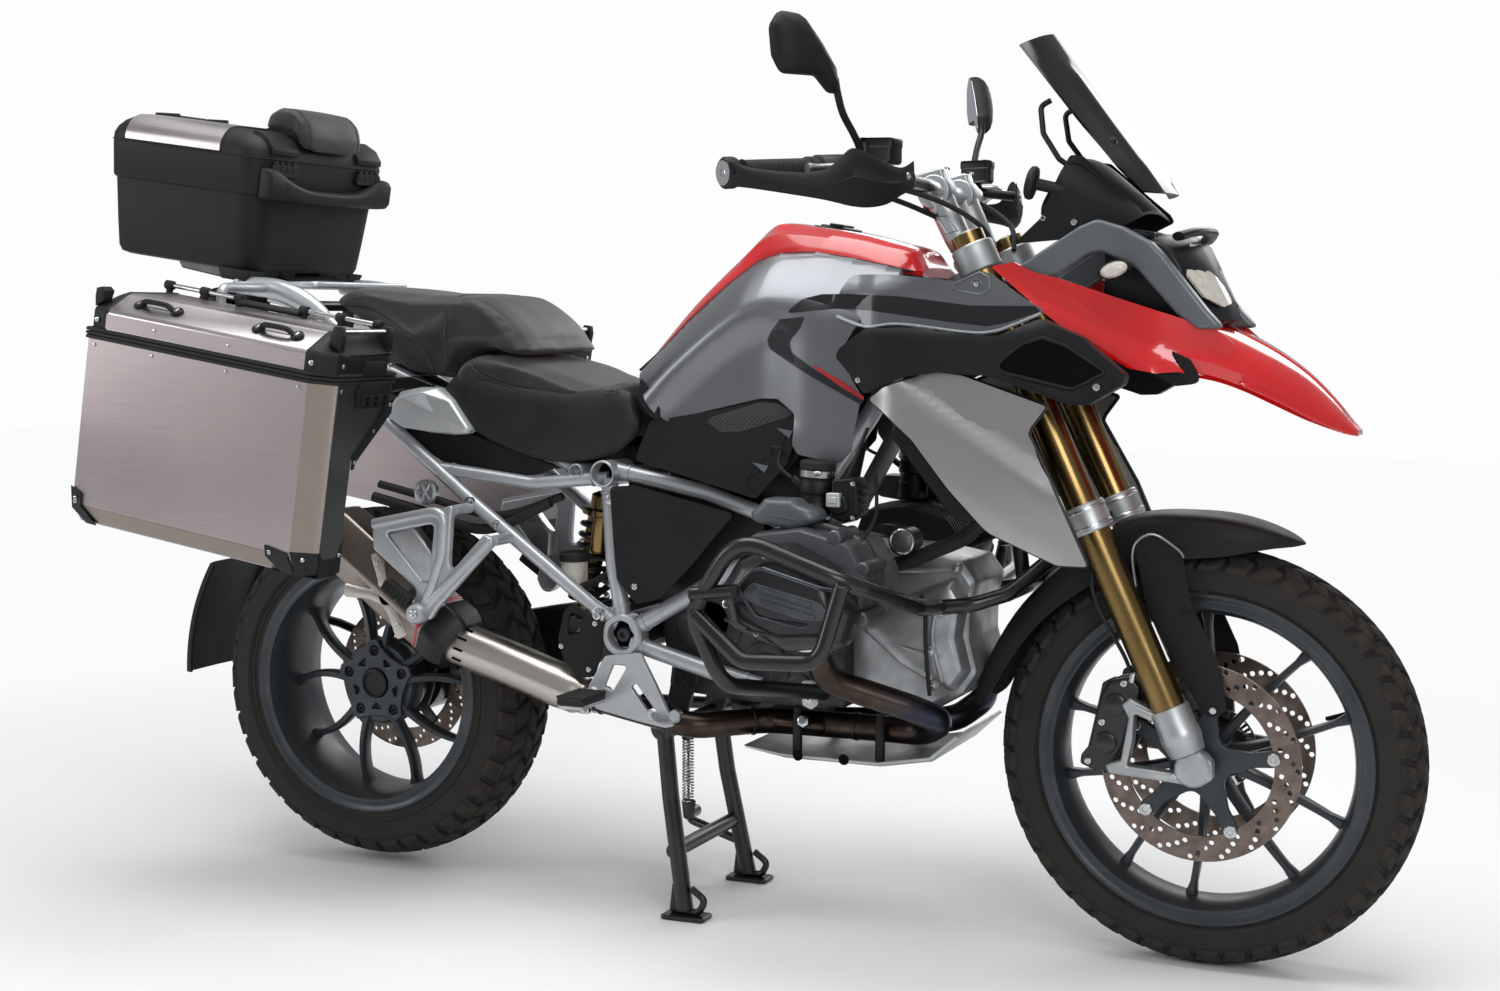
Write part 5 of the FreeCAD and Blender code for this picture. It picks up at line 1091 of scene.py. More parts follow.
def on_line(points, x):
    """Height of a line of (x, z) points at x."""
    for (x0, z0), (x1, z1) in zip(points, points[1:]):
        if x <= x1 or (x1, z1) == points[-1]:
            t = min(max((x - x0) / (x1 - x0), 0), 1)
            return z0 + (z1 - z0) * t


def soft_step(t):
    t = min(max(t, 0), 1)
    return t * t * (3 - 2 * t)


def tank_side(x, z):
    """Tank side: full shoulder, a hollow for the knee, and a flare towards the fork."""
    top = on_line(TANK_LINE, x)
    drop = top - z
    lean = 100 + 94 * math.sin(min(drop / 120, 1) * math.pi / 2) ** 0.9 if drop > 0 else 99
    hollow = 26 * soft_step((-585 - x) / 110) * soft_step((drop - 70) / 80) \
        * soft_step((z - 800) / 40) * soft_step((x + 940) / 120)
    return -min(lean, 195) + hollow


SIDE = TANK_LINE[1:] + [(-450, 1040), (-508, 1000), (-536, 955), (-534, 925, 20), (-505, 880),
                        (-519, 812, 10), (-521, 794, 6), (-541, 774, 8), (-610, 786, 12),
                        (-620, 800, 8), (-619, 850, 10), (-652, 872, 16), (-684, 872, 20),
                        (-776, 851, 20), (-850, 832, 10), (-868, 846, 8), (-892, 880, 12),
                        (-925, 908, 6)]


def behind_fork(shape, gap):
    """Flattens whatever would come into the fork's way when it is steered."""
    cut = []
    for x, y, z in shape[0]:
        cut.append((min(x, steer_x(z) - gap) if z > 930 else x, y, z))
    return cut, shape[1]


both_sides("tank_side_skin", behind_fork(shell(rounded(SIDE, 6), tank_side, 3, 4, 11), 60),
           TANK_GREY, stands_for="tank_shell", crease=50)
# rear corner trim
corner = [(-893, 903, 3), (-866, 877, 8), (-858, 852, 8), (-858, 834, 3), (-877, 840, 6),
          (-898, 868, 8)]
both_sides("tank_corner_trim", plate(rounded(corner, 4), 176.5, 180.5, 1.5), BLACK_PLASTIC)


def top_rows():
    """Cross sections of the red top: (x, edge height, ridge height, half width, ridge half)."""
    return [(-946, 907, 911, 66, 40), (-925, 924, 936, 84, 52), (-888, 957, 976, 94, 60),
            (-842, 1001, 1026, 97, 62), (-801, 1035, 1066, 98, 60), (-762, 1064, 1102, 98, 56),
            (-735, 1083, 1130, 98, 50), (-712, 1094, 1150, 98, 46), (-690, 1100, 1153, 98, 48),
            (-650, 1105, 1148, 98, 52), (-600, 1101, 1141, 98, 56), (-550, 1092, 1131, 97, 58),
            (-505, 1083, 1119, 96, 60), (-482, 1078, 1113, 94, 60), (-462, 1074, 1103, 88, 56),
            (-446, 1072, 1078, 80, 50)]


sections = []
for x, edge, ridge, half, ridge_half in flowing(top_rows(), 4):
    side = [(half, edge - 7), (half + 1, edge), (half - 3, edge + (ridge - edge) * 0.2),
            (half - 14, edge + (ridge - edge) * 0.62),
            (ridge_half + 9, ridge - (ridge - edge) * 0.16),
            (ridge_half, ridge - (ridge - edge) * 0.03), (ridge_half * 0.55, ridge + 0.4),
            (0, ridge + 1)]
    ring = [(x, -y, z) for y, z in side] + [(x, y, z) for y, z in reversed(side[:-1])]
    sections.append(ring + [(x, 60, edge - 9), (x, 0, edge - 9), (x, -60, edge - 9)])
piece("tank_red_top", rings(sections), RED_PAINT, stands_for="tank_top", crease=32)
# painted shade: a dark line in the gap under each edge of the red top, where shadow falls
seam = [[(x, s * 98.5, on_line(TANK_LINE, x) - 1.5) for x in range(-935, -450, 12)]
        for s in (-1, 1)]
piece("tank_top_seams", merge(*[sweep(line, 2.2, 6) for line in seam]), SOFT_RUBBER,
      slot="black_plastic")
# filler cap under a hinged cover on the ridge
cap = facing((-615, 0, 1143.5), (0.17, 0, 1))
piece("filler_cap", merge(moved(lathe([(0.01, 4), (30, 4), (34, 3), (34, 1), (44, 0.5), (46, -2)],
                                      axis=UP, steps=40), cap),
                          moved(plate(rounded([(-12, -30), (12, -30), (12, 30), (-12, 30)], 8), 3,
                                      8, 2, "xy"), cap)), SATIN_BLACK)
# the front block's red facets beside the steering head
for side, s in SIDES:
    block_facets = [(-486, 50, 1098), (-468, 62, 1090), (-456, 58, 1064), (-466, 42, 1066)]
    ring = sweep([(x, s * y, z) for x, y, z in block_facets + block_facets[:1]], 2.2, 8)
    piece(side + "_tank_nose_facets", ring, RED_PAINT)

# Cowls that carry the tank forward to the beak
COWL = [(-548, 1040, 30), (-535, 1066, 20), (-470, 1066, 20), (-394, 1059, 10), (-354, 1054, 10),
        (-318, 1070, 5), (-300, 1065, 4), (-249, 1029, 10), (-219, 1012, 3), (-222, 1006, 3),
        (-266, 989, 8), (-296, 980, 12), (-336, 979, 12), (-443, 991, 20), (-498, 987, 20),
        (-548, 1004, 12)]


def cowl_face(x, z):
    return -195.5 + 26 * soft_step((z - 1030) / 70) * soft_step((-360 - x) / 120) \
        + 5 * soft_step((z - 1024) / 40) + 14 * soft_step((-478 - x) / 50)


both_sides("tank_cowl", shell(rounded(COWL, 6), cowl_face, 3, 3, 12), TANK_GREY, crease=50)
BAND = [(-635, 1006, 4), (-609, 1029, 12), (-581, 1036, 14), (-534, 1036, 20), (-443, 1032, 20),
        (-331, 1018, 20), (-231, 1017, 3), (-222, 1009, 2), (-274, 992, 8), (-304, 987, 8),
        (-362, 993, 20), (-488, 1010, 20), (-553, 1014, 20), (-599, 1010, 10)]


def raised(surface, by):
    return lambda x, z: surface(x, z) - by


def side_at(x, z):
    """The outer of the tank's side and its cowl."""
    return min(tank_side(x, z), cowl_face(x, z) if x > -560 else 0)


def decal(outline, surface, by=0.7):
    """A thin layer that follows a moulded face."""
    return shell(outline, raised(surface, by), 0.5, 0.4, 9)


both_sides("tank_dark_band", decal(rounded(BAND, 4), side_at), BAND_DARK, crease=50)
ARROW = [(-644, 997, 3), (-601, 1001, 3), (-609, 982, 8), (-630, 962, 12), (-624, 945, 10),
         (-585, 921, 20), (-501, 874, 2), (-506, 866, 2), (-580, 904, 20), (-668, 950, 12),
         (-673, 964, 10), (-664, 977, 8)]
both_sides("tank_dark_arrow", decal(rounded(ARROW, 3), tank_side), BAND_DARK, crease=50)
PIN = [(-585, 926, 1), (-533, 900, 20), (-500, 878.5, 1), (-501, 873, 1), (-538, 893, 20),
       (-583, 922, 1)]
both_sides("tank_red_line", decal(rounded(PIN, 1), tank_side, 1.2), RED_STRIPE)
# painted highlight: a pale bead along the grey cowl's lower lip, where its edge catches the light
lip = [(-548, 1002), (-498, 986), (-443, 990), (-336, 978), (-296, 979), (-266, 988), (-221, 1006)]
lip_line = [(x, side_at(x, z) - 1, z) for x, z in flowing(lip, 6)]
both_sides("cowl_bright_lip", sweep(lip_line, 2.4, 8), RAIL_PALE, slot="tank_grey")
BOSS = [(-372, 1044, 8), (-318, 1068, 6), (-303, 1060, 6), (-301, 1041, 8), (-316, 1034, 8)]
boss_rim = [(x, cowl_face(x, z) - 0.6, z) for x, z in rounded(BOSS, 6) + rounded(BOSS, 6)[:1]]
both_sides("cowl_boss",
           merge(sweep(boss_rim, 1.3, 6),
                 lathe([(8, 0), (8, 2), (6.4, 2.6), (6.2, 0.6), (0.01, 0.4)],
                       (-322, cowl_face(-322, 1050), 1050), RIGHT, 20)), GREY_PLASTIC,
           slot="tank_grey")
both_sides("cowl_screw", screw((-322, cowl_face(-322, 1050) - 0.5, 1050), RIGHT, 5, 3), STEEL)

# Intake scoops: matt ducts, their mouth at the front a near-black skin of painted shade
SCOOP_RIM = [(-534, 940, 8), (-527, 953, 8), (-486, 983, 12), (-432, 985, 16), (-326, 974, 30),
             (-278, 972, 20), (-215, 999, 20), (-150, 972, 16), (-84, 917, 6), (-88, 903, 6),
             (-138, 874, 8), (-164, 873, 8), (-293, 914, 20), (-369, 918, 20), (-431, 910, 12),
             (-487, 884, 6), (-499, 900, 10)]
DUCT_MOUTH = [(-287, 924, 14), (-236, 962, 12), (-206, 971, 12), (-172, 960, 14), (-112, 922, 8),
              (-126, 914, 8), (-160, 896, 20)]


def scoop_face(x, z):
    ridge = 972 - 0.045 * abs(x + 470) if x < -290 else 964 + 0.2 * (x + 290)
    roll = 16 * soft_step((z - ridge) / 26) if z > ridge else 3.5 * soft_step((ridge - z) / 70)
    flat_rear = 7 * soft_step((-462 - x) / 55)
    return -239.5 + roll * (1 if x < -200 else 0.5) + flat_rear


duct = shell(rounded(SCOOP_RIM, 8), scoop_face, 30, 5, 11)
# the mouth is a second dark skin laid on the scoop's face
both_sides("intake_scoop_shell", duct, BLACK_PLASTIC, stands_for="intake_scoops", crease=50)
mouth_line = rounded(DUCT_MOUTH, 10)
mouth_rim = [(x, scoop_face(x, z) - 0.4, z) for x, z in mouth_line + mouth_line[:1]]
both_sides("scoop_mouth_lip", sweep(mouth_rim, 2.6, 8), BLACK_PLASTIC)
# painted shade: the near-black skin on the mouth stands for the unlit inside of the duct
both_sides("scoop_mouth_dark", decal(mouth_line, scoop_face, 0.5), PAINTED_SHADE)
both_sides("scoop_lip_plate",
           decal(rounded([(-284, 919, 4), (-163, 892, 10), (-118, 912, 4), (-92, 909, 5),
                          (-140, 879, 8), (-164, 878, 8)], 5), scoop_face, 2.4), SATIN_BLACK)
both_sides("scoop_screws", merge(screw((-125, scoop_face(-125, 900) - 2, 900), RIGHT, 6, 3),
                                 screw((-496, scoop_face(-496, 905), 905), RIGHT, 5, 2.5)), STEEL)

# Silver side panels in front of the radiators
PANEL_RIM = [(-478, 876, 6), (-454, 894, 14), (-396, 915, 20), (-370, 918, 20), (-335, 914, 30),
             (-203, 870, 4), (-226, 839, 8), (-230, 829, 8), (-175, 727, 20), (-134, 638, 4),
             (-180, 638, 20), (-288, 682, 60), (-348, 747, 60), (-404, 817, 60), (-449, 855, 30)]


def panel_face(x, z):
    """Crowned panel with a crease from its rear shoulder down to its tip."""
    crest = 872 - 0.62 * (x + 440)
    bow = 6 * math.sin(math.pi * min(max((z - 640) / 280, 0), 1))
    turned = 22 * soft_step((crest - 60 - z) / 110) + 18 * soft_step((z - crest - 20) / 44)
    return -240.5 - bow + turned + 8 * soft_step((-430 - x) / 40)


both_sides("side_panel_skin", shell(rounded(PANEL_RIM, 8), panel_face, 3, 4, 11), PANEL_SILVER,
           stands_for="side_panels", crease=50)
panel_back = [(x, panel_face(x, z) + 6, z) for x, z in rounded(PANEL_RIM, 8)]
both_sides("panel_inner_edge", sweep(panel_back + panel_back[:1], 3.2, 6), SATIN_BLACK)
core = rounded([(-440, 872), (-300, 856), (-264, 800), (-304, 694), (-350, 694), (-452, 818)], 12)
both_sides("radiator_core", merge(plate(core, 172, 206, 3), *[
    sweep([(-440 + 6 * k, -171, 864 - 2.6 * k), (-350 + 3.2 * k, -171, 698)], 0.9, 5)
    for k in range(0, 24)]), SATIN_BLACK, stands_for="radiators")

# Black covers below the tank, with a perforated field and notched steps
MESH_RIM = [(-905, 767, 6), (-897, 790, 10), (-878, 832, 4), (-776, 849, 30), (-684, 868, 30),
            (-650, 866, 10), (-621, 848, 6), (-621, 838, 8), (-626, 800, 10), (-636, 770, 10),
            (-690, 712, 10)]


def mesh_face(x, z):
    return -175.5 + 5 * soft_step((z - 800) / 60)


both_sides("seat_side_cover_skin", shell(rounded(MESH_RIM, 6), mesh_face, 3, 3, 14), BLACK_PLASTIC,
           stands_for="seat_side_covers", crease=50)
FIELD = [(-778, 833, 4), (-766, 842, 6), (-684, 866, 20), (-655, 864, 8), (-626, 850, 4),
         (-640, 842, 8), (-716, 819, 10), (-752, 817, 8)]
# the field's holes are painted shade
both_sides("perforated_field", decal(rounded(FIELD, 5), mesh_face, 1), VENT_MESH)
notches = []
for x, z in ((-640, 820), (-682, 764)):
    notches.append(plate([(x - 14, z + 6), (x + 14, z + 2), (x + 8, z - 10)], 176.2, 177.4, 0.4))
both_sides("cover_notches", merge(*notches), GREY_PLASTIC)
steps_line = [(-640, 812), (-646, 796), (-662, 796), (-664, 782), (-680, 778), (-686, 756),
              (-704, 748), (-706, 734)]
both_sides("cover_step_ribs", sweep([(x, -175.5, z) for x, z in steps_line], 1.6, 6), SATIN_BLACK)

# Frame covers with a faceted upper face and a screw
LOWER_RIM = [(-949, 723, 6), (-908, 726, 6), (-727, 686, 8), (-800, 602, 10), (-860, 542, 10),
             (-903, 531, 10), (-938, 570, 10)]


def cover_face(x, z):
    ledge = 705 - 0.22 * (x + 900)
    return -181.5 + 6 * soft_step((z - ledge) / 10) + 3 * soft_step((640 - z) / 80)


both_sides("frame_cover_skin", shell(rounded(LOWER_RIM, 6), cover_face, 3, 3, 11), BLACK_PLASTIC,
           stands_for="frame_covers", crease=40)
both_sides("frame_cover_screw", screw((-905, cover_face(-905, 560), 560), RIGHT, 6, 3), STEEL)

# Beak: red wings on both sides that meet in a double-bladed tip
WING = [(-312, 1077, 3), (-275, 1083, 3), (-245, 1068, 10), (-205, 1058, 10), (-116, 1029, 30),
        (-29, 1001, 20), (20, 986, 20), (50, 962, 10), (34, 912, 10), (-26, 921, 10),
        (-56, 919, 8), (-95, 926, 4), (-168, 966, 60), (-224, 1007, 60)]


def wing_face(x, z):
    """Outer face of a wing: a crease runs along it and its upper part leans in."""
    crease = 1064 - 0.5 * (x + 300)
    nose_in = 150 * max(x + 60, 0) / 278 * 0.55
    return -172 + 15 * soft_step((z - crease + 26) / 40) + 0.06 * max(crease - 26 - z, 0) + nose_in


both_sides("beak_wing", shell(rounded(WING, 8), wing_face, 3, 3, 10), RED_PAINT, stands_for="beak",
           crease=32)
nose_rows = []
for x, half, low, high, keel in flowing([
    (-30, 150, 916, 1003, 0.86), (20, 142, 908, 985, 0.8), (60, 128, 894, 966, 0.74),
    (100, 106, 874, 943, 0.7), (140, 80, 853, 914, 0.66), (175, 58, 838, 880, 0.62),
    (200, 40, 829, 851, 0.6), (214, 27, 826, 836, 0.6)], 4):
    nose_rows.append([(x, y * half, low + (high - low) * v) for y, v in (
        (-0.98, 0.1), (-1, 0.34), (-0.93, 0.62), (-keel, 0.88), (-keel * 0.8, 0.97), (-0.18, 1.0),
        (-0.1, 0.9), (0.1, 0.9), (0.18, 1.0), (keel * 0.8, 0.97), (keel, 0.88), (0.93, 0.62),
        (1, 0.34), (0.98, 0.1), (0.9, 0.0), (0.4, 0.06), (0.12, 0.3), (-0.12, 0.3), (-0.4, 0.06),
        (-0.9, 0.0))])
piece("beak_nose", rings(nose_rows), RED_PAINT, crease=30)
groove = [(60, -131, 905), (110, -99, 880), (160, -67, 851), (198, -38, 834)]
both_sides("beak_tip_blade", sweep(flowing(groove, 6), [1.5] + [4.5] * 17 + [1.5], 8, wide=0.7),
           RED_PAINT)
both_sides("beak_under_tray",
           shell(rounded([(-225, 1003), (-60, 915), (-30, 900), (10, 905), (-10, 940),
                          (-190, 1020)], 12), lambda x, z: -150, 4, 3, 20), SATIN_BLACK)

# Hoops beside the lamp: thick arms with rounded edges
HOOP_RIM = [(-300, 1052, 6), (-268, 1080, 20), (-180, 1135, 20), (-152, 1146, 20),
            (-113, 1134, 16), (-70, 1110, 16), (-53, 1093, 14), (12, 1012, 30), (38, 984, 6),
            (0, 984, 4), (-32, 1006, 14), (-75, 1053, 20), (-92, 1072, 14), (-124, 1088, 12),
            (-146, 1098, 10), (-163, 1095, 12), (-213, 1062, 16), (-252, 1040, 8)]
both_sides("lamp_hoop_arm", plate(rounded(HOOP_RIM, 8), 118.6, 149.4, 6, edge_steps=4),
           GREY_PLASTIC, stands_for="headlight_hoops", crease=45)

# Headlight: a framed lens over two reflector bowls
LAMP_HALF = 118
frame_rows = []
for y in (-116, -108, -92, -70, -40, 0, 40, 70, 92, 108, 116):
    wide = abs(y) / LAMP_HALF
    front = -8 - 34 * wide ** 2.2
    ring = [(-148, 1002), (-148, 1106), (-100, 1128 - 8 * wide), (front - 30, 1126 - 14 * wide),
            (front - 8, 1110 - 10 * wide), (front + 8, 1074), (front + 28 - 16 * wide, 1036),
            (front + 46 - 22 * wide, 996), (front + 20, 990), (-90, 992)]
    frame_rows.append([(x, y, z) for x, z in ring])
piece("headlight_shell", rings(frame_rows), SATIN_BLACK, stands_for="headlight", bevel=3)
LENS_LINE = [(-100, 1094), (-60, 1110), (-24, 1112), (0, 1104), (24, 1112), (60, 1110),
             (100, 1094), (108, 1062), (96, 1030), (60, 1016), (20, 1022), (0, 1032), (-20, 1022),
             (-60, 1016), (-96, 1030), (-108, 1062)]


def lens_face(y, z):
    """Swept back to both sides, and leaning back above its middle and forward below it."""
    swept = -1 - 34 * (abs(y) / LAMP_HALF) ** 2.2
    return -(swept + max(1074 - z, 0) * 0.5 - max(z - 1074, 0) * 0.55)


lens_skin = shell(rounded(LENS_LINE, 10), lens_face, 4, 3, 12)
turned_lens = ([(-y, x, z) for x, y, z in lens_skin[0]], lens_skin[1])
piece("headlight_lens", turned_lens, CLEAR_LENS, crease=50)
bowls = [lathe([(30, 0), (34, 2), (38, 2.5), (38, 4), (34, 4)], (-12, y, 1064),
               (1, 0.35 * y / 56, 0.52), 36) for y in (-50, 50)]
piece("headlight_rings", merge(*bowls), REFLECTOR)
visor = [(-40, -104, 1120), (-24, -60, 1128), (-16, 0, 1130), (-24, 60, 1128), (-40, 104, 1120)]
piece("headlight_visor", sweep(flowing(visor, 6), 7, 10, wide=1.6), SATIN_BLACK)
both_sides("lamp_side_louvre",
           merge(*[plate(rounded([(-132 + k * 10, 1116 + k * 3), (-96 + k * 10, 1112 + k * 3),
                                  (-92 + k * 10, 1122 + k * 2), (-126 + k * 10, 1128 + k * 2)], 3),
                         104 - 2 * k, 116 - 2 * k, 1.2) for k in range(3)]), SATIN_BLACK)

# Windscreen: smoked sheet with rolled edge, a raised rib on each side and four grommets
screen_rows = []
for low_t in [k / 14 for k in range(15)]:
    row = []
    for u in [-1 + k / 12 for k in range(25)]:
        half = 150 - 45 * low_t if low_t > 0.42 else 150 - 45 * 0.42 + 14 * (0.42 - low_t)
        half = half * (0.72 + 0.28 * soft_step(low_t / 0.16))
        middle = (-66 - 188 * low_t, 1188 + 249 * low_t)
        edge = (-30 * u * u, -(24 * u * u) * soft_step(low_t * 2) * low_t)
        rib = 6 * math.exp(-((abs(u) - 0.52) / 0.10) ** 2) * soft_step(low_t / 0.15) \
            * soft_step((0.82 - low_t) / 0.12)
        row.append((middle[0] + edge[0] + rib * 0.8, u * half, middle[1] + edge[1] + rib * 0.45))
    screen_rows.append(row + [(x - 3.6, y * 0.985, z - 2) for x, y, z in reversed(row)])
piece("windscreen_sheet", rings(screen_rows), SCREEN_BLACK, stands_for="windscreen", crease=60)
both_sides("screen_grommets",
           merge(*[screw((x, -y, z), (0.8, -0.25, 0.5), 7, 4)
                   for x, y, z in ((-116, 96, 1226), (-142, 96, 1262))]), SATIN_BLACK)

# Cockpit: faceted hood behind the screen, instruments and height knob
HOOD = [(-290, 1112, 6), (-248, 1150, 20), (-222, 1212, 10), (-210, 1246, 8), (-190, 1243, 8),
        (-98, 1162, 8), (-92, 1150, 6), (-150, 1122, 10)]


def hood_face(x, z):
    top = 1206 - 0.5 * (x + 210)
    return -111.5 + 22 * soft_step((z - top + 4) / 44)


both_sides("cockpit_side", shell(rounded(HOOD, 6), hood_face, 4, 3, 11), BLACK_PLASTIC,
           stands_for="cockpit", crease=36)
hood_line = [(-214, 1238), (-190, 1238), (-150, 1206), (-108, 1168), (-98, 1158)]
roof = [[(x, y, z - 4 + 8 * (1 - (y / 96) ** 2)) for y in range(-96, 97, 12)]
        for x, z in flowing(hood_line, 5)]
piece("cockpit_roof", rings([row + [(x, y, z - 4) for x, y, z in reversed(row)] for row in roof]),
      BLACK_PLASTIC, crease=50)
pod = facing((-228, 0, 1190), (-0.82, 0, 0.57))
piece("instrument_pod",
      merge(moved(plate(rounded([(-44, -96), (44, -96), (50, 0), (44, 96), (-44, 96), (-48, 0)],
                                24), -26, 6, 4, "xy"), pod),
            *[moved(lathe([(38, 6), (41, 7), (43, 11), (39, 12), (37, 7), (0.01, 6.5)], (0, y, 0),
                          UP, 40), pod) for y in (-52, 52)]), SATIN_BLACK)
piece("instrument_glass",
      moved(plate(rounded([(-30, -14), (32, -14), (32, 14), (-30, 14)], 6), 6.2, 8, 0.6, "xy"),
            pod), SCREEN_BLACK)
knob = facing((-216, -104, 1192), (-0.9, -0.1, 0.22))
piece("screen_height_knob",
      moved(merge(lathe([(9, -4), (9, 40), (11, 42)], axis=UP, steps=20),
                  lathe([(11, 40), (24, 43), (26, 47), (25, 53), (20, 56), (0.01, 57)], axis=UP,
                        steps=28)), knob), SOFT_RUBBER, slot="black_plastic", bevel=0.8)
link = [(-246, -70, 1330), (-262, -70, 1322), (-256, -74, 1280), (-228, -84, 1240),
        (-202, -84, 1222)]
both_sides("screen_link_bar", sweep(bent(link, 14), 4.4, 10), SATIN_BLACK)
both_sides("hood_screws", merge(screw((-196, -111.6, 1143), RIGHT, 5.5, 3),
                                screw((-244, -110.6, 1150), RIGHT, 4.5, 2.5)), STEEL)

# Direction lamps: lens in an oval pod
pod_ring = [(math.cos(a) * 24, math.sin(a) * 14) for a in turns(28)]


def oval(point, grow, y):
    return [(point[0] + u * grow, y, point[2] + v * grow + 0.2 * u * grow) for u, v in pod_ring]


lamp_at = (-119, 0, 1070)
both_sides("front_indicator_pod",
           rings([oval(lamp_at, g, y)
                  for g, y in ((0.3, -150.4), (0.8, -152), (1, -160), (1, -172), (0.9, -175),
                               (0.82, -173))]), SATIN_BLACK, stands_for="indicators")
both_sides("front_indicator_lens",
           rings([oval(lamp_at, g, y)
                  for g, y in ((0.86, -172), (0.84, -175), (0.66, -180.5), (0.34, -183),
                               (0.05, -183.6))]), CLEAR_LENS)

# Engine: dark crankcase, a light front cover with facets, and two finned cylinders
BLOCK = [(-880, 424, 20), (-898, 520, 20), (-878, 598, 20), (-760, 634, 20), (-600, 638, 20),
         (-560, 634, 10), (-560, 372, 10), (-700, 368, 20), (-838, 376, 20)]


def casting(corners, levels, radius, middle):
    """A casting about the centre plane: levels are (half width, share of the outline)."""
    rows = [[(x, y, z) for x, z in rounded(inset(corners, by, middle), radius)]
            for y, by in [(-half, by) for half, by in levels]
            + [(half, by) for half, by in reversed(levels)]]
    return rings(rows)


dark_case = [casting(BLOCK, [(114, 0.93), (108, 0.985), (98, 1.0)], 20, (-720, 500))]
for x, z, r, y in ((-700, 430, 44, 117.5), (-800, 500, 62, 117), (-640, 400, 26, 117.8)):
    dark_case.append(lathe([(r, 90), (r, y - 3), (r - 3, y), (r * 0.6, y), (r * 0.55, y - 3),
                            (0.01, y - 3)], (x, 0, z), RIGHT, 36))
for k in range(7):
    dark_case.append(sweep([(-870 + 44 * k, -112, 392 + 2 * k), (-862 + 44 * k, -112, 450)], 3.5,
                           8))
piece("crankcase_block", merge(*dark_case), CAST_DARK, stands_for="crankcase", bevel=1.2)
lugs = [plate(rounded([(-904, 298), (-868, 298), (-845, 372), (-845, 402), (-878, 426)], 10), low,
              low + 10, 2) for low in (-86, 76)]
lugs.append(lathe([(9, -124), (9, 124)], (-886, 0, 314), LEFT, 24))
piece("stand_lugs", merge(*lugs), CAST_DARK)

NOSE = [(-566, 634, 8), (-452, 632, 20), (-374, 619, 16), (-351, 588, 16), (-361, 548, 16),
        (-362, 494, 20), (-348, 440, 16), (-372, 404, 16), (-430, 370, 20), (-566, 372, 8)]
front_case = [casting(NOSE, [(84, 0.9), (78, 0.97), (52, 1.0)], 14, (-460, 500))]
# faceted side cheeks stand proud of the nose, with a valley between them
CHEEK = [(-540, 505, 10), (-500, 540, 14), (-430, 572, 12), (-384, 590, 10), (-366, 560, 10),
         (-374, 500, 14), (-360, 446, 12), (-384, 412, 10), (-420, 424, 10), (-470, 448, 14)]
for side in (1, -1):
    rows = [[(x, side * y, z) for x, z in rounded(inset(CHEEK, by, (-420, 500)), 8)]
            for y, by in ((-70, 1.06), (-100, 1.0), (-112, 0.9), (-117.5, 0.74))]
    front_case.append(rings(rows))
    for path, r in (([(-540, -88, 610), (-470, -92, 600), (-380, -80, 604)], 5),
                    ([(-404, -116, 556), (-412, -118.5, 500), (-396, -117, 430)], 4),
                    ([(-520, -104, 500), (-440, -117, 476), (-380, -112, 470)], 4)):
        front_case.append(sweep(flowing([(x, y * side, z) for x, y, z in path], 5), r, 8))
piece("front_engine_cover", merge(*front_case), CAST_LIGHT, bevel=1.5, crease=30)
BOSS_SPOTS = ((-397, 540), (-413, 478), (-409, 424), (-520, 622), (-450, 618), (-384, 606),
              (-540, 400))
bosses = []
for x, z in BOSS_SPOTS:
    y = -117 if x > -420 and z < 560 else -84
    bosses.append(lathe([(9, -8), (9, 4), (7.5, 6), (5, 6)], (x, y, z), RIGHT, 20))
both_sides("cover_bosses", merge(*bosses), CAST_LIGHT)
both_sides("cover_bolts", merge(*[screw((x, -122 if x > -420 and z < 560 else -89, z), RIGHT, 5, 4)
                                  for x, z in BOSS_SPOTS]), STEEL)
breather = [(-430, -124, 566), (-422, -126, 545), (-420, -126, 480), (-413, -126, 408)]
piece("breather_hose", sweep(flowing(breather, 6), 3.4, 10), SOFT_RUBBER)
# ring of the plug at the cylinder's front, and the coolant hose below it
piece("duct_ring", merge(tube([(-446, -124, 654), (-446, -170, 654)], 20, 3, 28),
                         lathe([(20, 0), (22, 1), (22, 4), (20, 5)], (-446, -170, 654), LEFT, 32)),
      SATIN_BLACK)
piece("duct_ring_lip", lathe([(17, 0), (18.5, -1.6), (20.4, 0), (20.4, 2), (17, 2)],
                             (-446, -170.3, 654), LEFT, 36), STEEL)
for name, y in SIDES:
    hose = [(-474, y * 128, 612), (-440, y * 140, 622), (-400, y * 146, 640), (-352, y * 150, 662),
            (-320, y * 160, 690)]
    piece(name + "_coolant_hose", sweep(flowing(hose, 6), 12, 14), SOFT_RUBBER)

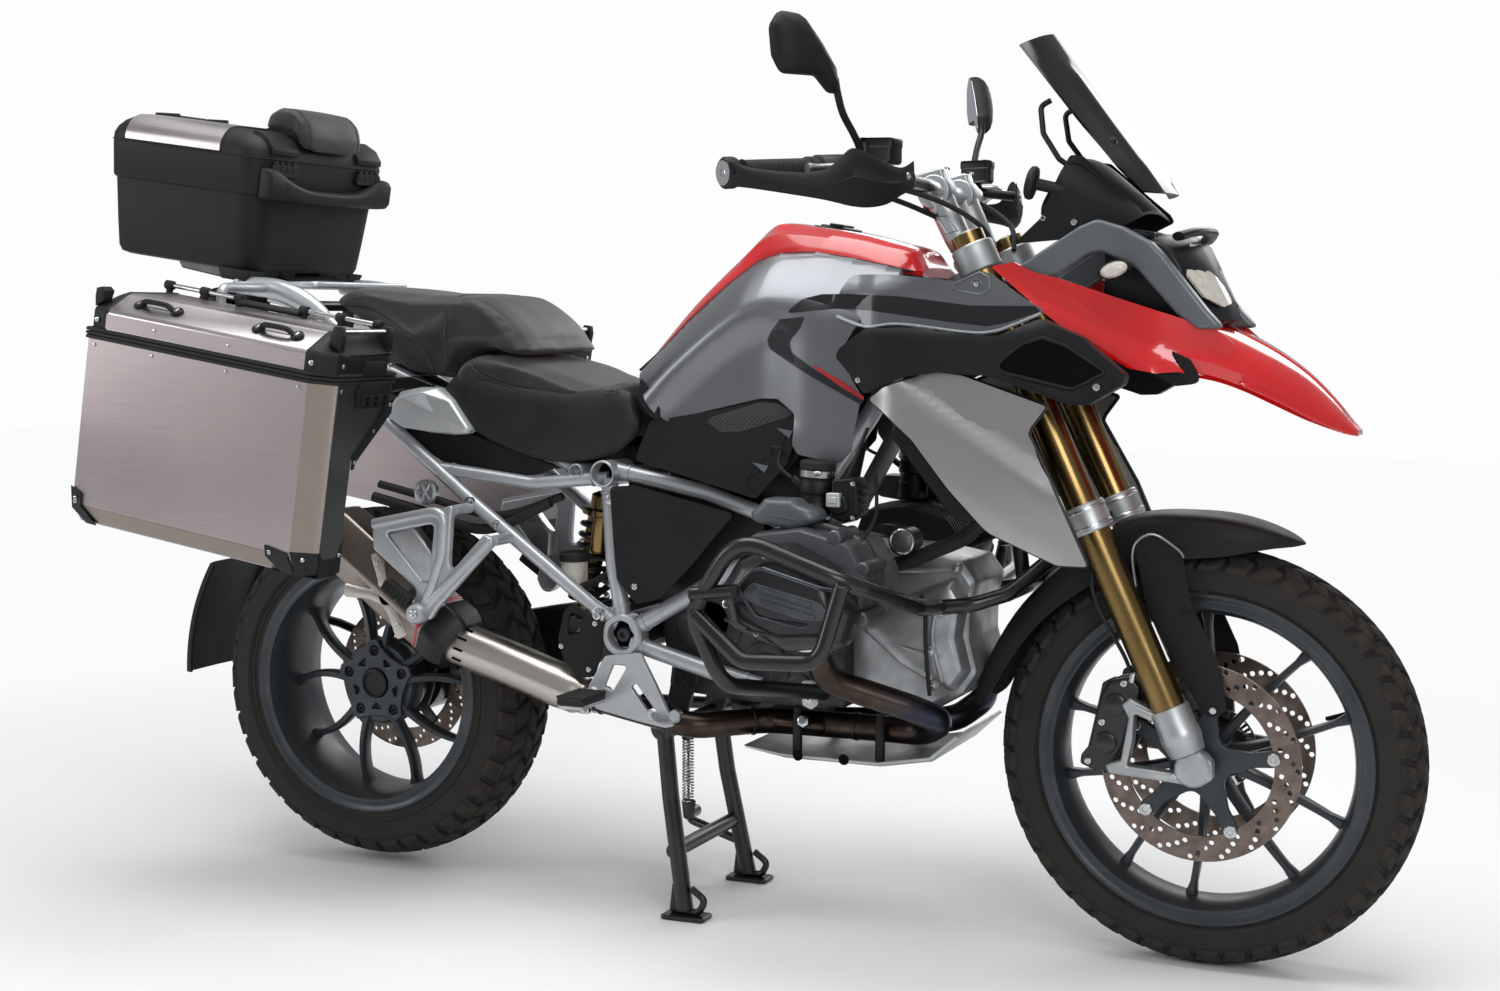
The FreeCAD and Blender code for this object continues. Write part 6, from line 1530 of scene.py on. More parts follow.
# Cylinders: barrel, fins that follow the head's outline, and the head casting
HEAD = [(-664, 602, 16), (-640, 672, 18), (-556, 684, 24), (-474, 664, 24), (-444, 612, 26),
        (-466, 532, 22), (-560, 500, 24), (-652, 522, 18)]
cyl = [lathe([(60, 112), (60, 250)], (-575, 0, 590), RIGHT, 40)]
for k in range(9):
    low = 160 + k * 9.6
    grow = 0.93 + 0.009 * k
    cyl.append(plate(rounded(inset(HEAD, grow, (-560, 592)), 18), low, low + 2.8, 0.9))
head_levels = ((246, 0.96), (249, 1.0), (296, 1.0), (312, 0.985), (320, 0.95))
cyl.append(stacked(HEAD, head_levels, (-560, 592), 18))
for x, z, r in ((-500, 672, 12), (-454, 628, 10), (-456, 552, 11), (-520, 506, 12),
                (-648, 560, 10)):
    cyl.append(lathe([(r, 240), (r, 318), (r - 3, 321), (0.01, 321)], (x, 0, z), RIGHT, 22))
rocker = [(-560, -262, 684), (-520, -262, 678), (-484, -262, 662), (-462, -262, 630)]
cyl.append(sweep(flowing(rocker, 5), 7, 10))
both_sides("finned_cylinder", merge(*cyl), CAST_GREY, stands_for="cylinders", bevel=0.8)

# Head covers: dark bells with a raised bead round a ribbed block
BELL = [(-669, 594, 14), (-640, 640, 16), (-598, 660, 16), (-560, 663, 20), (-482, 627, 14),
        (-454, 566, 16), (-470, 512, 18), (-560, 500, 24), (-650, 532, 18)]
levels = [(320, 1.0), (336, 1.0), (350, 0.985), (362, 0.95), (372, 0.89), (380, 0.8), (385, 0.7),
          (387, 0.6)]
both_sides("head_cover_bell", stacked(BELL, levels, (-564, 582), 16), COVER_DARK,
           stands_for="head_covers", crease=24)


def over_cover(x, z):
    """Depth of the cover's face at a point: nearly flat in the middle, falling to its rim."""
    off = math.hypot((x + 564) / 100, (z - 582) / 76)
    return -388 + 26 * soft_step((off - 0.62) / 0.46)


BEAD = [(-628, 600, 10), (-606, 625, 10), (-584, 629, 14), (-496, 604, 14), (-462, 596, 8),
        (-478, 556, 12), (-522, 543, 16), (-596, 556, 20)]
ring = rounded(BEAD, 10)
both_sides("cover_bead", sweep([(x, over_cover(x, z) - 0.5, z) for x, z in ring + ring[:1]], 3.4,
                               10), COVER_RIB)
folds = []
for line in ([(-690, 588), (-628, 575), (-581, 552), (-484, 545)],
             [(-664, 544), (-628, 535), (-535, 522), (-490, 530)],
             [(-690, 612), (-655, 640), (-610, 652), (-560, 650), (-480, 616)]):
    folds.append(sweep([(x * 0.94 - 564 * 0.06, over_cover(x * 0.94 - 564 * 0.06, z) - 0.2,
                         z * 0.94 + 582 * 0.06) for x, z in flowing(line, 6)], 3, 8))
both_sides("cover_folds", merge(*folds), COVER_DARK)
CENTRE = [(-618, 592, 6), (-602, 608, 8), (-496, 584, 10), (-480, 570, 8), (-492, 556, 8),
          (-524, 554, 10), (-594, 572, 10), (-616, 582, 6)]
ribbed = [plate(rounded(CENTRE, 6), 384, 389, 2.4)]
for k in range(3):
    ribbed.append(plate(rounded([(-594 + 3 * k, 602 - 9 * k), (-508 + 3 * k, 582 - 9 * k),
                                 (-506 + 3 * k, 577 - 9 * k), (-592 + 3 * k, 597 - 9 * k)], 2),
                        388, 391.6, 1.2))
both_sides("cover_centre_block", merge(*ribbed), COVER_RIB, crease=50)
both_sides("cover_screws",
           merge(screw((-660, -352, 568), RIGHT, 7, 6), screw((-486, -376, 566), RIGHT, 5, 4),
                 screw((-600, -378, 530), RIGHT, 4.5, 3)), STEEL)

# Throttle bodies: rubber boot, clamp, housing, sensor box and a cast cap over the injector
both_sides("intake_boot", lathe([(27, 60), (27, 64), (25, 68), (28, 72), (28, 78), (25, 81),
                                 (28, 85), (28, 94), (26, 96)], (-568, -226, 684), (0.06, 0, 1),
                                32), SOFT_RUBBER, stands_for="throttle_bodies",
           slot="black_plastic")
both_sides("boot_clamp",
           merge(lathe([(28, 74), (29.2, 74), (29.2, 84), (28, 84)], (-568, -226, 682),
                       (0.06, 0, 1), 36), screw((-556, -256, 762), (1, 0, 0.1), 4, 10)), STEEL)
body_parts = [lathe([(24, 2), (26, 4), (26, 30), (24, 32), (24, 44), (27, 48), (27, 66)],
                    (-568, -226, 684), (0.06, 0, 1), 36),
              plate(rounded([(-532, 752), (-498, 756), (-490, 744), (-488, 700), (-510, 688),
                             (-532, 694)], 6), 200, 250, 3),
              lathe([(17, -212), (17, -252), (14, -256), (0.01, -256)], (-520, 0, 716), LEFT, 24),
              sweep([(-604, -228, 752), (-590, -228, 742), (-574, -228, 740)], 6, 10)]
for k in range(4):
    body_parts.append(block((-498, -248, 702 + 12 * k), (-486, -204, 707 + 12 * k), 1.5))
both_sides("throttle_housing", merge(*body_parts), SATIN_BLACK, bevel=0.8)
both_sides("sensor_plug", merge(block((-536, -262, 712), (-514, -249, 734), 2),
                                block((-532, -265, 718), (-518, -262, 728), 1)), RAIL_PALE,
           slot="bare_aluminium")
both_sides("throttle_screws",
           merge(*[screw((x, -250, z), RIGHT, 4, 3)
                   for x, z in ((-536, 694), (-496, 748), (-496, 696))]), STEEL)
CAP = [(-651, 702, 8), (-636, 714, 8), (-628, 724, 8), (-580, 724, 10), (-568, 716, 10),
       (-545, 709, 10), (-535, 694, 8), (-553, 685, 8), (-576, 677, 8), (-632, 684, 8),
       (-648, 690, 8)]
both_sides("injector_cap",
           stacked(CAP, ((242, 0.94), (248, 1), (282, 1), (292, 0.93), (297, 0.8), (298.6, 0.6)),
                   (-596, 702)), GREY_PLASTIC, crease=40)
both_sides("cap_rib",
           sweep(flowing([(-640, -290, 698), (-612, -297, 700), (-570, -297, 694),
                          (-545, -290, 692)], 5), 2, 8), GREY_PLASTIC)
cables = [[(-520, -246, 730), (-500, -238, 780), (-492, -200, 830)],
          [(-606, -228, 752), (-640, -200, 770), (-650, -160, 800)],
          [(-480, -250, 664), (-470, -220, 700), (-486, -180, 760)]]
both_sides("engine_leads", merge(*[sweep(flowing(line, 8), 3, 8) for line in cables]), SOFT_RUBBER)

# Engine guards: bent tube with welded beads, a clamp lug and end bolts
LOOP = [(-395, -145.3, 552), (-392, -250, 566), (-440, -408, 616), (-610, -428, 680),
        (-690, -415, 560), (-650, -390, 450), (-590, -130, 400)]
guard = [sweep(bent(LOOP, 62, 10), 12.5, 20),
         sweep(bent([(-682, -420, 560), (-600, -432, 496), (-480, -425, 500), (-450, -410, 616)],
                    40, 8), 12.5, 18), sweep([(-686, -423, 590), (-618, -420, 598)], 10.5, 16)]
for place, axis, r in (((-682, -420, 562), (0.7, -0.1, -0.6), 13.6),
                       ((-450, -410, 612), (0.2, 0, 0.9), 13.6),
                       ((-684, -423, 590), (1, 0, 0.1), 11.8)):
    guard.append(lathe([(r - 2, -3), (r, -1), (r, 1), (r - 2, 3)], place, axis, 20))
both_sides("engine_guard_tubes", merge(*guard), BLACK_STEEL, stands_for="engine_guards")
both_sides("guard_tube_cap", lathe([(10.4, 0), (10.4, 4), (8, 7), (0.01, 8)], (-618, -420, 598),
                                   (1, 0, 0.12), 20), SOFT_RUBBER)
both_sides("guard_lug",
           merge(plate(rounded([(-622, 420), (-596, 422), (-592, 384), (-604, 374), (-620, 380)],
                               6), 140, 150, 2), lathe([(8, 0), (13, 0), (13, 12), (8, 12)],
                                                       (-607, -139, 394), RIGHT, 24)),
           BLASTED_METAL)
both_sides("guard_bolts",
           merge(screw((-607, -151, 394), RIGHT, 8, 5), screw((-395, -146, 552), RIGHT, 8, 5)),
           STEEL)

# Exhaust: two headers under the engine to one pipe, with flanges, beads and a sensor
RIGHT_PIPE = [(-556, -268, 514), (-545, -232, 440), (-430, -170, 395), (-392, -120, 368),
              (-440, -66, 336), (-560, -56, 334), (-720, -56, 332), (-815, -146, 330),
              (-1014, -146, 366)]
LEFT_PIPE = [(-556, 268, 514), (-545, 232, 440), (-430, 170, 395), (-392, 120, 368),
             (-430, 60, 336), (-560, 0, 334), (-700, -44, 333)]
pipes = [sweep(bent(RIGHT_PIPE, 62, 8), 21.6, 24), sweep(bent(LEFT_PIPE, 62, 8), 21.6, 24)]
for place, axis, r in (((-548, -240, 456), (0, 0.4, 0.9), 25),
                       ((-548, 240, 456), (0, -0.4, 0.9), 25), ((-560, -56, 334), AHEAD, 23.4),
                       ((-560, 0, 334), AHEAD, 23.4), ((-740, -74, 332), (1, 0.9, 0), 24),
                       ((-860, -146, 338), (1, 0, -0.2), 23.6),
                       ((-980, -146, 360), (1, 0, -0.2), 24.4)):
    pipes.append(lathe([(r - 3, -4), (r, -2), (r, 2), (r - 3, 4)], place, axis, 28))
collector = rings([[(x, -30 + y * w, 333 + z * h) for y, z in circle(1, steps=28)] for x, w, h in (
    (-610, 52, 21), (-640, 56, 22), (-690, 52, 22.5), (-715, 44, 22))])
piece("header_pipes", merge(*pipes, collector), HEADER_STEEL, stands_for="exhaust_pipes")
flange = [lathe([(22, 0), (36, 0), (36, 8), (22, 8)], (-556, s * 268, 508), (0, s * 0.4, 0.9), 26)
          for s in (-1, 1)]
clamp = [lathe([(23, -12), (25, -12), (25, 12), (23, 12)], (-1002, -146, 364), (1, 0, -0.2), 28),
         block((-1010, -176, 340), (-994, -164, 352), 2),
         sweep([(-1002, -182, 346), (-1002, -160, 346)], 4, 10),
         lathe([(10, 0), (10, 20), (6, 22), (6, 30), (0.01, 30)], (-640, -88, 340), (0.2, -1, 0.3),
               6)]
piece("exhaust_clamps", merge(*flange, *clamp), STEEL)

# Silencer: satin pipe, dark band, brushed hexagonal box and a raised shield
box_front, box_rear = Vector((-1255, -160, 444)), Vector((-1510, -160, 632))
out = (box_rear - box_front).normalized()
place_box = facing(box_front, out, RIGHT)


def six(rx, ry, h, r=12):
    return [place_box @ Vector((u, v, h))
            for u, v in rounded([(rx * math.cos(math.radians(60 * k)),
                                  ry * math.sin(math.radians(60 * k))) for k in range(6)], r)]


long_box = (box_rear - box_front).length
pipe_line = [(-1000, -150, 363), (-1040, -151, 374), (-1150, -155, 410), (-1240, -159, 438),
             (-1270, -160, 455)]
piece("silencer_pipe", sweep(flowing(pipe_line, 5), [25] * 2 + [31] * 2 + [36] * 2 + [38] * 15,
                             32), PIPE_STEEL, stands_for="silencer")
piece("silencer_box", rings([six(55, 50, -4), six(60, 55, 4), six(64, 58, 14), six(65, 59.5, 60),
                             six(65, 59.5, long_box - 30), six(63, 57, long_box - 8),
                             six(56, 50, long_box), six(34, 34, long_box + 1, 16)]),
      SILENCER_STEEL, crease=30)
piece("silencer_band",
      rings([six(57, 52, -6), six(62, 57, 3), six(66.5, 61, 15), six(66.5, 61, 44),
             six(66, 60.5, 45)]), SATIN_BLACK, crease=30)
piece("silencer_stripe",
      rings([six(65.8, 60.2, 50), six(66, 60.4, 51), six(66, 60.4, 54), six(65.8, 60.2, 55)]),
      RED_STRIPE, slot="silencer_steel", crease=30)
outlet = [lathe([(22, 0), (26, 0), (26, 22), (24.5, 24), (22, 24)], box_rear - out * 1, out, 36),
          lathe([(26, 0), (30, 0), (30, 4), (26, 4)], box_rear - out * 1, out, 36)]
piece("silencer_outlet", merge(*outlet), PIPE_STEEL)
# painted shade: a near-black lining inside the outlet for its unlit bore
piece("outlet_throat", lathe([(22.5, -50), (22.5, 22)], box_rear, out, 36), PAINTED_SHADE)
# painted shade: near-black dots on the outlet's end stand for its holes
slots = []
for k in range(7):
    a = 0.15 + 0.3 * k
    at = place_box @ Vector((*polar(30.6, a), long_box + 2))
    slots.append(lathe([(2, 0), (2, 0.6), (0.01, 0.6)], at, at - (box_rear + out * 2), 10))
piece("outlet_holes", merge(*slots), PAINTED_SHADE)


def on_box(u, h, off=0.0):
    """Point on the silencer's outer face: u across it (up is positive), h along it."""
    return place_box @ Vector((58.6 + off, u, h))


shield_arms = []
for reach_h, reach_u in ((66, -36), (84, 44), (206, -44), (192, 50)):
    ahead = Vector((reach_h - 132, reach_u)).normalized()
    side = Vector((-ahead.y, ahead.x))
    root, tip = Vector((132, 0)) - ahead * 6, Vector((reach_h, reach_u))
    flat = [root + side * 17, root.lerp(tip, 0.45) + side * 9, tip + side * 13, tip - side * 13,
            root.lerp(tip, 0.45) - side * 9, root - side * 17]
    shield_arms.append(rings([[on_box(u, h, off) for h, u in rounded([tuple(c) for c in flat], 8)]
                              for off in (0.4, 2.4)]))
piece("silencer_shield", merge(*shield_arms), SHIELD_STEEL, bevel=0.8, crease=40)
piece("shield_screws",
      merge(*[screw(on_box(u, h, 2.4), RIGHT, 5, 2.6) for u, h in ((-24, 84), (36, 182))]), STEEL)
# painted shade: near-black strips on the pipe stand for its slots
pipe_slots = []
for k in range(5):
    a = math.radians(-60 + 30 * k)
    at = Vector((-1226, -159, 434)) + Vector((0.31 * math.sin(a), -math.cos(a),
                                              0.95 * math.sin(a))) * 38.2
    pipe_slots.append(sweep([at, at + Vector((-16, -0.5, 5))], 2.2, 8))
piece("pipe_slots", merge(*pipe_slots), PAINTED_SHADE)

# Skid plate: folded sheet with round-ended slots and rubber stops
tray = []
for y in (-118, -112, 0, 112, 118):
    lift = 12 if abs(y) == 118 else 0
    line = [(-733, 296), (-665, 284 + lift * 0.3), (-499, 284 + lift * 0.3),
            (-412, 300 + lift * 0.3), (-368, 342)]
    tray.append([(x, y, z) for x, z in line] + [(x - 4, y, z + 4) for x, z in reversed(line)])
piece("skid_sheet", rings(tray), BLASTED_METAL, stands_for="skid_plate", bevel=1.0)
# painted shade: the slots are near-black plates on the sheet, not cut through
slots = [plate(rounded([(x, -6 + y), (x + 60, -6 + y), (x + 60, 6 + y), (x, 6 + y)], 6), 283.2,
               283.8, 0.2, "xy") for x in (-650, -570) for y in (-70, -35, 0, 35, 70)]
slots += [lathe([(9, -0.4), (9, 0), (0.01, 0)], (x, -118.6, z), RIGHT, 16)
          for x, z in ((-640, 291), (-560, 291))]
piece("skid_slots", merge(*slots), PAINTED_SHADE)
posts = [lathe([(8, 0), (8, 60), (6, 64), (6, 78)], (x + 8, y, 288), UP, 16) for x in (-660, -516)
         for y in (-91, 91)]
piece("skid_rubber_posts", merge(*posts), SOFT_RUBBER)
piece("skid_bolts", merge(*[screw((x + 8, y, 284), DOWN, 8, 4) for x in (-660, -516)
                            for y in (-91, 91)]), STEEL)

# Frame: bent tubes with weld beads, an open cross tube, and the swingarm's pivot rings
TUBE = 14
FRAME_RUNS = [([(-940, 150, 500), (-958, 150, 590), (-966, 150, 735)], TUBE, 120),
              ([(-640, 132, 665), (-790, 138, 715), (-954, 146, 748)], TUBE - 1, 120),
              ([(-950, 150, 494), (-990, 162, 520), (-1222, 162, 686), (-1415, 156, 832),
                (-1560, 130, 935)], TUBE - 2, 120),
              ([(-966, 150, 735), (-1110, 150, 721), (-1295, 155, 742)], TUBE - 3, 90),
              ([(-1026, 132, 740), (-1200, 125, 826), (-1420, 118, 908), (-1640, 110, 1005)],
               TUBE - 2, 160), ([(-922, 154, 462), (-780, 150, 425), (-700, 132, 404)], TUBE, 100),
              ([(-920, 154, 486), (-830, 142, 540), (-700, 132, 620)], TUBE, 100),
              ([(-640, 132, 665), (-530, 96, 840), (-455, 60, 985), (-405, 16, 1040)], TUBE + 2,
               140)]
tubes, welds = [], []
for run, r, bend in FRAME_RUNS:
    tubes.append(sweep(bent([(x, -y, z) for x, y, z in run], bend, 8), r, 18))
    for end, near in ((run[0], run[1]), (run[-1], run[-2])):
        point, ahead = Vector(end), (Vector(near) - Vector(end)).normalized()
        at = point + ahead * (24 if r > TUBE - 3 else 30)
        welds.append(lathe([(r - 1, -3), (r + 1.6, -1.4), (r + 1.6, 1.4), (r - 1, 3)],
                           (at.x, -at.y, at.z), (ahead.x, -ahead.y, ahead.z), 18))
tubes.append(lathe([(36, 141), (36, 168), (33, 172), (25, 172), (24, 168), (24, 150)], PIVOT,
                   RIGHT, 44))
tubes.append(lathe([(9, 136), (9, 150)], (-790, 0, 860), RIGHT, 12))
both_sides("frame_tubes", merge(*tubes, *welds), FRAME_SILVER, stands_for="main_frame")
cross = [tube([(-966, -176, 743), (-966, 176, 743)], 22, 3, 32),
         sweep([(-1420, -118, 908), (-1420, 118, 908)], 12, 14),
         sweep([(-640, -130, 665), (-640, 130, 665)], 14, 14),
         tube([(-1026, -158, 744), (-1026, 158, 744)], 13, 2.4, 24),
         sweep([(-394, 0, 1030), (-159, 0, 1000)], 8, 12),
         sweep([(-159, -149, 1000), (-159, 149, 1000)], 9, 14),
         lathe([(26, 0), (26, 30)], tuple(axis_low + steer_axis * 436), steer_axis, 32)]
piece("frame_cross_tubes", merge(*cross), FRAME_SILVER)


def loop(x, z, radius, wire, y):
    """Round wire ring about an axis across the machine."""
    turn = [2 * math.pi * k / 36 for k in range(37)]
    return sweep([(x + radius * math.cos(a), y, z + radius * math.sin(a)) for a in turn], wire, 10)


both_sides("cross_tube_lip",
           merge(loop(-966, 743, 20.5, 2, -176), loop(-1026, 744, 11.8, 1.6, -158)), BARE_METAL)
# painted shade: near-black linings inside the open cross tubes
piece("cross_tube_bores", merge(lathe([(18.8, -150), (18.8, 150)], (-966, 0, 743), LEFT, 28),
                                lathe([(10.5, -140), (10.5, 140)], (-1026, 0, 744), LEFT, 24)),
      PAINTED_SHADE)
# painted shade: a near-black lobed disc in the pivot ring's bore
lobes = [(PIVOT[0] + (22.5 + 1.4 * math.cos(6 * a)) * math.cos(a),
          PIVOT[2] + (22.5 + 1.4 * math.cos(6 * a)) * math.sin(a)) for a in turns(48)]
both_sides("pivot_socket", plate(lobes, -152, -149, 0.6), PAINTED_SHADE)
both_sides("pivot_shaft", lathe([(12, 150), (12, 163), (10, 165), (5, 165), (5, 160), (0.01, 160)],
                                PIVOT, RIGHT, 28), CAST_DARK, slot="steel_black")
bolts = [((-978, 172, 508), 9), ((-1172, 172, 650), 6), ((-1222, 176, 686), 7),
         ((-958, 165, 700), 5)]
both_sides("frame_bolts",
           merge(*[merge(screw((x, -y, z), RIGHT, r, 5),
                         lathe([(r + 3, -6), (r + 3, 0), (r + 1, 0.8)], (x, -y, z), RIGHT, 20))
                   for (x, y, z), r in bolts]), STEEL)
# what lies between the tubes: airbox, battery box, rear inner guard and the wiring duct
both_sides("airbox_half", stacked([(-900, 762), (-884, 846), (-700, 846), (-640, 836), (-600, 800),
                                   (-622, 700), (-700, 650), (-840, 690)],
                                  [(2, 1), (88, 1), (96, 1)], radius=18), SATIN_BLACK, bevel=2)
both_sides("battery_box_half",
           stacked([(-1235, 830), (-1180, 852), (-950, 790), (-930, 760), (-1000, 742),
                    (-1200, 762)], [(2, 1), (92, 1), (98, 1)], radius=14), SATIN_BLACK, bevel=2)
backing = [plate(rounded([(-885, 790), (-872, 868), (-690, 892), (-600, 884), (-612, 790),
                          (-650, 750)], 10), -164, -158, 1),
           plate(rounded([(-945, 738), (-700, 690), (-690, 600), (-760, 560), (-925, 560)], 10),
                 -126, -120, 1)]
both_sides("inner_backing", merge(*backing), SATIN_BLACK)
under = [(-1660, 996), (-1560, 960), (-1440, 905), (-1330, 850), (-1290, 780), (-1300, 742)]
flap = [[(x, y, z - 4 - 26 * (abs(y) / 98) ** 3) for y in range(-98, 99, 14)]
        for x, z in flowing(under, 4)]
piece("rear_inner_guard",
      rings([row + [(x, y, z - 4) for x, y, z in reversed(row)] for row in flap]), SATIN_BLACK)
both_sides("tail_side_box",
           stacked([(-1300, 742), (-1230, 780), (-1150, 830), (-1080, 770), (-1120, 740),
                    (-1230, 728)], [(100, 1), (140, 1), (146, 1)], radius=12), BLACK_PLASTIC,
           bevel=2)
inner_leads = [[(-880, -120, 640), (-930, -128, 610), (-1000, -130, 560), (-1060, -126, 540)],
               [(-1060, -140, 700), (-1180, -150, 664), (-1300, -170, 690), (-1400, -178, 712)],
               [(-1080, -146, 690), (-1200, -158, 640), (-1320, -172, 668), (-1410, -182, 690)]]
piece("rear_leads", merge(
    *[sweep(flowing(line, 8), r, 12) for line, r in zip(inner_leads, (6, 7, 9))]), SOFT_RUBBER)
FACET = [(-1394, 838), (-1366, 872), (-1326, 880), (-1290, 880), (-1262, 860), (-1224, 810),
         (-1232, 801), (-1256, 799), (-1309, 802), (-1390, 823)]
ridge = [(-1354, -184, 862), (-1346, -184, 810), (-1306, -186, 872), (-1298, -166, 836)]
corner_rows = [[(x, -y, z) for x, z in inset(FACET, by, (-1310, 840))]
               for y, by in ((140, 0.99), (160, 1), (168, 0.93))]
facet_points = [point for row in corner_rows for point in row] + ridge
facet_faces = [list(face) for face in rings(corner_rows)[1][:-2]]
last = len(FACET) * 2
tip_rear, tip_low, tip_high, tip_front = range(len(facet_points) - 4, len(facet_points))
facet_faces += [[last + 9, last, tip_rear], [last, last + 1, tip_rear],
                [last + 9, tip_rear, tip_low], [last + 8, last + 9, tip_low],
                [last + 1, last + 2, tip_high, tip_rear], [tip_rear, tip_high, tip_front],
                [tip_rear, tip_front, tip_low], [last + 2, last + 3, tip_high],
                [last + 3, last + 4, tip_high], [last + 4, last + 5, tip_front, tip_high],
                [last + 5, last + 6, last + 7, tip_front],
                [last + 7, last + 8, tip_low, tip_front], list(range(len(FACET)))]
both_sides("seat_corner_block", (facet_points, facet_faces), RAIL_PALE, slot="frame_silver",
           bevel=2.5, crease=14)
panel_rim = [(-1388, 812), (-1300, 800), (-1235, 800), (-1062, 750), (-1100, 736), (-1232, 722),
             (-1300, 756)]
both_sides("under_seat_panel", plate(rounded(panel_rim, 8), -148, -140, 2), SATIN_BLACK)
both_sides("block_bracket",
           plate(rounded([(-1398, 868), (-1396, 894), (-1345, 898), (-1300, 884), (-1320, 874),
                          (-1362, 876)], 6), -158, -140, 3), SATIN_BLACK)
adjuster = [lathe([(9, -8), (21, -6), (22, 0), (22, 6), (17, 8), (15, 3), (0.01, 3)],
                  (-1300, -184, 702), RIGHT, 30)]
for k in range(6):
    a = math.pi / 3 * k
    adjuster.append(sweep([(-1300, -187, 702),
                           (-1300 + 18 * math.cos(a), -187, 702 + 18 * math.sin(a))], 2.6, 8))
piece("preload_knob", merge(*adjuster), BARE_METAL)

# Swingarm on the left, spring leg with its coil and remote reservoir, front link
arm_rows = []
for x, low, high in flowing([(-936, 436, 516), (-1050, 406, 500), (-1180, 352, 482),
                             (-1330, 312, 452), (-1430, 288, 426), (-1507, 266, 404),
                             (-1560, 290, 372), (-1578, 315, 346)], 5):
    middle, tall = (low + high) / 2, (high - low) / 2
    arm_rows.append([(x, 112 + 22 * math.copysign(abs(math.cos(a)) ** 0.6, math.cos(a)),
                      middle + tall * math.copysign(abs(math.sin(a)) ** 0.8, math.sin(a)))
                     for a in turns(24)])
swing = [rings(arm_rows),
         lathe([(74, 66), (74, 150), (66, 158), (30, 158), (28, 152), (0.01, 152)], REAR_AXLE,
               LEFT, 44), lathe([(32, -134), (34, -130), (34, 130), (32, 134)], PIVOT, LEFT, 36)]
for k in range(8):
    a = math.pi / 4 * k
    swing.append(lathe([(7, 156), (7, 161), (5, 162)],
                       (REAR_AXLE[0] + 50 * math.cos(a), 0, REAR_AXLE[2] + 50 * math.sin(a)), LEFT,
                       12))
piece("swingarm_casting", merge(*swing), COVER_DARK, stands_for="swingarm")
shock_low, shock_top = Vector((-1085, -20, 470)), Vector((-1040, -20, 700))
leg = (shock_top - shock_low).normalized()
coil = []
turn_leg = facing(shock_low + leg * 40, leg)
for k in range(8 * 24 + 1):
    coil.append(turn_leg @ Vector((*polar(32, 2 * math.pi * k / 24), 150 * k / 192)))
piece("rear_coil_spring", sweep(coil, 4.6, 10), BLACK_STEEL)
piece("damper_pin", lathe([(14, -62), (14, 89)], (-1085, 0, 470), LEFT, 24), BLACK_STEEL)
damper = [lathe([(16, 0), (20, 2), (20, 30), (14, 34), (14, 120), (25, 124), (25, 190), (36, 192),
                 (36, 200), (24, 202), (24, 226), (14, 232)], shock_low, leg, 32)]
piece("rear_damper", merge(*damper), FORK_GOLD, stands_for="rear_spring_leg")
pot = [lathe([(24, 0), (24, 3), (22, 5), (22, 42), (24, 44)], (-1050, -118, 545), UP, 32)]
piece("reservoir_body", merge(*pot), CLEAR_LENS, slot="bare_aluminium")
piece("reservoir_cap", lathe([(25, 44), (26, 46), (26, 56), (23, 60), (0.01, 61)],
                             (-1050, -118, 545), UP, 32), SOFT_RUBBER, slot="black_plastic")
gold = [lathe([(13, 0), (15, 3), (15, 60), (17, 62), (17, 70), (11, 74), (9, 90)],
              (-1004, -118, 606), (0.12, 0, 1), 28)]
piece("preload_adjuster", merge(*gold), FORK_GOLD)
feed = [(-1050, -118, 546), (-1052, -112, 528), (-1040, -90, 516), (-1020, -60, 540)]
piece("reservoir_hose", sweep(flowing(feed, 6), 5, 12), SOFT_RUBBER)
fork_link = [sweep(bent([(-222, s * 6, 646), (-296, s * 96, 572), (-345, s * 130, 556),
                         (-430, s * 130, 545)], 50, 8), 12, 16) for s in (-1, 1)]
fork_link += [sweep([(-298, -96, 571), (-298, 96, 571)], 12, 14),
              lathe([(15, 0), (32, 4), (32, 12), (24, 14), (24, 150), (32, 152), (32, 160),
                     (12, 164), (12, 190)], (-308, 0, 640), (-44, 0, 170), 28),
              sweep([(-298, 0, 571), (-308, 0, 645)], 12, 14),
              sweep([(-350, 0, 810), (-384, 0, 898)], 12, 14)]
piece("front_link_arms", merge(*fork_link), BLACK_STEEL, stands_for="front_link")

# Footrests: silver plates with slots, ribbed rubber, brake pedal and heel guard
PEG_RIM = [(-960, 442, 8), (-895, 451, 8), (-866, 400, 16), (-832, 334, 6), (-850, 330, 6),
           (-905, 338, 20), (-979, 352, 10), (-992, 388, 10)]
windows = [rounded([(-945, 428), (-918, 428), (-946, 384), (-962, 390)], 5),
           rounded([(-912, 394), (-902, 400), (-872, 364), (-870, 352), (-884, 358)], 4)]
both_sides("peg_plate", merge(plate([rounded(PEG_RIM, 8)] + windows, -182, -172, 2.4),
                              lathe([(15, 174), (15, 196), (12, 199), (0.01, 199)], (-975, 0, 377),
                                    RIGHT, 28)), FRAME_SILVER, stands_for="footpegs",
           slot="bare_aluminium")
treads = [block((-1000, -274, 372), (-952, -192, 384), 3)]
for k in range(8):
    treads.append(sweep([(-1002, -198 - 10 * k, 385), (-950, -198 - 10 * k, 385)], 3, 8))
both_sides("peg_rubber", merge(*treads), SOFT_RUBBER, bevel=1)
both_sides("peg_core", merge(block((-998, -272, 366), (-954, -190, 373), 2),
                             sweep([(-975, -186, 377), (-975, -196, 377)], 12, 16)), STEEL)
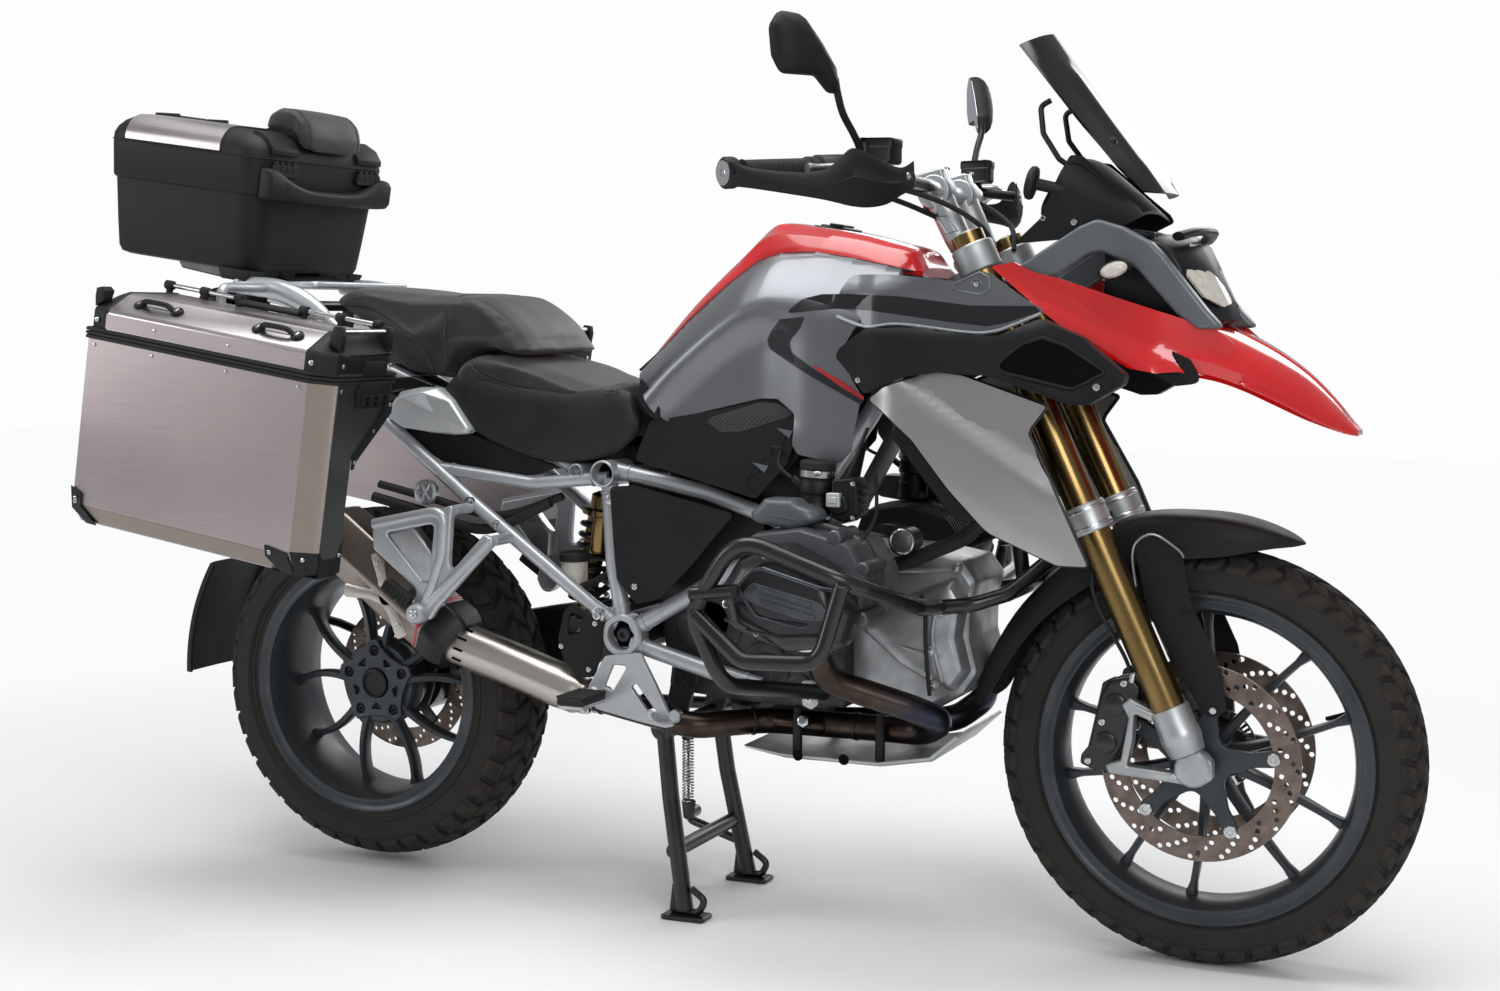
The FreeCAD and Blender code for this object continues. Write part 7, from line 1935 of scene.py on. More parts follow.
pedal = bent([(-870, -180, 350), (-850, -196, 346), (-830, -212, 350), (-800, -240, 360)], 16)
both_sides("foot_pedal",
           merge(sweep(pedal, 6.5, 12),
                 lathe([(11, 0), (11, 8), (9, 10)], (-872, -174, 350), RIGHT, 20),
                 sweep([(-804, -228, 366), (-796, -256, 368)], 9, 12)), BARE_METAL)
HEEL = [(-1040, 512, 8), (-1022, 526, 8), (-990, 508, 10), (-966, 496, 6), (-970, 440, 10),
        (-984, 404, 6), (-1012, 400, 6), (-1040, 426, 10), (-1052, 462, 10)]
both_sides("heel_guard",
           plate([rounded(HEEL, 8),
                  rounded([(-1030, 510), (-1004, 506), (-1012, 476), (-1034, 470)], 5)], -176,
                 -170, 2), BLACK_PLASTIC)
both_sides("heel_guard_screws",
           merge(*[screw((x, -176, z), RIGHT, 5, 3)
                   for x, z in ((-980, 494), (-992, 416), (-1044, 452))]), STEEL)

# Passenger hangers: cast frames with two windows and a knob, folded ribbed pegs
HANG = [(-1377, 640, 6), (-1372, 654, 6), (-1240, 680, 10), (-1216, 688, 8), (-1220, 664, 6),
        (-1228, 568, 10), (-1158, 640, 8), (-1142, 634, 8), (-1140, 622, 8), (-1250, 510, 8),
        (-1264, 490, 10), (-1292, 492, 10), (-1300, 510, 10), (-1290, 540, 10), (-1377, 606, 6)]
GAP = [(-1352, 634, 6), (-1254, 654, 8), (-1266, 556, 8), (-1280, 556, 6)]
for side, s, inner in (("right", -1, 222), ("left", 1, 186)):
    web = plate([rounded(HANG, 8), rounded(GAP, 6)], -inner - 14, -inner, 4)
    knob = lathe([(17, 0), (18, 3), (18, 20), (15, 25), (8, 25)], (-1282, -inner - 10, 502), RIGHT,
                 28)
    stays = [lathe([(9, 174), (9, inner + 2)], (x, 0, z), RIGHT, 18)
             for x, z in ((-1145, 629), (-1222, 677))]
    bars = [sweep(bent([(x, -inner - 12, z) for x, z in line], 30), 9.5, 16)
            for line in ([(-1374, 648), (-1300, 664), (-1232, 678), (-1240, 600), (-1262, 540),
                          (-1284, 504)], [(-1146, 630), (-1284, 502)])]
    shape = merge(web, knob, *stays, *bars)
    more = dict(stands_for="passenger_hangers") if s < 0 else {}
    piece(side + "_hanger_frame", handed(shape, s), FRAME_SILVER, **more)
    infill = plate(rounded([(-1352, 634), (-1300, 648), (-1258, 598), (-1262, 556), (-1282, 550)],
                           8), -inner - 10, -inner + 16, 5)
    piece(side + "_hanger_infill", handed(infill, s), BARE_METAL)
    fold = [block((-1352, -inner - 34, 508), (-1296, -inner - 16, 530), 3)]
    fold += [sweep([(-1350 + 9 * k, -inner - 35, 510), (-1350 + 9 * k, -inner - 35, 528)], 2.4, 8)
             for k in range(7)]
    matrix = (Matrix.Translation((-1296, 0, 519)) @ Matrix.Rotation(math.radians(34), 4, "Y")
              @ Matrix.Translation((1296, 0, -519)))
    fold = moved(merge(*fold), matrix)
    piece(side + "_passenger_peg", handed(fold, s), SOFT_RUBBER, bevel=1)
    bolt = screw((-1282, -inner - 35, 502), RIGHT, 8, 4)
    piece(side + "_hanger_bolt", handed(bolt, s), STEEL)

# Centre stand: two legs, cross tube, curled feet, tread lever and its twin springs
legs = []
for s in (-1, 1):
    legs.append(sweep(bent([(-886, s * 108, 314), (-872, s * 114, 200), (-838, s * 130, 14)], 120,
                           8), 14.5, 18))
    legs.append(lathe([(20, 88), (20, 120), (18, 122)], (-886, 0, 314), (0, s, 0), 28))
    foot = rounded([(-874, s * 130 - 24), (-796, s * 130 - 22), (-796, s * 130 + 22),
                    (-874, s * 130 + 24)], 8)
    legs.append(plate(foot, 0.5, 8, 2, "xy"))
    legs.append(sweep(bent([(-848, s * 130, 12), (-812, s * 130, 12), (-800, s * 130, 34),
                            (-826, s * 130, 52)], 14), 6, 12))
    legs.append(plate(rounded([(-866, 8), (-836, 8), (-846, 60), (-860, 60)], 6), -s * 130 - 3,
                      -s * 130 + 3, 1))
legs.append(sweep([(-861, -128, 110), (-861, 128, 110)], 13, 18))
legs.append(sweep(bent([(-856, 128, 70), (-960, 148, 92), (-976, 188, 95)], 20), 8, 14))
legs.append(sweep([(-975, 170, 95), (-977, 206, 96)], 11, 14))
piece("centre_stand_frame", merge(*legs), BLACK_STEEL, body="centre_stand",
      stands_for="centre_stand")
for name, y in (("inner", -52), ("outer", -66)):
    wire = []
    for k in range(22 * 12 + 1):
        a = 2 * math.pi * k / 12
        wire.append((-866 + 6 * math.cos(a), y + 6 * math.sin(a), 292 - 110 * k / 264))
    piece("stand_spring_" + name, sweep(wire, 1.5, 6), STEEL)
piece("stand_spring_hook",
      merge(plate(rounded([(-878, 184), (-852, 184), (-856, 150), (-874, 150)], 4), -62, -56, 1.5),
            sweep([(-866, -44, 294), (-866, -74, 294)], 5, 10)), CAST_DARK, slot="steel_black")
side_leg = [sweep(bent([(-800, 150, 318), (-900, 168, 306), (-1070, 176, 300)], 120, 8), 11.5, 16),
            plate(rounded([(-1098, 158), (-1050, 160), (-1050, 194), (-1098, 196)], 8), 296, 304,
                  2, "xy"), lathe([(17, -14), (17, 10), (14, 12), (8, 12)], (-800, 150, 318),
                                  (0, 0.9592, 0.2827), 28)]
piece("side_stand_leg", merge(*side_leg), BLACK_STEEL, body="side_stand", stands_for="side_stand")

# Rear mudguard, tail bracket, lamps and number plate
guard_rows = []
for k in range(13):
    a = 148 + 32 * k / 12
    r = REAR_AXLE[2] + 58
    guard_rows.append([around(REAR_AXLE, a, r + dr, y) for y, dr in (
        (-90, -10), (-86, 2), (-70, 5), (0, 7), (70, 5), (86, 2), (90, -10), (85, -11), (80, -1),
        (0, 2), (-80, -1), (-85, -11))])
holder = [sweep(bent([(-1537, 134, 354), (-1700, 122, 410), (-1835, 92, 440)], 60, 8), 8.5, 14)]
piece("rear_mudguard_shell", rings(guard_rows), BLACK_PLASTIC, stands_for="rear_mudguard")
piece("mudguard_holder", merge(*holder), BLACK_STEEL)
tail_line = flowing([(-1765, 0, 1074), (-1790, 0, 1030), (-1806, 0, 970), (-1815, 0, 902)], 5)
plate_back = plate(rounded([(-75, 850), (75, 850), (75, 960), (-75, 960)], 10), -1846, -1838, 2,
                   "yz")
piece("tail_arm", merge(sweep(tail_line, 22, 16, wide=1.5), plate_back), BLACK_PLASTIC,
      stands_for="tail_bracket")
piece("number_plate", plate(rounded([(-70, 855), (70, 855), (70, 955), (-70, 955)], 8), -1848.5,
                            -1846.5, 0.6, "yz"), RAIL_PALE, slot="bare_aluminium")
tail_lamp = rings([[(x, y * w, 1032 + z * h) for y, z in circle(1, steps=28)] for x, w, h in (
    (-1842, 58, 20), (-1876, 58, 20), (-1880, 50, 16), (-1881, 30, 9))])
piece("tail_lamp_lens", tail_lamp, RED_LENS)
piece("tail_lamp_case",
      merge(rings([[(x, y * w, 1032 + z * h) for y, z in circle(1, steps=28)] for x, w, h in (
          (-1830, 40, 14), (-1838, 62, 23), (-1864, 63, 24), (-1866, 60, 22))]),
            sweep([(-1835, 0, 1020), (-1802, 0, 1004)], 15, 12)), SATIN_BLACK)
both_sides("rear_indicator", merge(sweep([(-1800, -36, 1000), (-1800, -112, 1000)], 7, 12),
                                   rings([[(-1800 + u * g, y, 1000 + v * g * 0.8)
                                           for u, v in pod_ring]
                                          for y, g in ((-110, 0.4), (-113, 0.8), (-146, 0.8),
                                                       (-150, 0.6))])), SATIN_BLACK)
both_sides("rear_indicator_lens",
           rings([[(x, -131 + u * 0.72, 1000 + v * 0.66) for u, v in pod_ring]
                  for x in (-1812, -1819)]), CLEAR_LENS, bevel=2)
carriers = []
for s, hang in ((-1, 292.8), (1, 204.8)):
    carriers += [sweep(bent([(-1640, 172.5 * s, 1050), (-1640, hang * s, 1050),
                             (-1640, hang * s, 800)], 20), 8.6, 14),
                 sweep(bent([(-1520, 172.5 * s, 1003), (-1520, hang * s, 1003),
                             (-1420, hang * s, 930), (-1400, hang * s, 760),
                             (-1645, hang * s, 800)], 26), 8.6, 14)]
piece("case_carrier_tubes", merge(*carriers), FRAME_SILVER, stands_for="case_carriers")

# Side cases: folded aluminium sheet with riveted corners; each has its own frame with u from its
# rear end, v inwards from its outer face and w up from the rim
PITCH_SIDE, PITCH_TOP = math.radians(9), math.radians(8)
CASE_X, CASE_Z, CASE_LONG, CASE_DEEP = -1760, 978, 478, 188
TOP_X, TOP_Z = -1998, 1122
CASE_AHEAD = (1, 0, -0.16)


class SideCase:
    """One side case: its outer face, and how far its floor reaches inwards. A stepped one has a
    narrow floor, which leaves room for the silencer."""

    def __init__(self, side, outer, floor):
        self.name, self.sign = side, -1 if side == "right" else 1
        self.outer, self.floor = outer, floor
        self.stepped = floor < 120

    def at(self, u, v, w):
        return (CASE_X + u * math.cos(PITCH_SIDE) + w * math.sin(PITCH_SIDE),
                self.sign * (self.outer - v),
                CASE_Z - u * math.sin(PITCH_SIDE) + w * math.cos(PITCH_SIDE))

    def outline(self, w, deep, grow=0.0):
        """Section at a height: its front outer corner is bevelled."""
        corner = 34
        low = 24 * max(-290 - w, 0) / 34
        rim = [(-grow, low - grow), (CASE_LONG + grow - corner, low - grow),
               (CASE_LONG + grow, low - grow + corner), (CASE_LONG + grow, deep + grow),
               (-grow, deep + grow)]
        return [self.at(u, v, w) for u, v in rounded(rim, 5)]

    def slab(self, corners, thick):
        """Thin sheet over a flat face: corners go round it and thick points out of it."""
        top = [tuple(a + b for a, b in zip(corner, thick)) for corner in corners]
        return rings([[self.at(*c) for c in corners], [self.at(*c) for c in top]])


def lid_section(case, u, grow=0.0, top_grow=0.0):
    """Section of a side case's lid across its width."""
    inner, slope = 178, 52 if case.stepped else 40
    line = [(-grow, 1), (-grow, 34), (4 - grow, 40), (slope - 4, 64 + top_grow),
            (slope + 4, 67 + top_grow), (inner - 4, 67 + top_grow), (inner + 4, 62 + top_grow),
            (CASE_DEEP + grow, 36), (CASE_DEEP + grow, 1)]
    return [case.at(u, v, w) for v, w in line]


for case in (SideCase("right", 485, 94), SideCase("left", 402, 186)):
    side, lid = case.name, case.name + "_lid"
    sections = [case.outline(-324, case.floor - 2), case.outline(-322, case.floor),
                case.outline(-290, case.floor), case.outline(-135, case.floor),
                case.outline(-38, CASE_DEEP), case.outline(-9, CASE_DEEP)]
    piece(side + "_case_shell", rings(sections), CASE_ALUMINIUM, stands_for=side + "_case_box",
          bevel=1.6, crease=20)
    # painted shade: darker sheet over the front corner bevel and the lower bevel
    shade = [case.slab([(446, -0.3, -288), (477.6, 32, -288), (477.6, 32, -12), (446, -0.3, -12)],
                       (0.6, -0.6, 0))]
    shade.append(case.slab([(22, 1.5, -292), (440, 1.5, -292), (440, 22, -321), (22, 22, -321)],
                           (0, -0.7, -0.4)))
    piece(side + "_case_folds", merge(*shade), CASE_SHADE)
    # painted shade: the front face in a darker copy of the sheet
    front = case.slab([(478.4, 36, -318), (478.4, case.floor - 3, -318),
                       (478.4, case.floor - 3, -137), (478.4, 184, -40), (478.4, 184, -12),
                       (478.4, 36, -12)], (0.6, 0, 0))
    piece(side + "_case_front", front, CASE_FRONT_SHADE)
    lips = [case.outline(w, CASE_DEEP, g)
            for w, g in ((-13, 0.5), (-12.4, 3), (-10, 3.6), (-7.4, 3), (-6.4, 1.4), (-5.6, 3),
                         (-3, 4), (-0.8, 3.4), (-0.6, 0))]
    piece(side + "_case_seal", rings(lips), SOFT_RUBBER, slot="case_black")
    hood = [case.outline(w, CASE_DEEP, g)
            for w, g in ((0.6, 0), (0.8, 3.4), (3, 4), (5.6, 3), (6.4, 0.8))]
    piece(side + "_lid_seal", rings(hood), SOFT_RUBBER, body=lid, slot="case_black")
    lid_rows = [lid_section(case, u, -g, -top) for u, g, top in ((30, 0.5, 0), (442, 0.5, 0))]
    piece(side + "_lid_sheet", rings(lid_rows), LID_ALUMINIUM, body=lid,
          stands_for=side + "_case_lid", bevel=1.4, crease=20)
    strip = case.slab([(34, -0.2, 8), (438, -0.2, 8), (438, -0.2, 32), (34, -0.2, 32)],
                      (0, -0.8, 0))
    piece(side + "_lid_strip", strip, CASE_ALUMINIUM, body=lid)
    # faceted end caps with a chamfered corner
    caps = []
    for ends in (((-1.5, 12, 20), (8, 4, 8), (30, -1.4, -1.4), (36, -1.4, -1.4)),
                 ((434, -1.4, -1.4), (440, -1.4, -1.4), (452, -1, 0), (479.5, 24, 30))):
        caps.append(rings([lid_section(case, u, -g, -top) for u, g, top in ends]))
    piece(side + "_lid_end_caps", merge(*caps), CASE_BLACK, body=lid, bevel=1.5, crease=25)
    cap_screws = [screw(case.at(u, -1.4, 20), (0, case.sign, 0), 4.5, 2.4) for u in (18, 448)]
    cap_screws += [screw(case.at(479, v, 18), CASE_AHEAD, 4, 2.4) for v in (40, 172)]
    rivets = [screw(case.at(u, -0.6, w), (0, case.sign, 0), 3.4, 2, False)
              for u, w in ((136, 20), (286, 20))]
    piece(side + "_lid_rivets", merge(*cap_screws, *rivets), STEEL, body=lid)
    # lashing eyes on the slope: an open bow between two screwed ends
    slope_v, slope_w = 26 if case.stepped else 20, 52
    eyes, eye_screws = [], []
    for u in (118, 358):
        bow = [case.at(u - 34, slope_v, slope_w), case.at(u - 26, slope_v - 5, slope_w + 8),
               case.at(u - 16, slope_v - 7, slope_w + 11),
               case.at(u + 16, slope_v - 7, slope_w + 11),
               case.at(u + 26, slope_v - 5, slope_w + 8), case.at(u + 34, slope_v, slope_w)]
        eyes.append(sweep(flowing(bow, 4), 4.6, 10, wide=1.2))
        under = [case.at(u - 30, slope_v + 4, slope_w - 2),
                 case.at(u + 30, slope_v + 4, slope_w - 2)]
        eyes.append(sweep(under, 4, 8))
        normal = (0, case.sign * 0.5, 0.85)
        for end in (-38, 38):
            eyes.append(lathe([(11, -3), (11, 2), (9, 4), (6, 4)],
                              case.at(u + end, slope_v, slope_w + 2), normal, 20))
            eye_screws.append(screw(case.at(u + end, slope_v - 1.6, slope_w + 5), normal, 5, 3))
    piece(side + "_lashing_eyes", merge(*eyes), CASE_BLACK, body=lid)
    piece(side + "_eye_screws", merge(*eye_screws), STEEL, body=lid)
    # rails along the lid's top and across its front
    rails = [sweep([case.at(20, 168, 80), case.at(170, 168, 80)], 4, 12),
             sweep([case.at(300, 168, 80), case.at(452, 168, 80)], 4, 12),
             sweep([case.at(470, 40, 72), case.at(470, 164, 72)], 4.6, 12)]
    piece(side + "_lid_rails", merge(*rails), STEEL, body=lid)
    holders = []
    for u in (20, 96, 168, 302, 376, 450):
        holders.append(lathe([(7.5, -8), (8, -7), (8, 7), (7.5, 8)], case.at(u, 168, 80),
                             CASE_AHEAD, 16))
        holders.append(sweep([case.at(u, 168, 64), case.at(u, 168, 78)], 6, 10))
    for v in (34, 166):
        holders.append(rings([[case.at(u, v + d, w) for u, w in (
            (456, 50), (478, 40), (480, 66), (476, 80), (462, 80), (456, 66))] for d in (-6, 6)]))
    holders.append(rings([[case.at(u, 22 + d, w) for u, w in (
        (-1, 40), (14, 50), (18, 68), (10, 74), (-2, 70), (-3, 56))] for d in (-10, 12)]))
    holders.append(sweep([case.at(172, 168, 74), case.at(298, 168, 74)], 6, 8, wide=2))
    piece(side + "_rail_holders", merge(*holders), CASE_BLACK, body=lid, bevel=1.2, crease=40)
    # latch over the seam on the front face, with six holes
    latch = [(479.5, 84, -50), (479.5, 168, -50), (479.5, 172, -24), (479.5, 166, -8),
             (479.5, 90, -8), (479.5, 80, -24)]
    plates = [case.slab(latch, (7, 0, 0)),
              case.slab([(486, 90, -46), (486, 162, -46), (486, 162, -28), (486, 90, -28)],
                        (4, 0, 0))]
    piece(side + "_case_latch", merge(*plates), CASE_BLACK, bevel=1.4, crease=30)
    flap = case.slab([(474, 92, 3), (474, 160, 3), (474, 154, 26), (474, 98, 26)], (9, 0, 0))
    piece(side + "_latch_flap", flap, CASE_BLACK, body=lid, bevel=1.4, crease=30)
    # painted shade: near-black dots on the latch stand for its six holes
    holes = [lathe([(4, 0), (4, 0.5), (0.01, 0.5)], case.at(490, 102 + 24 * k, -33 - 9 * j),
                   CASE_AHEAD, 12) for k in range(3) for j in range(2)]
    piece(side + "_latch_holes", merge(*holes), PAINTED_SHADE, slot="case_black")
    # corner guards at the floor, edge strip of the step, and the rivets of the shell
    guards = [case.slab([(398, -1, -282), (446, -1, -288), (446, -1, -294), (446, 22, -324),
                         (418, 22, -324), (400, 2, -300)], (0, -2.4, -0.6)),
              case.slab([(446, -1, -284), (479, 33, -284), (479, 33, -316), (468, 40, -326),
                         (446, 22, -326)], (1.6, -1.6, -0.8)),
              case.slab([(478.4, 33, -284), (478.4, 44, -296), (478.4, case.floor - 14, -296),
                         (478.4, case.floor, -270), (478.4, case.floor, -322), (478.4, 36, -325)],
                        (2.4, 0, 0)),
              case.slab([(-2, -1.4, -262), (22, -1.4, -272), (22, -1.4, -292), (40, 21, -325),
                         (14, 26, -326), (-2, 6, -300)], (0, -2.2, -0.8)),
              case.slab([(398, 16, -324.4), (479, 30, -324.4), (479, case.floor - 4, -324.4),
                         (398, case.floor - 4, -324.4)], (0, 0, -2.4))]
    if case.stepped:
        guards.append(case.slab([(479, 190, -62), (479, 190, -34), (479, 168, -48),
                                 (479, 92, -128), (479, 92, -152), (479, 100, -152),
                                 (479, 104, -140)], (1.8, 0, 0)))
    piece(side + "_case_guards", merge(*guards), CASE_BLACK, bevel=1.0, crease=30)
    outwards = (0, case.sign, 0)
    studs = [screw(case.at(u, 0, -22), outwards, 3.2, 1.8, False) for u in (16, 136, 286, 428)]
    studs += [screw(case.at(u, -3, w), outwards, 4, 2.4, False)
              for u, w in ((410, -292), (10, -282))]
    studs += [screw(case.at(462, 14, -296), (0.7, case.sign * 0.7, 0), 4, 2.4, False),
              screw(case.at(480.6, case.floor - 8, -292), CASE_AHEAD, 4, 2.4, False),
              screw(case.at(479, 44, -22), CASE_AHEAD, 3.2, 1.8, False)]
    if case.stepped:
        studs += [screw(case.at(480.8, v, w), CASE_AHEAD, 3.6, 2.2, False)
                  for v, w in ((182, -48), (144, -90), (99, -140))]
    piece(side + "_case_rivets", merge(*studs), STEEL)
    frame_hooks = [lathe([(13, 0), (13, 10), (9, 14), (0.01, 14)], case.at(u, 189, w),
                         (0, -case.sign, 0), 20) for u, w in ((110, -30), (330, -30), (236, -34))]
    piece(side + "_carrier_knobs", merge(*frame_hooks), CASE_BLACK)

# Top case: moulded tub with a stepped rim, aluminium panel on the lid, hinges and a handle


def top_at(u, y, w):
    return (TOP_X + u * math.cos(PITCH_TOP) + w * math.sin(PITCH_TOP), y,
            TOP_Z - u * math.sin(PITCH_TOP) + w * math.cos(PITCH_TOP))


def top_block(outline, y, *cuts):
    """Outline in u and w, drawn out across the top case about y."""
    return rings([[top_at(u, y + d, w) for u, w in outline] for d in cuts])


def tub(w, back, front, half, radius):
    return [top_at(u, y, w)
            for u, y in rounded([(back, -half), (front, -half), (front, half), (back, half)],
                                radius, 8)]


tub_rows = [tub(*row) for row in ((2, 34, 312, 146, 40), (0.5, 24, 322, 156, 44),
                                  (4, 15, 331, 165, 46), (14, 11, 335, 169.5, 46),
                                  (60, 8, 338, 175, 46), (136, 5, 341, 184, 46),
                                  (138, 3.4, 343, 188, 46), (142, 2.4, 344.5, 190.5, 46),
                                  (196, 0.8, 347, 195.6, 46), (202, 1, 347, 196, 46),
                                  (203.6, 3, 345, 194, 46))]
piece("top_case_tub", rings(tub_rows), CASE_BLACK, stands_for="top_case_box", crease=28)
hood_rows = [tub(*row) for row in ((204.6, 3, 345, 194, 46), (206, 0.8, 347, 196, 46),
                                   (216, 1, 346, 195.4, 46), (228, 5, 342, 190, 46),
                                   (239, 13, 333, 181, 44), (247, 24, 320, 169, 40),
                                   (251, 40, 300, 150, 36), (252, 70, 270, 110, 30))]
piece("top_case_hood", rings(hood_rows), CASE_BLACK, body="top_lid", stands_for="top_case_lid",
      crease=28)
seam_line = [top_at(u, y, 204.1)
             for u, y in rounded([(0, -196), (347, -196), (347, 196), (0, 196)], 46, 8)]
piece("top_case_seam", sweep(seam_line + seam_line[:1], 1.6, 6), SOFT_RUBBER, slot="case_black")
across = [(-198.4, 207), (-198, 218), (-193, 231), (-184, 242), (-171, 250), (-150, 254),
          (-90, 255.6), (0, 256)]
across += [(-y, w) for y, w in reversed(across[:-1])]
panel_line = flowing(across, 4)
panel = rings([[top_at(u, y, w) for y, w in panel_line] + [
    top_at(u, y * 0.97, w - 3) for y, w in reversed(panel_line)] for u in (50, 52, 258, 260)])
piece("top_lid_panel", panel, LID_ALUMINIUM, body="top_lid", crease=40)
rails = [sweep(bent([top_at(20, y, 246), top_at(8, y, 256), top_at(60, y, 259)], 12), 4, 10)
         for y in (-70, 70)]
rails.append(sweep([top_at(8, -70, 256), top_at(8, 70, 256)], 4, 10))
piece("top_lid_pull", merge(*rails), CASE_BLACK, body="top_lid")
plinth_rows = []
for high, end, half in ((238, 338, 82), (250, 344, 84), (256, 344, 84), (258, 340, 80)):
    outline = rounded([(262, -half), (end, -half), (end, half), (262, half)], 16)
    plinth_rows.append([top_at(u, y, high) for u, y in outline])
piece("backrest_plinth", rings(plinth_rows), CASE_BLACK, body="top_lid", bevel=2, crease=40)
hinge_low, hinge_up = [], []
for y in (-128, 128):
    for k in range(4):
        hinge_low.append(plate(
            rounded([(y - 34 + 17 * k, -12), (y - 24 + 17 * k, -12), (y - 25 + 17 * k, 5),
                     (y - 33 + 17 * k, 5)], 2), -4, 5, 1.5, "yz"))
    hinge_low.append(plate(rounded([(y - 40, -22), (y + 40, -22), (y + 34, 0), (y - 34, 0)], 5),
                           -4, 4, 2, "yz"))
    hinge_up.append(top_block(((352, 212), (352, 222), (338, 240), (312, 252), (300, 250),
                               (330, 234), (342, 214)), y, -38, 38))
lower = merge(*hinge_low)
piece("top_case_hinges", ([tuple(top_at(351 + x, y, 196 + z)) for x, y, z in lower[0]], lower[1]),
      CASE_BLACK)
piece("top_lid_hinge_plates", merge(*hinge_up), CASE_BLACK, body="top_lid", bevel=2, crease=30)
grip_line = [(-188, 134, 186), (-166, 132, 188), (-120, 131, 170), (-70, 130, 158), (0, 129, 156),
             (70, 130, 158), (120, 131, 170), (160, 132, 188), (182, 134, 186)]
grip = []
for y, low, high in flowing(grip_line, 4):
    grip.append([top_at(u, y, low + (high - low) * t) for u, t in (
        (344, 0), (362, 0.02), (369, 0.2), (370, 0.8), (364, 0.97), (344, 1))])
piece("top_case_handle", rings(grip), CASE_BLACK, bevel=3, crease=40)
feet = []
for y in (-150, -60, 60, 150):
    feet.append(top_block(((268, -16), (322, -16), (332, 4), (258, 4)), y, -22, -20, 20, 22))
for y in (-104, 104):
    feet.append(top_block(((300, -12), (326, -10), (330, 10), (300, 2)), y, -30, 30))
feet.append(top_block(((110, -20), (168, -20), (176, 4), (100, 4)), 0, -60, -57, 57, 60))
piece("top_case_feet", merge(*feet), CASE_BLACK, bevel=2, crease=40)
lock = moved(merge(lathe([(14, 0), (14, 4), (11, 6), (0.01, 6)], axis=UP, steps=26),
                   block((-2, -7, 5.6), (2, 7, 6.6), 0.4)),
             facing(top_at(-0.5, 0, 176), (-1, 0, 0)))
piece("top_case_lock", lock, STEEL)

# Rack: two pale cast arms, a slotted plate between them and its cross bars
arm = [(-1712, 160, 1056), (-1668, 160, 1053), (-1612, 160, 1046), (-1566, 160, 1027),
       (-1530, 160, 1005), (-1497, 160, 978)]
for side, s in SIDES:
    line = [(x, s * y, z) for x, y, z in flowing(arm, 6)]
    sizes = [9 + 6 * math.sin(math.pi * min(k / 26, 1)) ** 0.5 for k in range(len(line))]
    inner = [(x, s * 157, z)
             for x, _, z in flowing([(-1640, 0, 1030), (-1600, 0, 1020), (-1560, 0, 996),
                                     (-1510, 0, 972)], 5)]
    cap = lathe([(13, -2), (13, 2), (9, 5), (0.01, 5)], (-1700, s * 160, 1064), UP, 24)
    more = dict(stands_for="luggage_rack") if s < 0 else {}
    piece(side + "_rack_arm",
          merge(sweep(line, sizes, 18, wide=1.25, up=LEFT), sweep(inner, 5, 12, wide=1.6),
                sweep([(-1506, s * 158, 984), (-1506, s * 124, 972)], 8, 12), cap), RAIL_PALE,
          **more)
windows = [rounded([(-1676 + 46 * k, -60), (-1644 + 46 * k, -60), (-1644 + 46 * k, 60),
                    (-1676 + 46 * k, 60)], 12) for k in range(3)]
piece("rack_plate", merge(
    plate([rounded([(-1706, -148), (-1546, -148), (-1546, 148), (-1706, 148)], 20)] + windows,
          1051, 1062, 3, "xy")), RAIL_PALE)
bridge = plate(rounded([(-1900, 1108), (-1680, 1077), (-1640, 1063), (-1700, 1052), (-1890, 1090)],
                       8), -88, 88, 3)
bars = [sweep([(-1558, -150, 1019), (-1558, 150, 1019)], 9, 16)]
bars += [sweep([(-1618, 113 * s, 1050), (-1618, 113 * s, 1008)], 8, 14) for s in (-1, 1)]
piece("rack_bridge", merge(bridge, *bars), BLACK_STEEL)

# Handlebar: tapered tube on two risers, with clamps, grips, switches, levers and mirrors
BAR = [(-430, 30, 1196), (-425, 120, 1198), (-470, 230, 1214), (-528, 330, 1216),
       (-600, 445, 1206)]
right_bar = [(x, -y, z) for x, y, z in BAR]
bar_path = bent([(x, y, z) for x, y, z in reversed(BAR)] + right_bar, 90, 10)
thick = [11 + 4.5 * soft_step((190 - abs(point[1])) / 90) for point in bar_path]
piece("handlebar_tube", sweep(bar_path, thick, 20), BARE_METAL, "steering", stands_for="handlebar")
risers, riser_bolts, windows = [], [], []
for y in (-62, 62):
    base, top = Vector(along_fork(846, y, -26)), Vector((-430, y, 1196))
    rise = (top - base).normalized()
    risers.append(sweep([base + rise * 26, base + rise * 44, top - rise * 20, top],
                        [19, 21, 22, 24], 20))
    risers.append(lathe([(15.6, -20), (25, -20), (27, -17), (27, 17), (25, 20), (15.6, 20)], top,
                        LEFT, 32))
    cap = moved(plate(rounded([(-24, -12), (26, -14), (24, 14), (-20, 14)], 6), -16, 16, 3),
                Matrix.Translation(top + rise * 20) @ Matrix.Rotation(math.radians(-14), 4, "Y"))
    risers.append(cap)
    for ahead in (-16, 16):
        riser_bolts.append(screw((top.x + ahead, y, top.z + 31 + ahead * 0.24), (0.2, 0, 1), 4.6,
                                 4))
    s = -1 if y < 0 else 1
    rim = [(base + rise * d + Vector((a, s * 21.2, 0)))
           for d, a in ((52, -8), (80, -12), (82, 6), (56, 12))]
    windows.append(sweep([*rim, rim[0]], 1.4, 6))
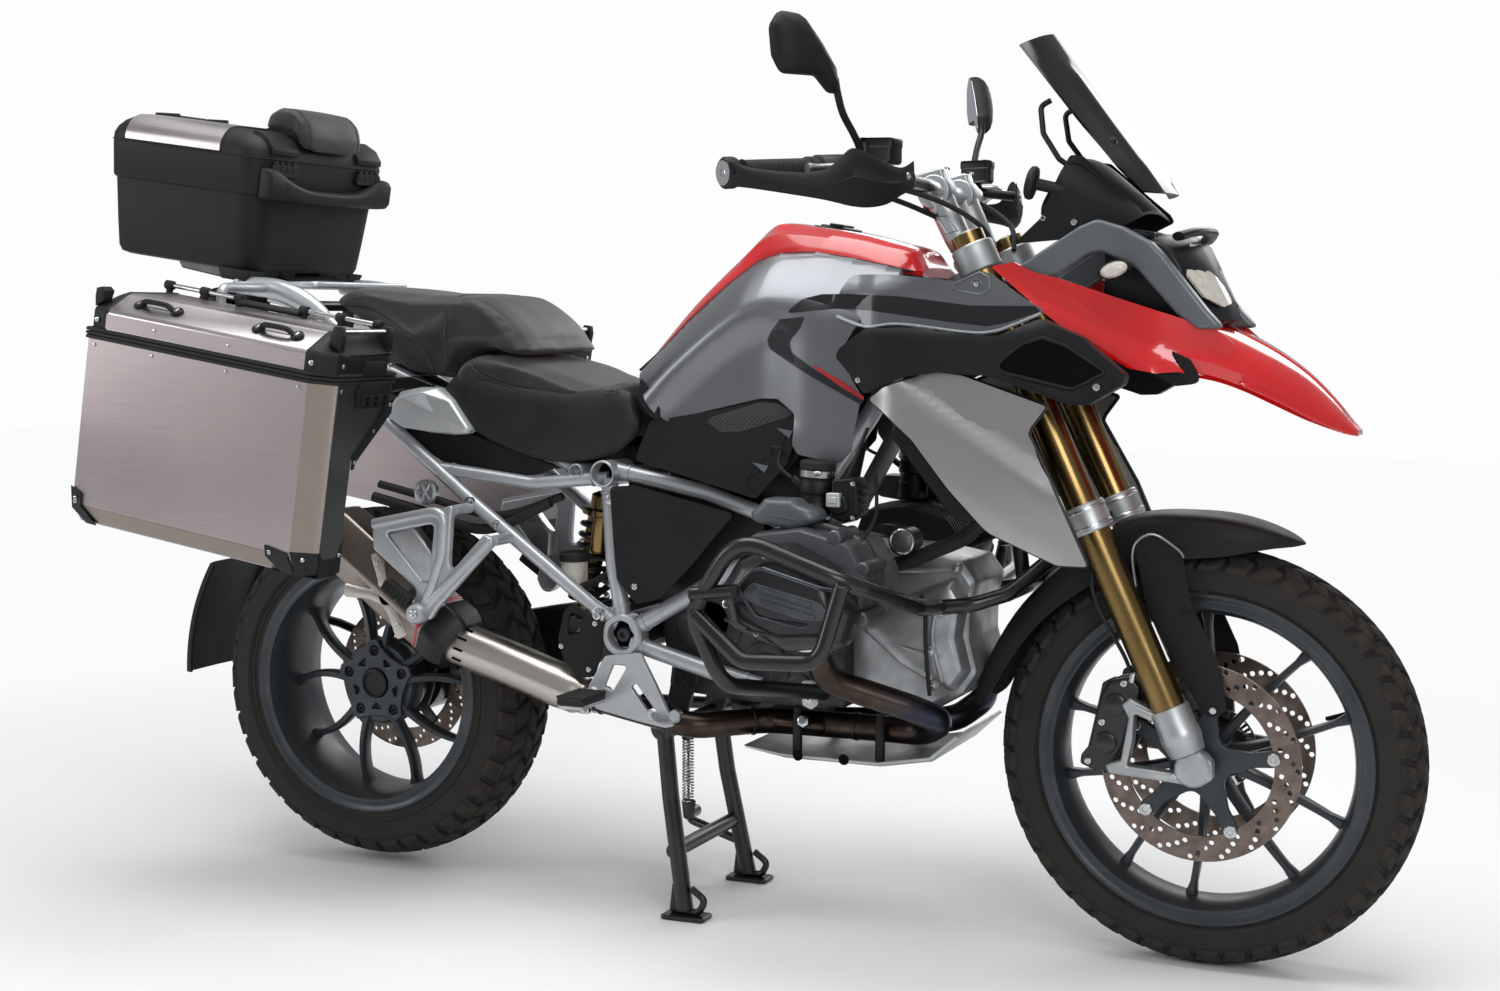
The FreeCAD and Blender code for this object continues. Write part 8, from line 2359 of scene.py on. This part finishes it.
piece("bar_risers", merge(*risers), BLASTED_METAL, "steering", bevel=1)
piece("riser_marks", merge(*windows), BARE_METAL, "steering")
piece("riser_bolts", merge(*riser_bolts), STEEL, "steering")
grip_start, grip_end = Vector((-524, -326, 1216)), Vector((-597, -440, 1207))
grip_dir = (grip_end - grip_start).normalized()
grip_profile = [(15, -2), (22, 0), (22, 4), (18, 7)]
for k in range(20):
    grip_profile += [(18, 10 + 6 * k), (17.2, 12 + 6 * k), (17.2, 13.6 + 6 * k), (18, 15 + 6 * k)]
grip_profile += [(18, 132), (19, 135), (15, 136)]
both_sides("grip", lathe(grip_profile, grip_start, grip_dir, 28), SOFT_RUBBER, "steering",
           stands_for="bar_controls", crease=50)
end_at = grip_end + grip_dir * 12
both_sides("bar_end_weight", lathe([(14, 0), (22, 1), (23, 4), (23, 16), (20, 19), (16, 19)],
                                   end_at, grip_dir, 32), SATIN_BLACK, "steering")
both_sides("bar_end_ring", lathe([(13, 18.5), (18, 19.4), (18, 20.6), (13, 20.6)], end_at,
                                 grip_dir, 32), BARE_METAL, "steering")
both_sides("bar_end_screw", screw(end_at + grip_dir * 18, grip_dir, 8, 3), STEEL, "steering")
switch_at = Vector((-494, -276, 1215))
both_sides("switch_block",
           merge(lathe([(16, -4), (26, 0), (27, 5), (27, 58), (24, 62), (17, 64)], switch_at,
                       grip_dir, 30), lathe([(22, 64), (25, 66), (25, 78), (20, 82)], switch_at,
                                            grip_dir, 28),
                 block((-520, -300, 1180), (-488, -264, 1200), 5)), SATIN_BLACK, "steering",
           crease=40)
buttons = [lathe([(6, 24), (6, 30), (4.6, 31.4), (0.01, 31.4)], switch_at + grip_dir * d,
                 (-0.6, 0.5, h), 16) for d, h in ((14, 0.8), (30, 0.9), (46, 0.6))]
both_sides("switch_buttons", merge(*buttons), GREY_PLASTIC, "steering")
lever = flowing([(-480, -282, 1221), (-452, -292, 1222), (-444, -312, 1221), (-460, -350, 1218),
                 (-484, -386, 1214), (-504, -418, 1211)], 5)
both_sides("brake_lever", sweep(lever, [9] * 3 + [6.5] * 20 + [7, 8.5, 8.5], 12, wide=0.8),
           BARE_METAL, "steering")
tank_rows = [[(x, y, z)
              for x, y in rounded([(-492 - g, -270 + g), (-436 + g, -258 + g),
                                   (-430 + g, -214 - g), (-486 - g, -226 - g)], 9)]
             for z, g in ((1228, -4), (1232, 0), (1252, 0), (1254, 2), (1264, 2), (1266, -1))]
both_sides("fluid_reservoir",
           merge(rings(tank_rows),
                 lathe([(15, 0), (17, 3), (17, 34), (14, 36)], (-466, -236, 1216),
                       (-0.35, -0.9, 0), 22)), SATIN_BLACK, "steering", bevel=1)
both_sides("reservoir_screws",
           merge(*[screw((x, y, 1266), UP, 3.6, 2) for x, y in ((-480, -256), (-444, -224))]),
           STEEL, "steering")

# Hand guards: deep shells from the bar end round to the inner bracket
HAND = [(-616, -450, 1190, 1226), (-604, -466, 1186, 1224), (-570, -471, 1182, 1211),
        (-520, -453, 1174, 1205), (-480, -430, 1167, 1206), (-460, -412, 1162, 1222),
        (-446, -394, 1158, 1240), (-430, -368, 1157, 1234), (-414, -334, 1163, 1222),
        (-404, -298, 1178, 1218), (-398, -264, 1188, 1230)]
hand_rows = []
hand_line = flowing(HAND, 4)
last = len(hand_line) - 1
for k, (x, y, low, high) in enumerate(hand_line):
    after, before = hand_line[min(k + 1, last)], hand_line[max(k - 1, 0)]
    ahead = Vector((after[0] - before[0], after[1] - before[1], 0)).normalized()
    out = Vector((-ahead.y, ahead.x, 0))
    out = out if out.dot(Vector((x + 520, y + 370, 0))) > 0 else -out
    belly = 9 * math.sin(math.pi * k / last) + 2
    ring = []
    for t, o in ((0, 0), (0.08, 0.5), (0.3, 0.9), (0.5, 1.0), (0.52, 0.7), (0.75, 0.62),
                 (0.93, 0.3), (1, 0), (0.96, -0.3), (0.7, 0.1), (0.4, 0.4), (0.06, -0.25)):
        ring.append(Vector((x, y, low + (high - low) * t)) + out * belly * o)
    hand_rows.append(ring)
both_sides("hand_guard_shell", rings(hand_rows), BLACK_PLASTIC, "steering",
           stands_for="hand_guards", crease=60)
both_sides("hand_guard_bracket",
           merge(sweep([(-402, -262, 1206), (-436, -240, 1210), (-462, -228, 1213)], 8, 12),
                 lathe([(15, 0), (20, 2), (20, 12), (15, 14)], (-466, -226, 1213),
                       (-0.35, -0.9, 0), 22)), SATIN_BLACK, "steering")
both_sides("hand_guard_screws",
           merge(screw((-399, -285, 1206), (0.9, -0.4, 0), 6, 3),
                 screw((-420, -352, 1180), (0.8, -0.5, 0), 5, 3)), STEEL, "steering")

# Mirrors: drop-shaped heads on bent stalks
HEAD_RIM = [(-590, 1432, 14), (-556, 1430, 20), (-517, 1390, 20), (-487, 1352, 14),
            (-481, 1322, 6), (-494, 1322, 8), (-520, 1345, 20), (-585, 1344, 18), (-601, 1368, 16),
            (-606, 1410, 20)]
mirror_place = (Matrix.Translation((-482, -352, 0)) @ Matrix.Rotation(math.radians(62), 4, "Z")
                @ Matrix.Translation((482, 0, 0)))
mirror_head = stacked(HEAD_RIM, ((-12, 0.96), (-10, 0.985), (-4, 1.0), (3, 0.97), (11, 0.85),
                                 (17, 0.64), (21, 0.36)), (-548, 1385), 12, 5)
both_sides("mirror_head", moved(mirror_head, mirror_place), BLACK_PLASTIC, "steering",
           stands_for="mirrors", crease=50)
glass = plate(rounded(inset(HEAD_RIM, 0.9, (-548, 1385)), 12, 5), 12.2, 13.4, 0.4)
both_sides("mirror_glass", moved(glass, mirror_place), MIRROR_GLASS, "steering")
stalk = flowing([(-476, -258, 1216), (-478, -264, 1240), (-482, -290, 1268), (-487, -322, 1296),
                 (-487, -344, 1322), (-488, -352, 1344)], 6)
both_sides("mirror_stalk",
           merge(sweep(stalk, 5.6, 14),
                 lathe([(13, 0), (13, 8), (10, 36), (7.5, 46)], (-477, -259, 1214), (0, -0.12, 1),
                       22)), SATIN_BLACK, "steering")
cables = [[(-500, -262, 1206), (-452, -180, 1196), (-396, -120, 1174), (-350, -84, 1140),
           (-336, -66, 1106)], [(-504, -268, 1200), (-470, -190, 1184), (-440, -110, 1166),
                                (-404, -40, 1140), (-396, -10, 1110)],
          [(-500, 262, 1206), (-452, 180, 1196), (-396, 120, 1176), (-352, 84, 1146),
           (-340, 60, 1108)]]
piece("bar_cables", merge(*[sweep(flowing(line, 8), 4.2, 10) for line in cables]), SOFT_RUBBER,
      "steering")

# Seats and backrest: sewn vinyl covers, blown out over their foam by a short cloth simulation


def in_mm(co):
    return Vector((co.x * 1000 - AXLE_X, co.y * 1000, co.z * 1000))


def stuffed(name, shape, grid_mm, give, body="chassis", stands_for=()):
    """Filled cover: closed form on an even grid, swollen by pressure. give(point) is the most
    that a point may move, in mm."""
    pad = piece(name, shape, SEAT_VINYL, body, stands_for=stands_for, crease=180)
    grid = pad.modifiers.new("grid", "REMESH")
    grid.mode, grid.voxel_size, grid.use_smooth_shade = "VOXEL", grid_mm / 1000, True
    pad.data = evaluated(pad)
    pad.modifiers.clear()
    scene = bpy.context.scene
    filling = pad.modifiers.new("filling", "CLOTH")
    cover = filling.settings
    cover.quality, cover.mass = 6, 0.3
    cover.tension_stiffness = cover.compression_stiffness = 18
    cover.bending_stiffness = 2.5
    cover.use_pressure, cover.uniform_pressure_force = True, 4
    cover.effector_weights.gravity = 0
    for step in range(1, 21):
        scene.frame_set(step)
    swollen = [v.co.copy() for v in evaluated(pad).vertices]
    pad.modifiers.clear()
    scene.frame_set(1)
    for point, co in zip(pad.data.vertices, swollen):
        move, most = co - point.co, give(in_mm(point.co)) / 1000
        point.co += move if move.length < most else move.normalized() * most
    smoother = pad.modifiers.new("smooth", "SUBSURF")
    smoother.levels = smoother.render_levels = 1
    pad.data = evaluated(pad)
    pad.modifiers.clear()
    pad.data.shade_smooth()
    pad.data.materials.clear()
    pad.data.materials.append(SEAT_VINYL)
    return pad


def on_cover(pad, points, aim):
    """Drops points on the cover: aim is the direction each of them is thrown in."""
    skin = BVHTree.FromPolygons([v.co for v in pad.data.vertices],
                                [p.vertices for p in pad.data.polygons])
    landed = []
    for point in points:
        start = Vector(((point[0] + AXLE_X) / 1000, point[1] / 1000, point[2] / 1000))
        spot = skin.ray_cast(start, Vector(aim))[0] or skin.find_nearest(start)[0]
        landed.append(spot)
    return landed


def sewn(name, pad, lines, deep=2.6, reach=7.0, body="chassis"):
    """Draws the cover in along each seam and lays its thread and a row of stitches beside it."""
    seams = []
    for points, aim in lines:
        seams.append(on_cover(pad, flowing(points, 14), aim))
    marks = [a.lerp(b, t / 4) for seam in seams for a, b in zip(seam, seam[1:]) for t in range(4)]
    near = KDTree(len(marks))
    for k, mark in enumerate(marks):
        near.insert(mark, k)
    near.balance()
    for point in pad.data.vertices:
        away = near.find(point.co)[2] * 1000
        if away < reach:
            point.co -= point.normal * (deep / 1000 * (1 - away / reach) ** 2)
    threads = []
    skin = BVHTree.FromPolygons([v.co for v in pad.data.vertices],
                                [p.vertices for p in pad.data.polygons])
    for seam in seams:
        line = [in_mm(spot) for spot in seam]
        threads.append(sweep(line, 0.8, 6))
        for a, b in zip(seam, seam[1:]):
            for t in (0.0, 0.5):
                start, end = a.lerp(b, t), a.lerp(b, t + 0.3)
                spot, normal = skin.find_nearest(start)[:2]
                aside = (end - start).cross(normal).normalized() * 0.0042
                ends = [skin.find_nearest(at + aside) for at in (start, end)]
                if (ends[1][0] - ends[0][0]).length > 0.0015:
                    threads.append(sweep([in_mm(at[0] + at[1] * 0.0003) for at in ends], 0.55, 5))
    piece(name, merge(*threads), THREAD, body)


def pad_rows(top, under, widths, middle, crown):
    """Cross slices of a pad from right to left: (y, how full the slice is)."""
    rim = flowing(top, 5) + flowing(under, 5)
    rows = []
    for y, full in widths:
        lift = crown * (1 - (y / widths[-1][0]) ** 2)
        row = []
        for x, z in rim:
            upper = soft_step((z - middle[1]) / 60 + 0.5)
            row.append((middle[0] + (x - middle[0]) * full, y,
                        middle[1] + (z - middle[1]) * full + lift * upper))
        rows.append(row)
    return rings(rows)


def slices(*half):
    """Widths mirrored about the middle."""
    return [(-y, full) for y, full in reversed(half)] + [(y, full) for y, full in half]


rider_top = [(-1286, 884), (-1268, 918), (-1218, 929), (-1114, 909), (-1031, 883), (-985, 881),
             (-945, 887), (-930, 874)]
rider_low = [(-918, 836), (-930, 806), (-992, 800), (-1060, 806), (-1140, 834), (-1210, 858),
             (-1270, 868)]
rider = pad_rows(rider_top, rider_low,
                 slices((20, 1), (90, 1), (118, 0.99), (136, 0.965), (146, 0.93), (152, 0.88)),
                 (-1090, 862), 4)


def rider_give(point):
    """The top swells more than the sides."""
    return 5 if point.z > 850 else 2.5


rider_pad = stuffed("rider_seat_cushion", rider, 5.5, rider_give, stands_for="rider_seat")
crease = [(-1232, -300, 921), (-1216, -300, 905), (-1166, -300, 886), (-1061, -300, 869),
          (-985, -300, 872), (-930, -300, 880)]
sewn("rider_seat_seams", rider_pad,
     [(crease, LEFT), ([(x, -y, z) for x, y, z in crease], RIGHT),
      ([(-1216, -110, 980), (-1222, 0, 980), (-1216, 110, 980)], DOWN)], deep=3.4, reach=12)
# lower cover of the seat: a moulded skirt over the rails, pulled tight at its lower edge
skirt_rows = []
for x, top, low, out in flowing([(-1284, 886, 868, 146), (-1262, 905, 838, 152),
                                 (-1225, 905, 806, 155), (-1170, 892, 782, 157),
                                 (-1110, 884, 764, 158), (-1050, 876, 758, 158),
                                 (-1000, 880, 764, 157), (-955, 882, 776, 154),
                                 (-930, 872, 796, 148), (-916, 842, 812, 140)], 4):
    deep = top - low
    skirt_rows.append([(x, -(out - inset_mm), low + deep * t) for t, inset_mm in (
        (0.0, 8), (0.03, 4), (0.12, 1.5), (0.35, 0), (0.6, 0.5), (0.8, 3), (0.93, 8), (1.0, 15),
        (0.96, 17), (0.7, 12), (0.4, 10), (0.05, 10))])
both_sides("rider_seat_skirt", rings(skirt_rows), SEAT_SIDE, crease=70)

pillion_top = [(-1532, 1030), (-1500, 1044), (-1430, 1040), (-1365, 1033), (-1262, 1030),
               (-1222, 1022), (-1168, 984), (-1130, 941)]
pillion_low = [(-1126, 935), (-1160, 938), (-1200, 950), (-1240, 950), (-1270, 936), (-1292, 900),
               (-1312, 899), (-1389, 916), (-1486, 1000), (-1528, 1022)]
pillion = pad_rows(pillion_top, pillion_low,
                   slices((16, 1), (80, 1), (108, 0.985), (126, 0.955), (134, 0.92), (138, 0.87)),
                   (-1330, 978), 5)


def pillion_give(point):
    return 5 if point.z > 960 else 3


pillion_pad = stuffed("passenger_seat_cushion", pillion, 5.5, pillion_give,
                      stands_for="passenger_seat")
side_seam = [(-1505, -300, 1016), (-1470, -300, 1014), (-1431, -300, 1006), (-1386, -300, 982),
             (-1342, -300, 956), (-1325, -300, 930), (-1316, -300, 906)]
front_seam = [(-1290, -300, 926), (-1291, -300, 968), (-1286, -300, 1008)]
top_seam = [(-1276, -112, 1100), (-1268, -60, 1100), (-1266, 0, 1100), (-1268, 60, 1100),
            (-1276, 112, 1100)]
over = []
for line in (side_seam, front_seam):
    over += [(line, LEFT), ([(x, -y, z) for x, y, z in line], RIGHT)]
sewn("passenger_seat_seams", pillion_pad, over + [(top_seam, DOWN)])

# the backrest folds over the front of the lid
BACK_RIM = [(262, 255, 4), (268, 282, 16), (292, 296, 18), (330, 294, 18), (350, 276, 20),
            (359, 250, 16), (358, 226, 8), (349, 224, 5), (347, 240, 8), (330, 254, 8)]
back_rows = []
for y, full in slices((8, 1), (50, 1), (70, 0.98), (82, 0.92), (89, 0.82), (92, 0.72)):
    back_rows.append([top_at(u, y, w)
                      for u, w in rounded(inset(BACK_RIM, full, (326, 262)), 12, 5)])
back_pad = stuffed("backrest_pad", rings(back_rows), 4.5, lambda point: 4, "top_lid",
                   "top_case_backrest")
side_seams = [([top_at(u, s * 74, w) for u, w in ((262, 330), (300, 330), (340, 330))], DOWN)
              for s in (-1, 1)]
side_seams += [([top_at(400, s * 74, w) for w in (284, 260, 232)], (-1, 0, 0.14)) for s in (-1, 1)]
sewn("backrest_seams", back_pad, side_seams, deep=2.0, reach=6, body="top_lid")
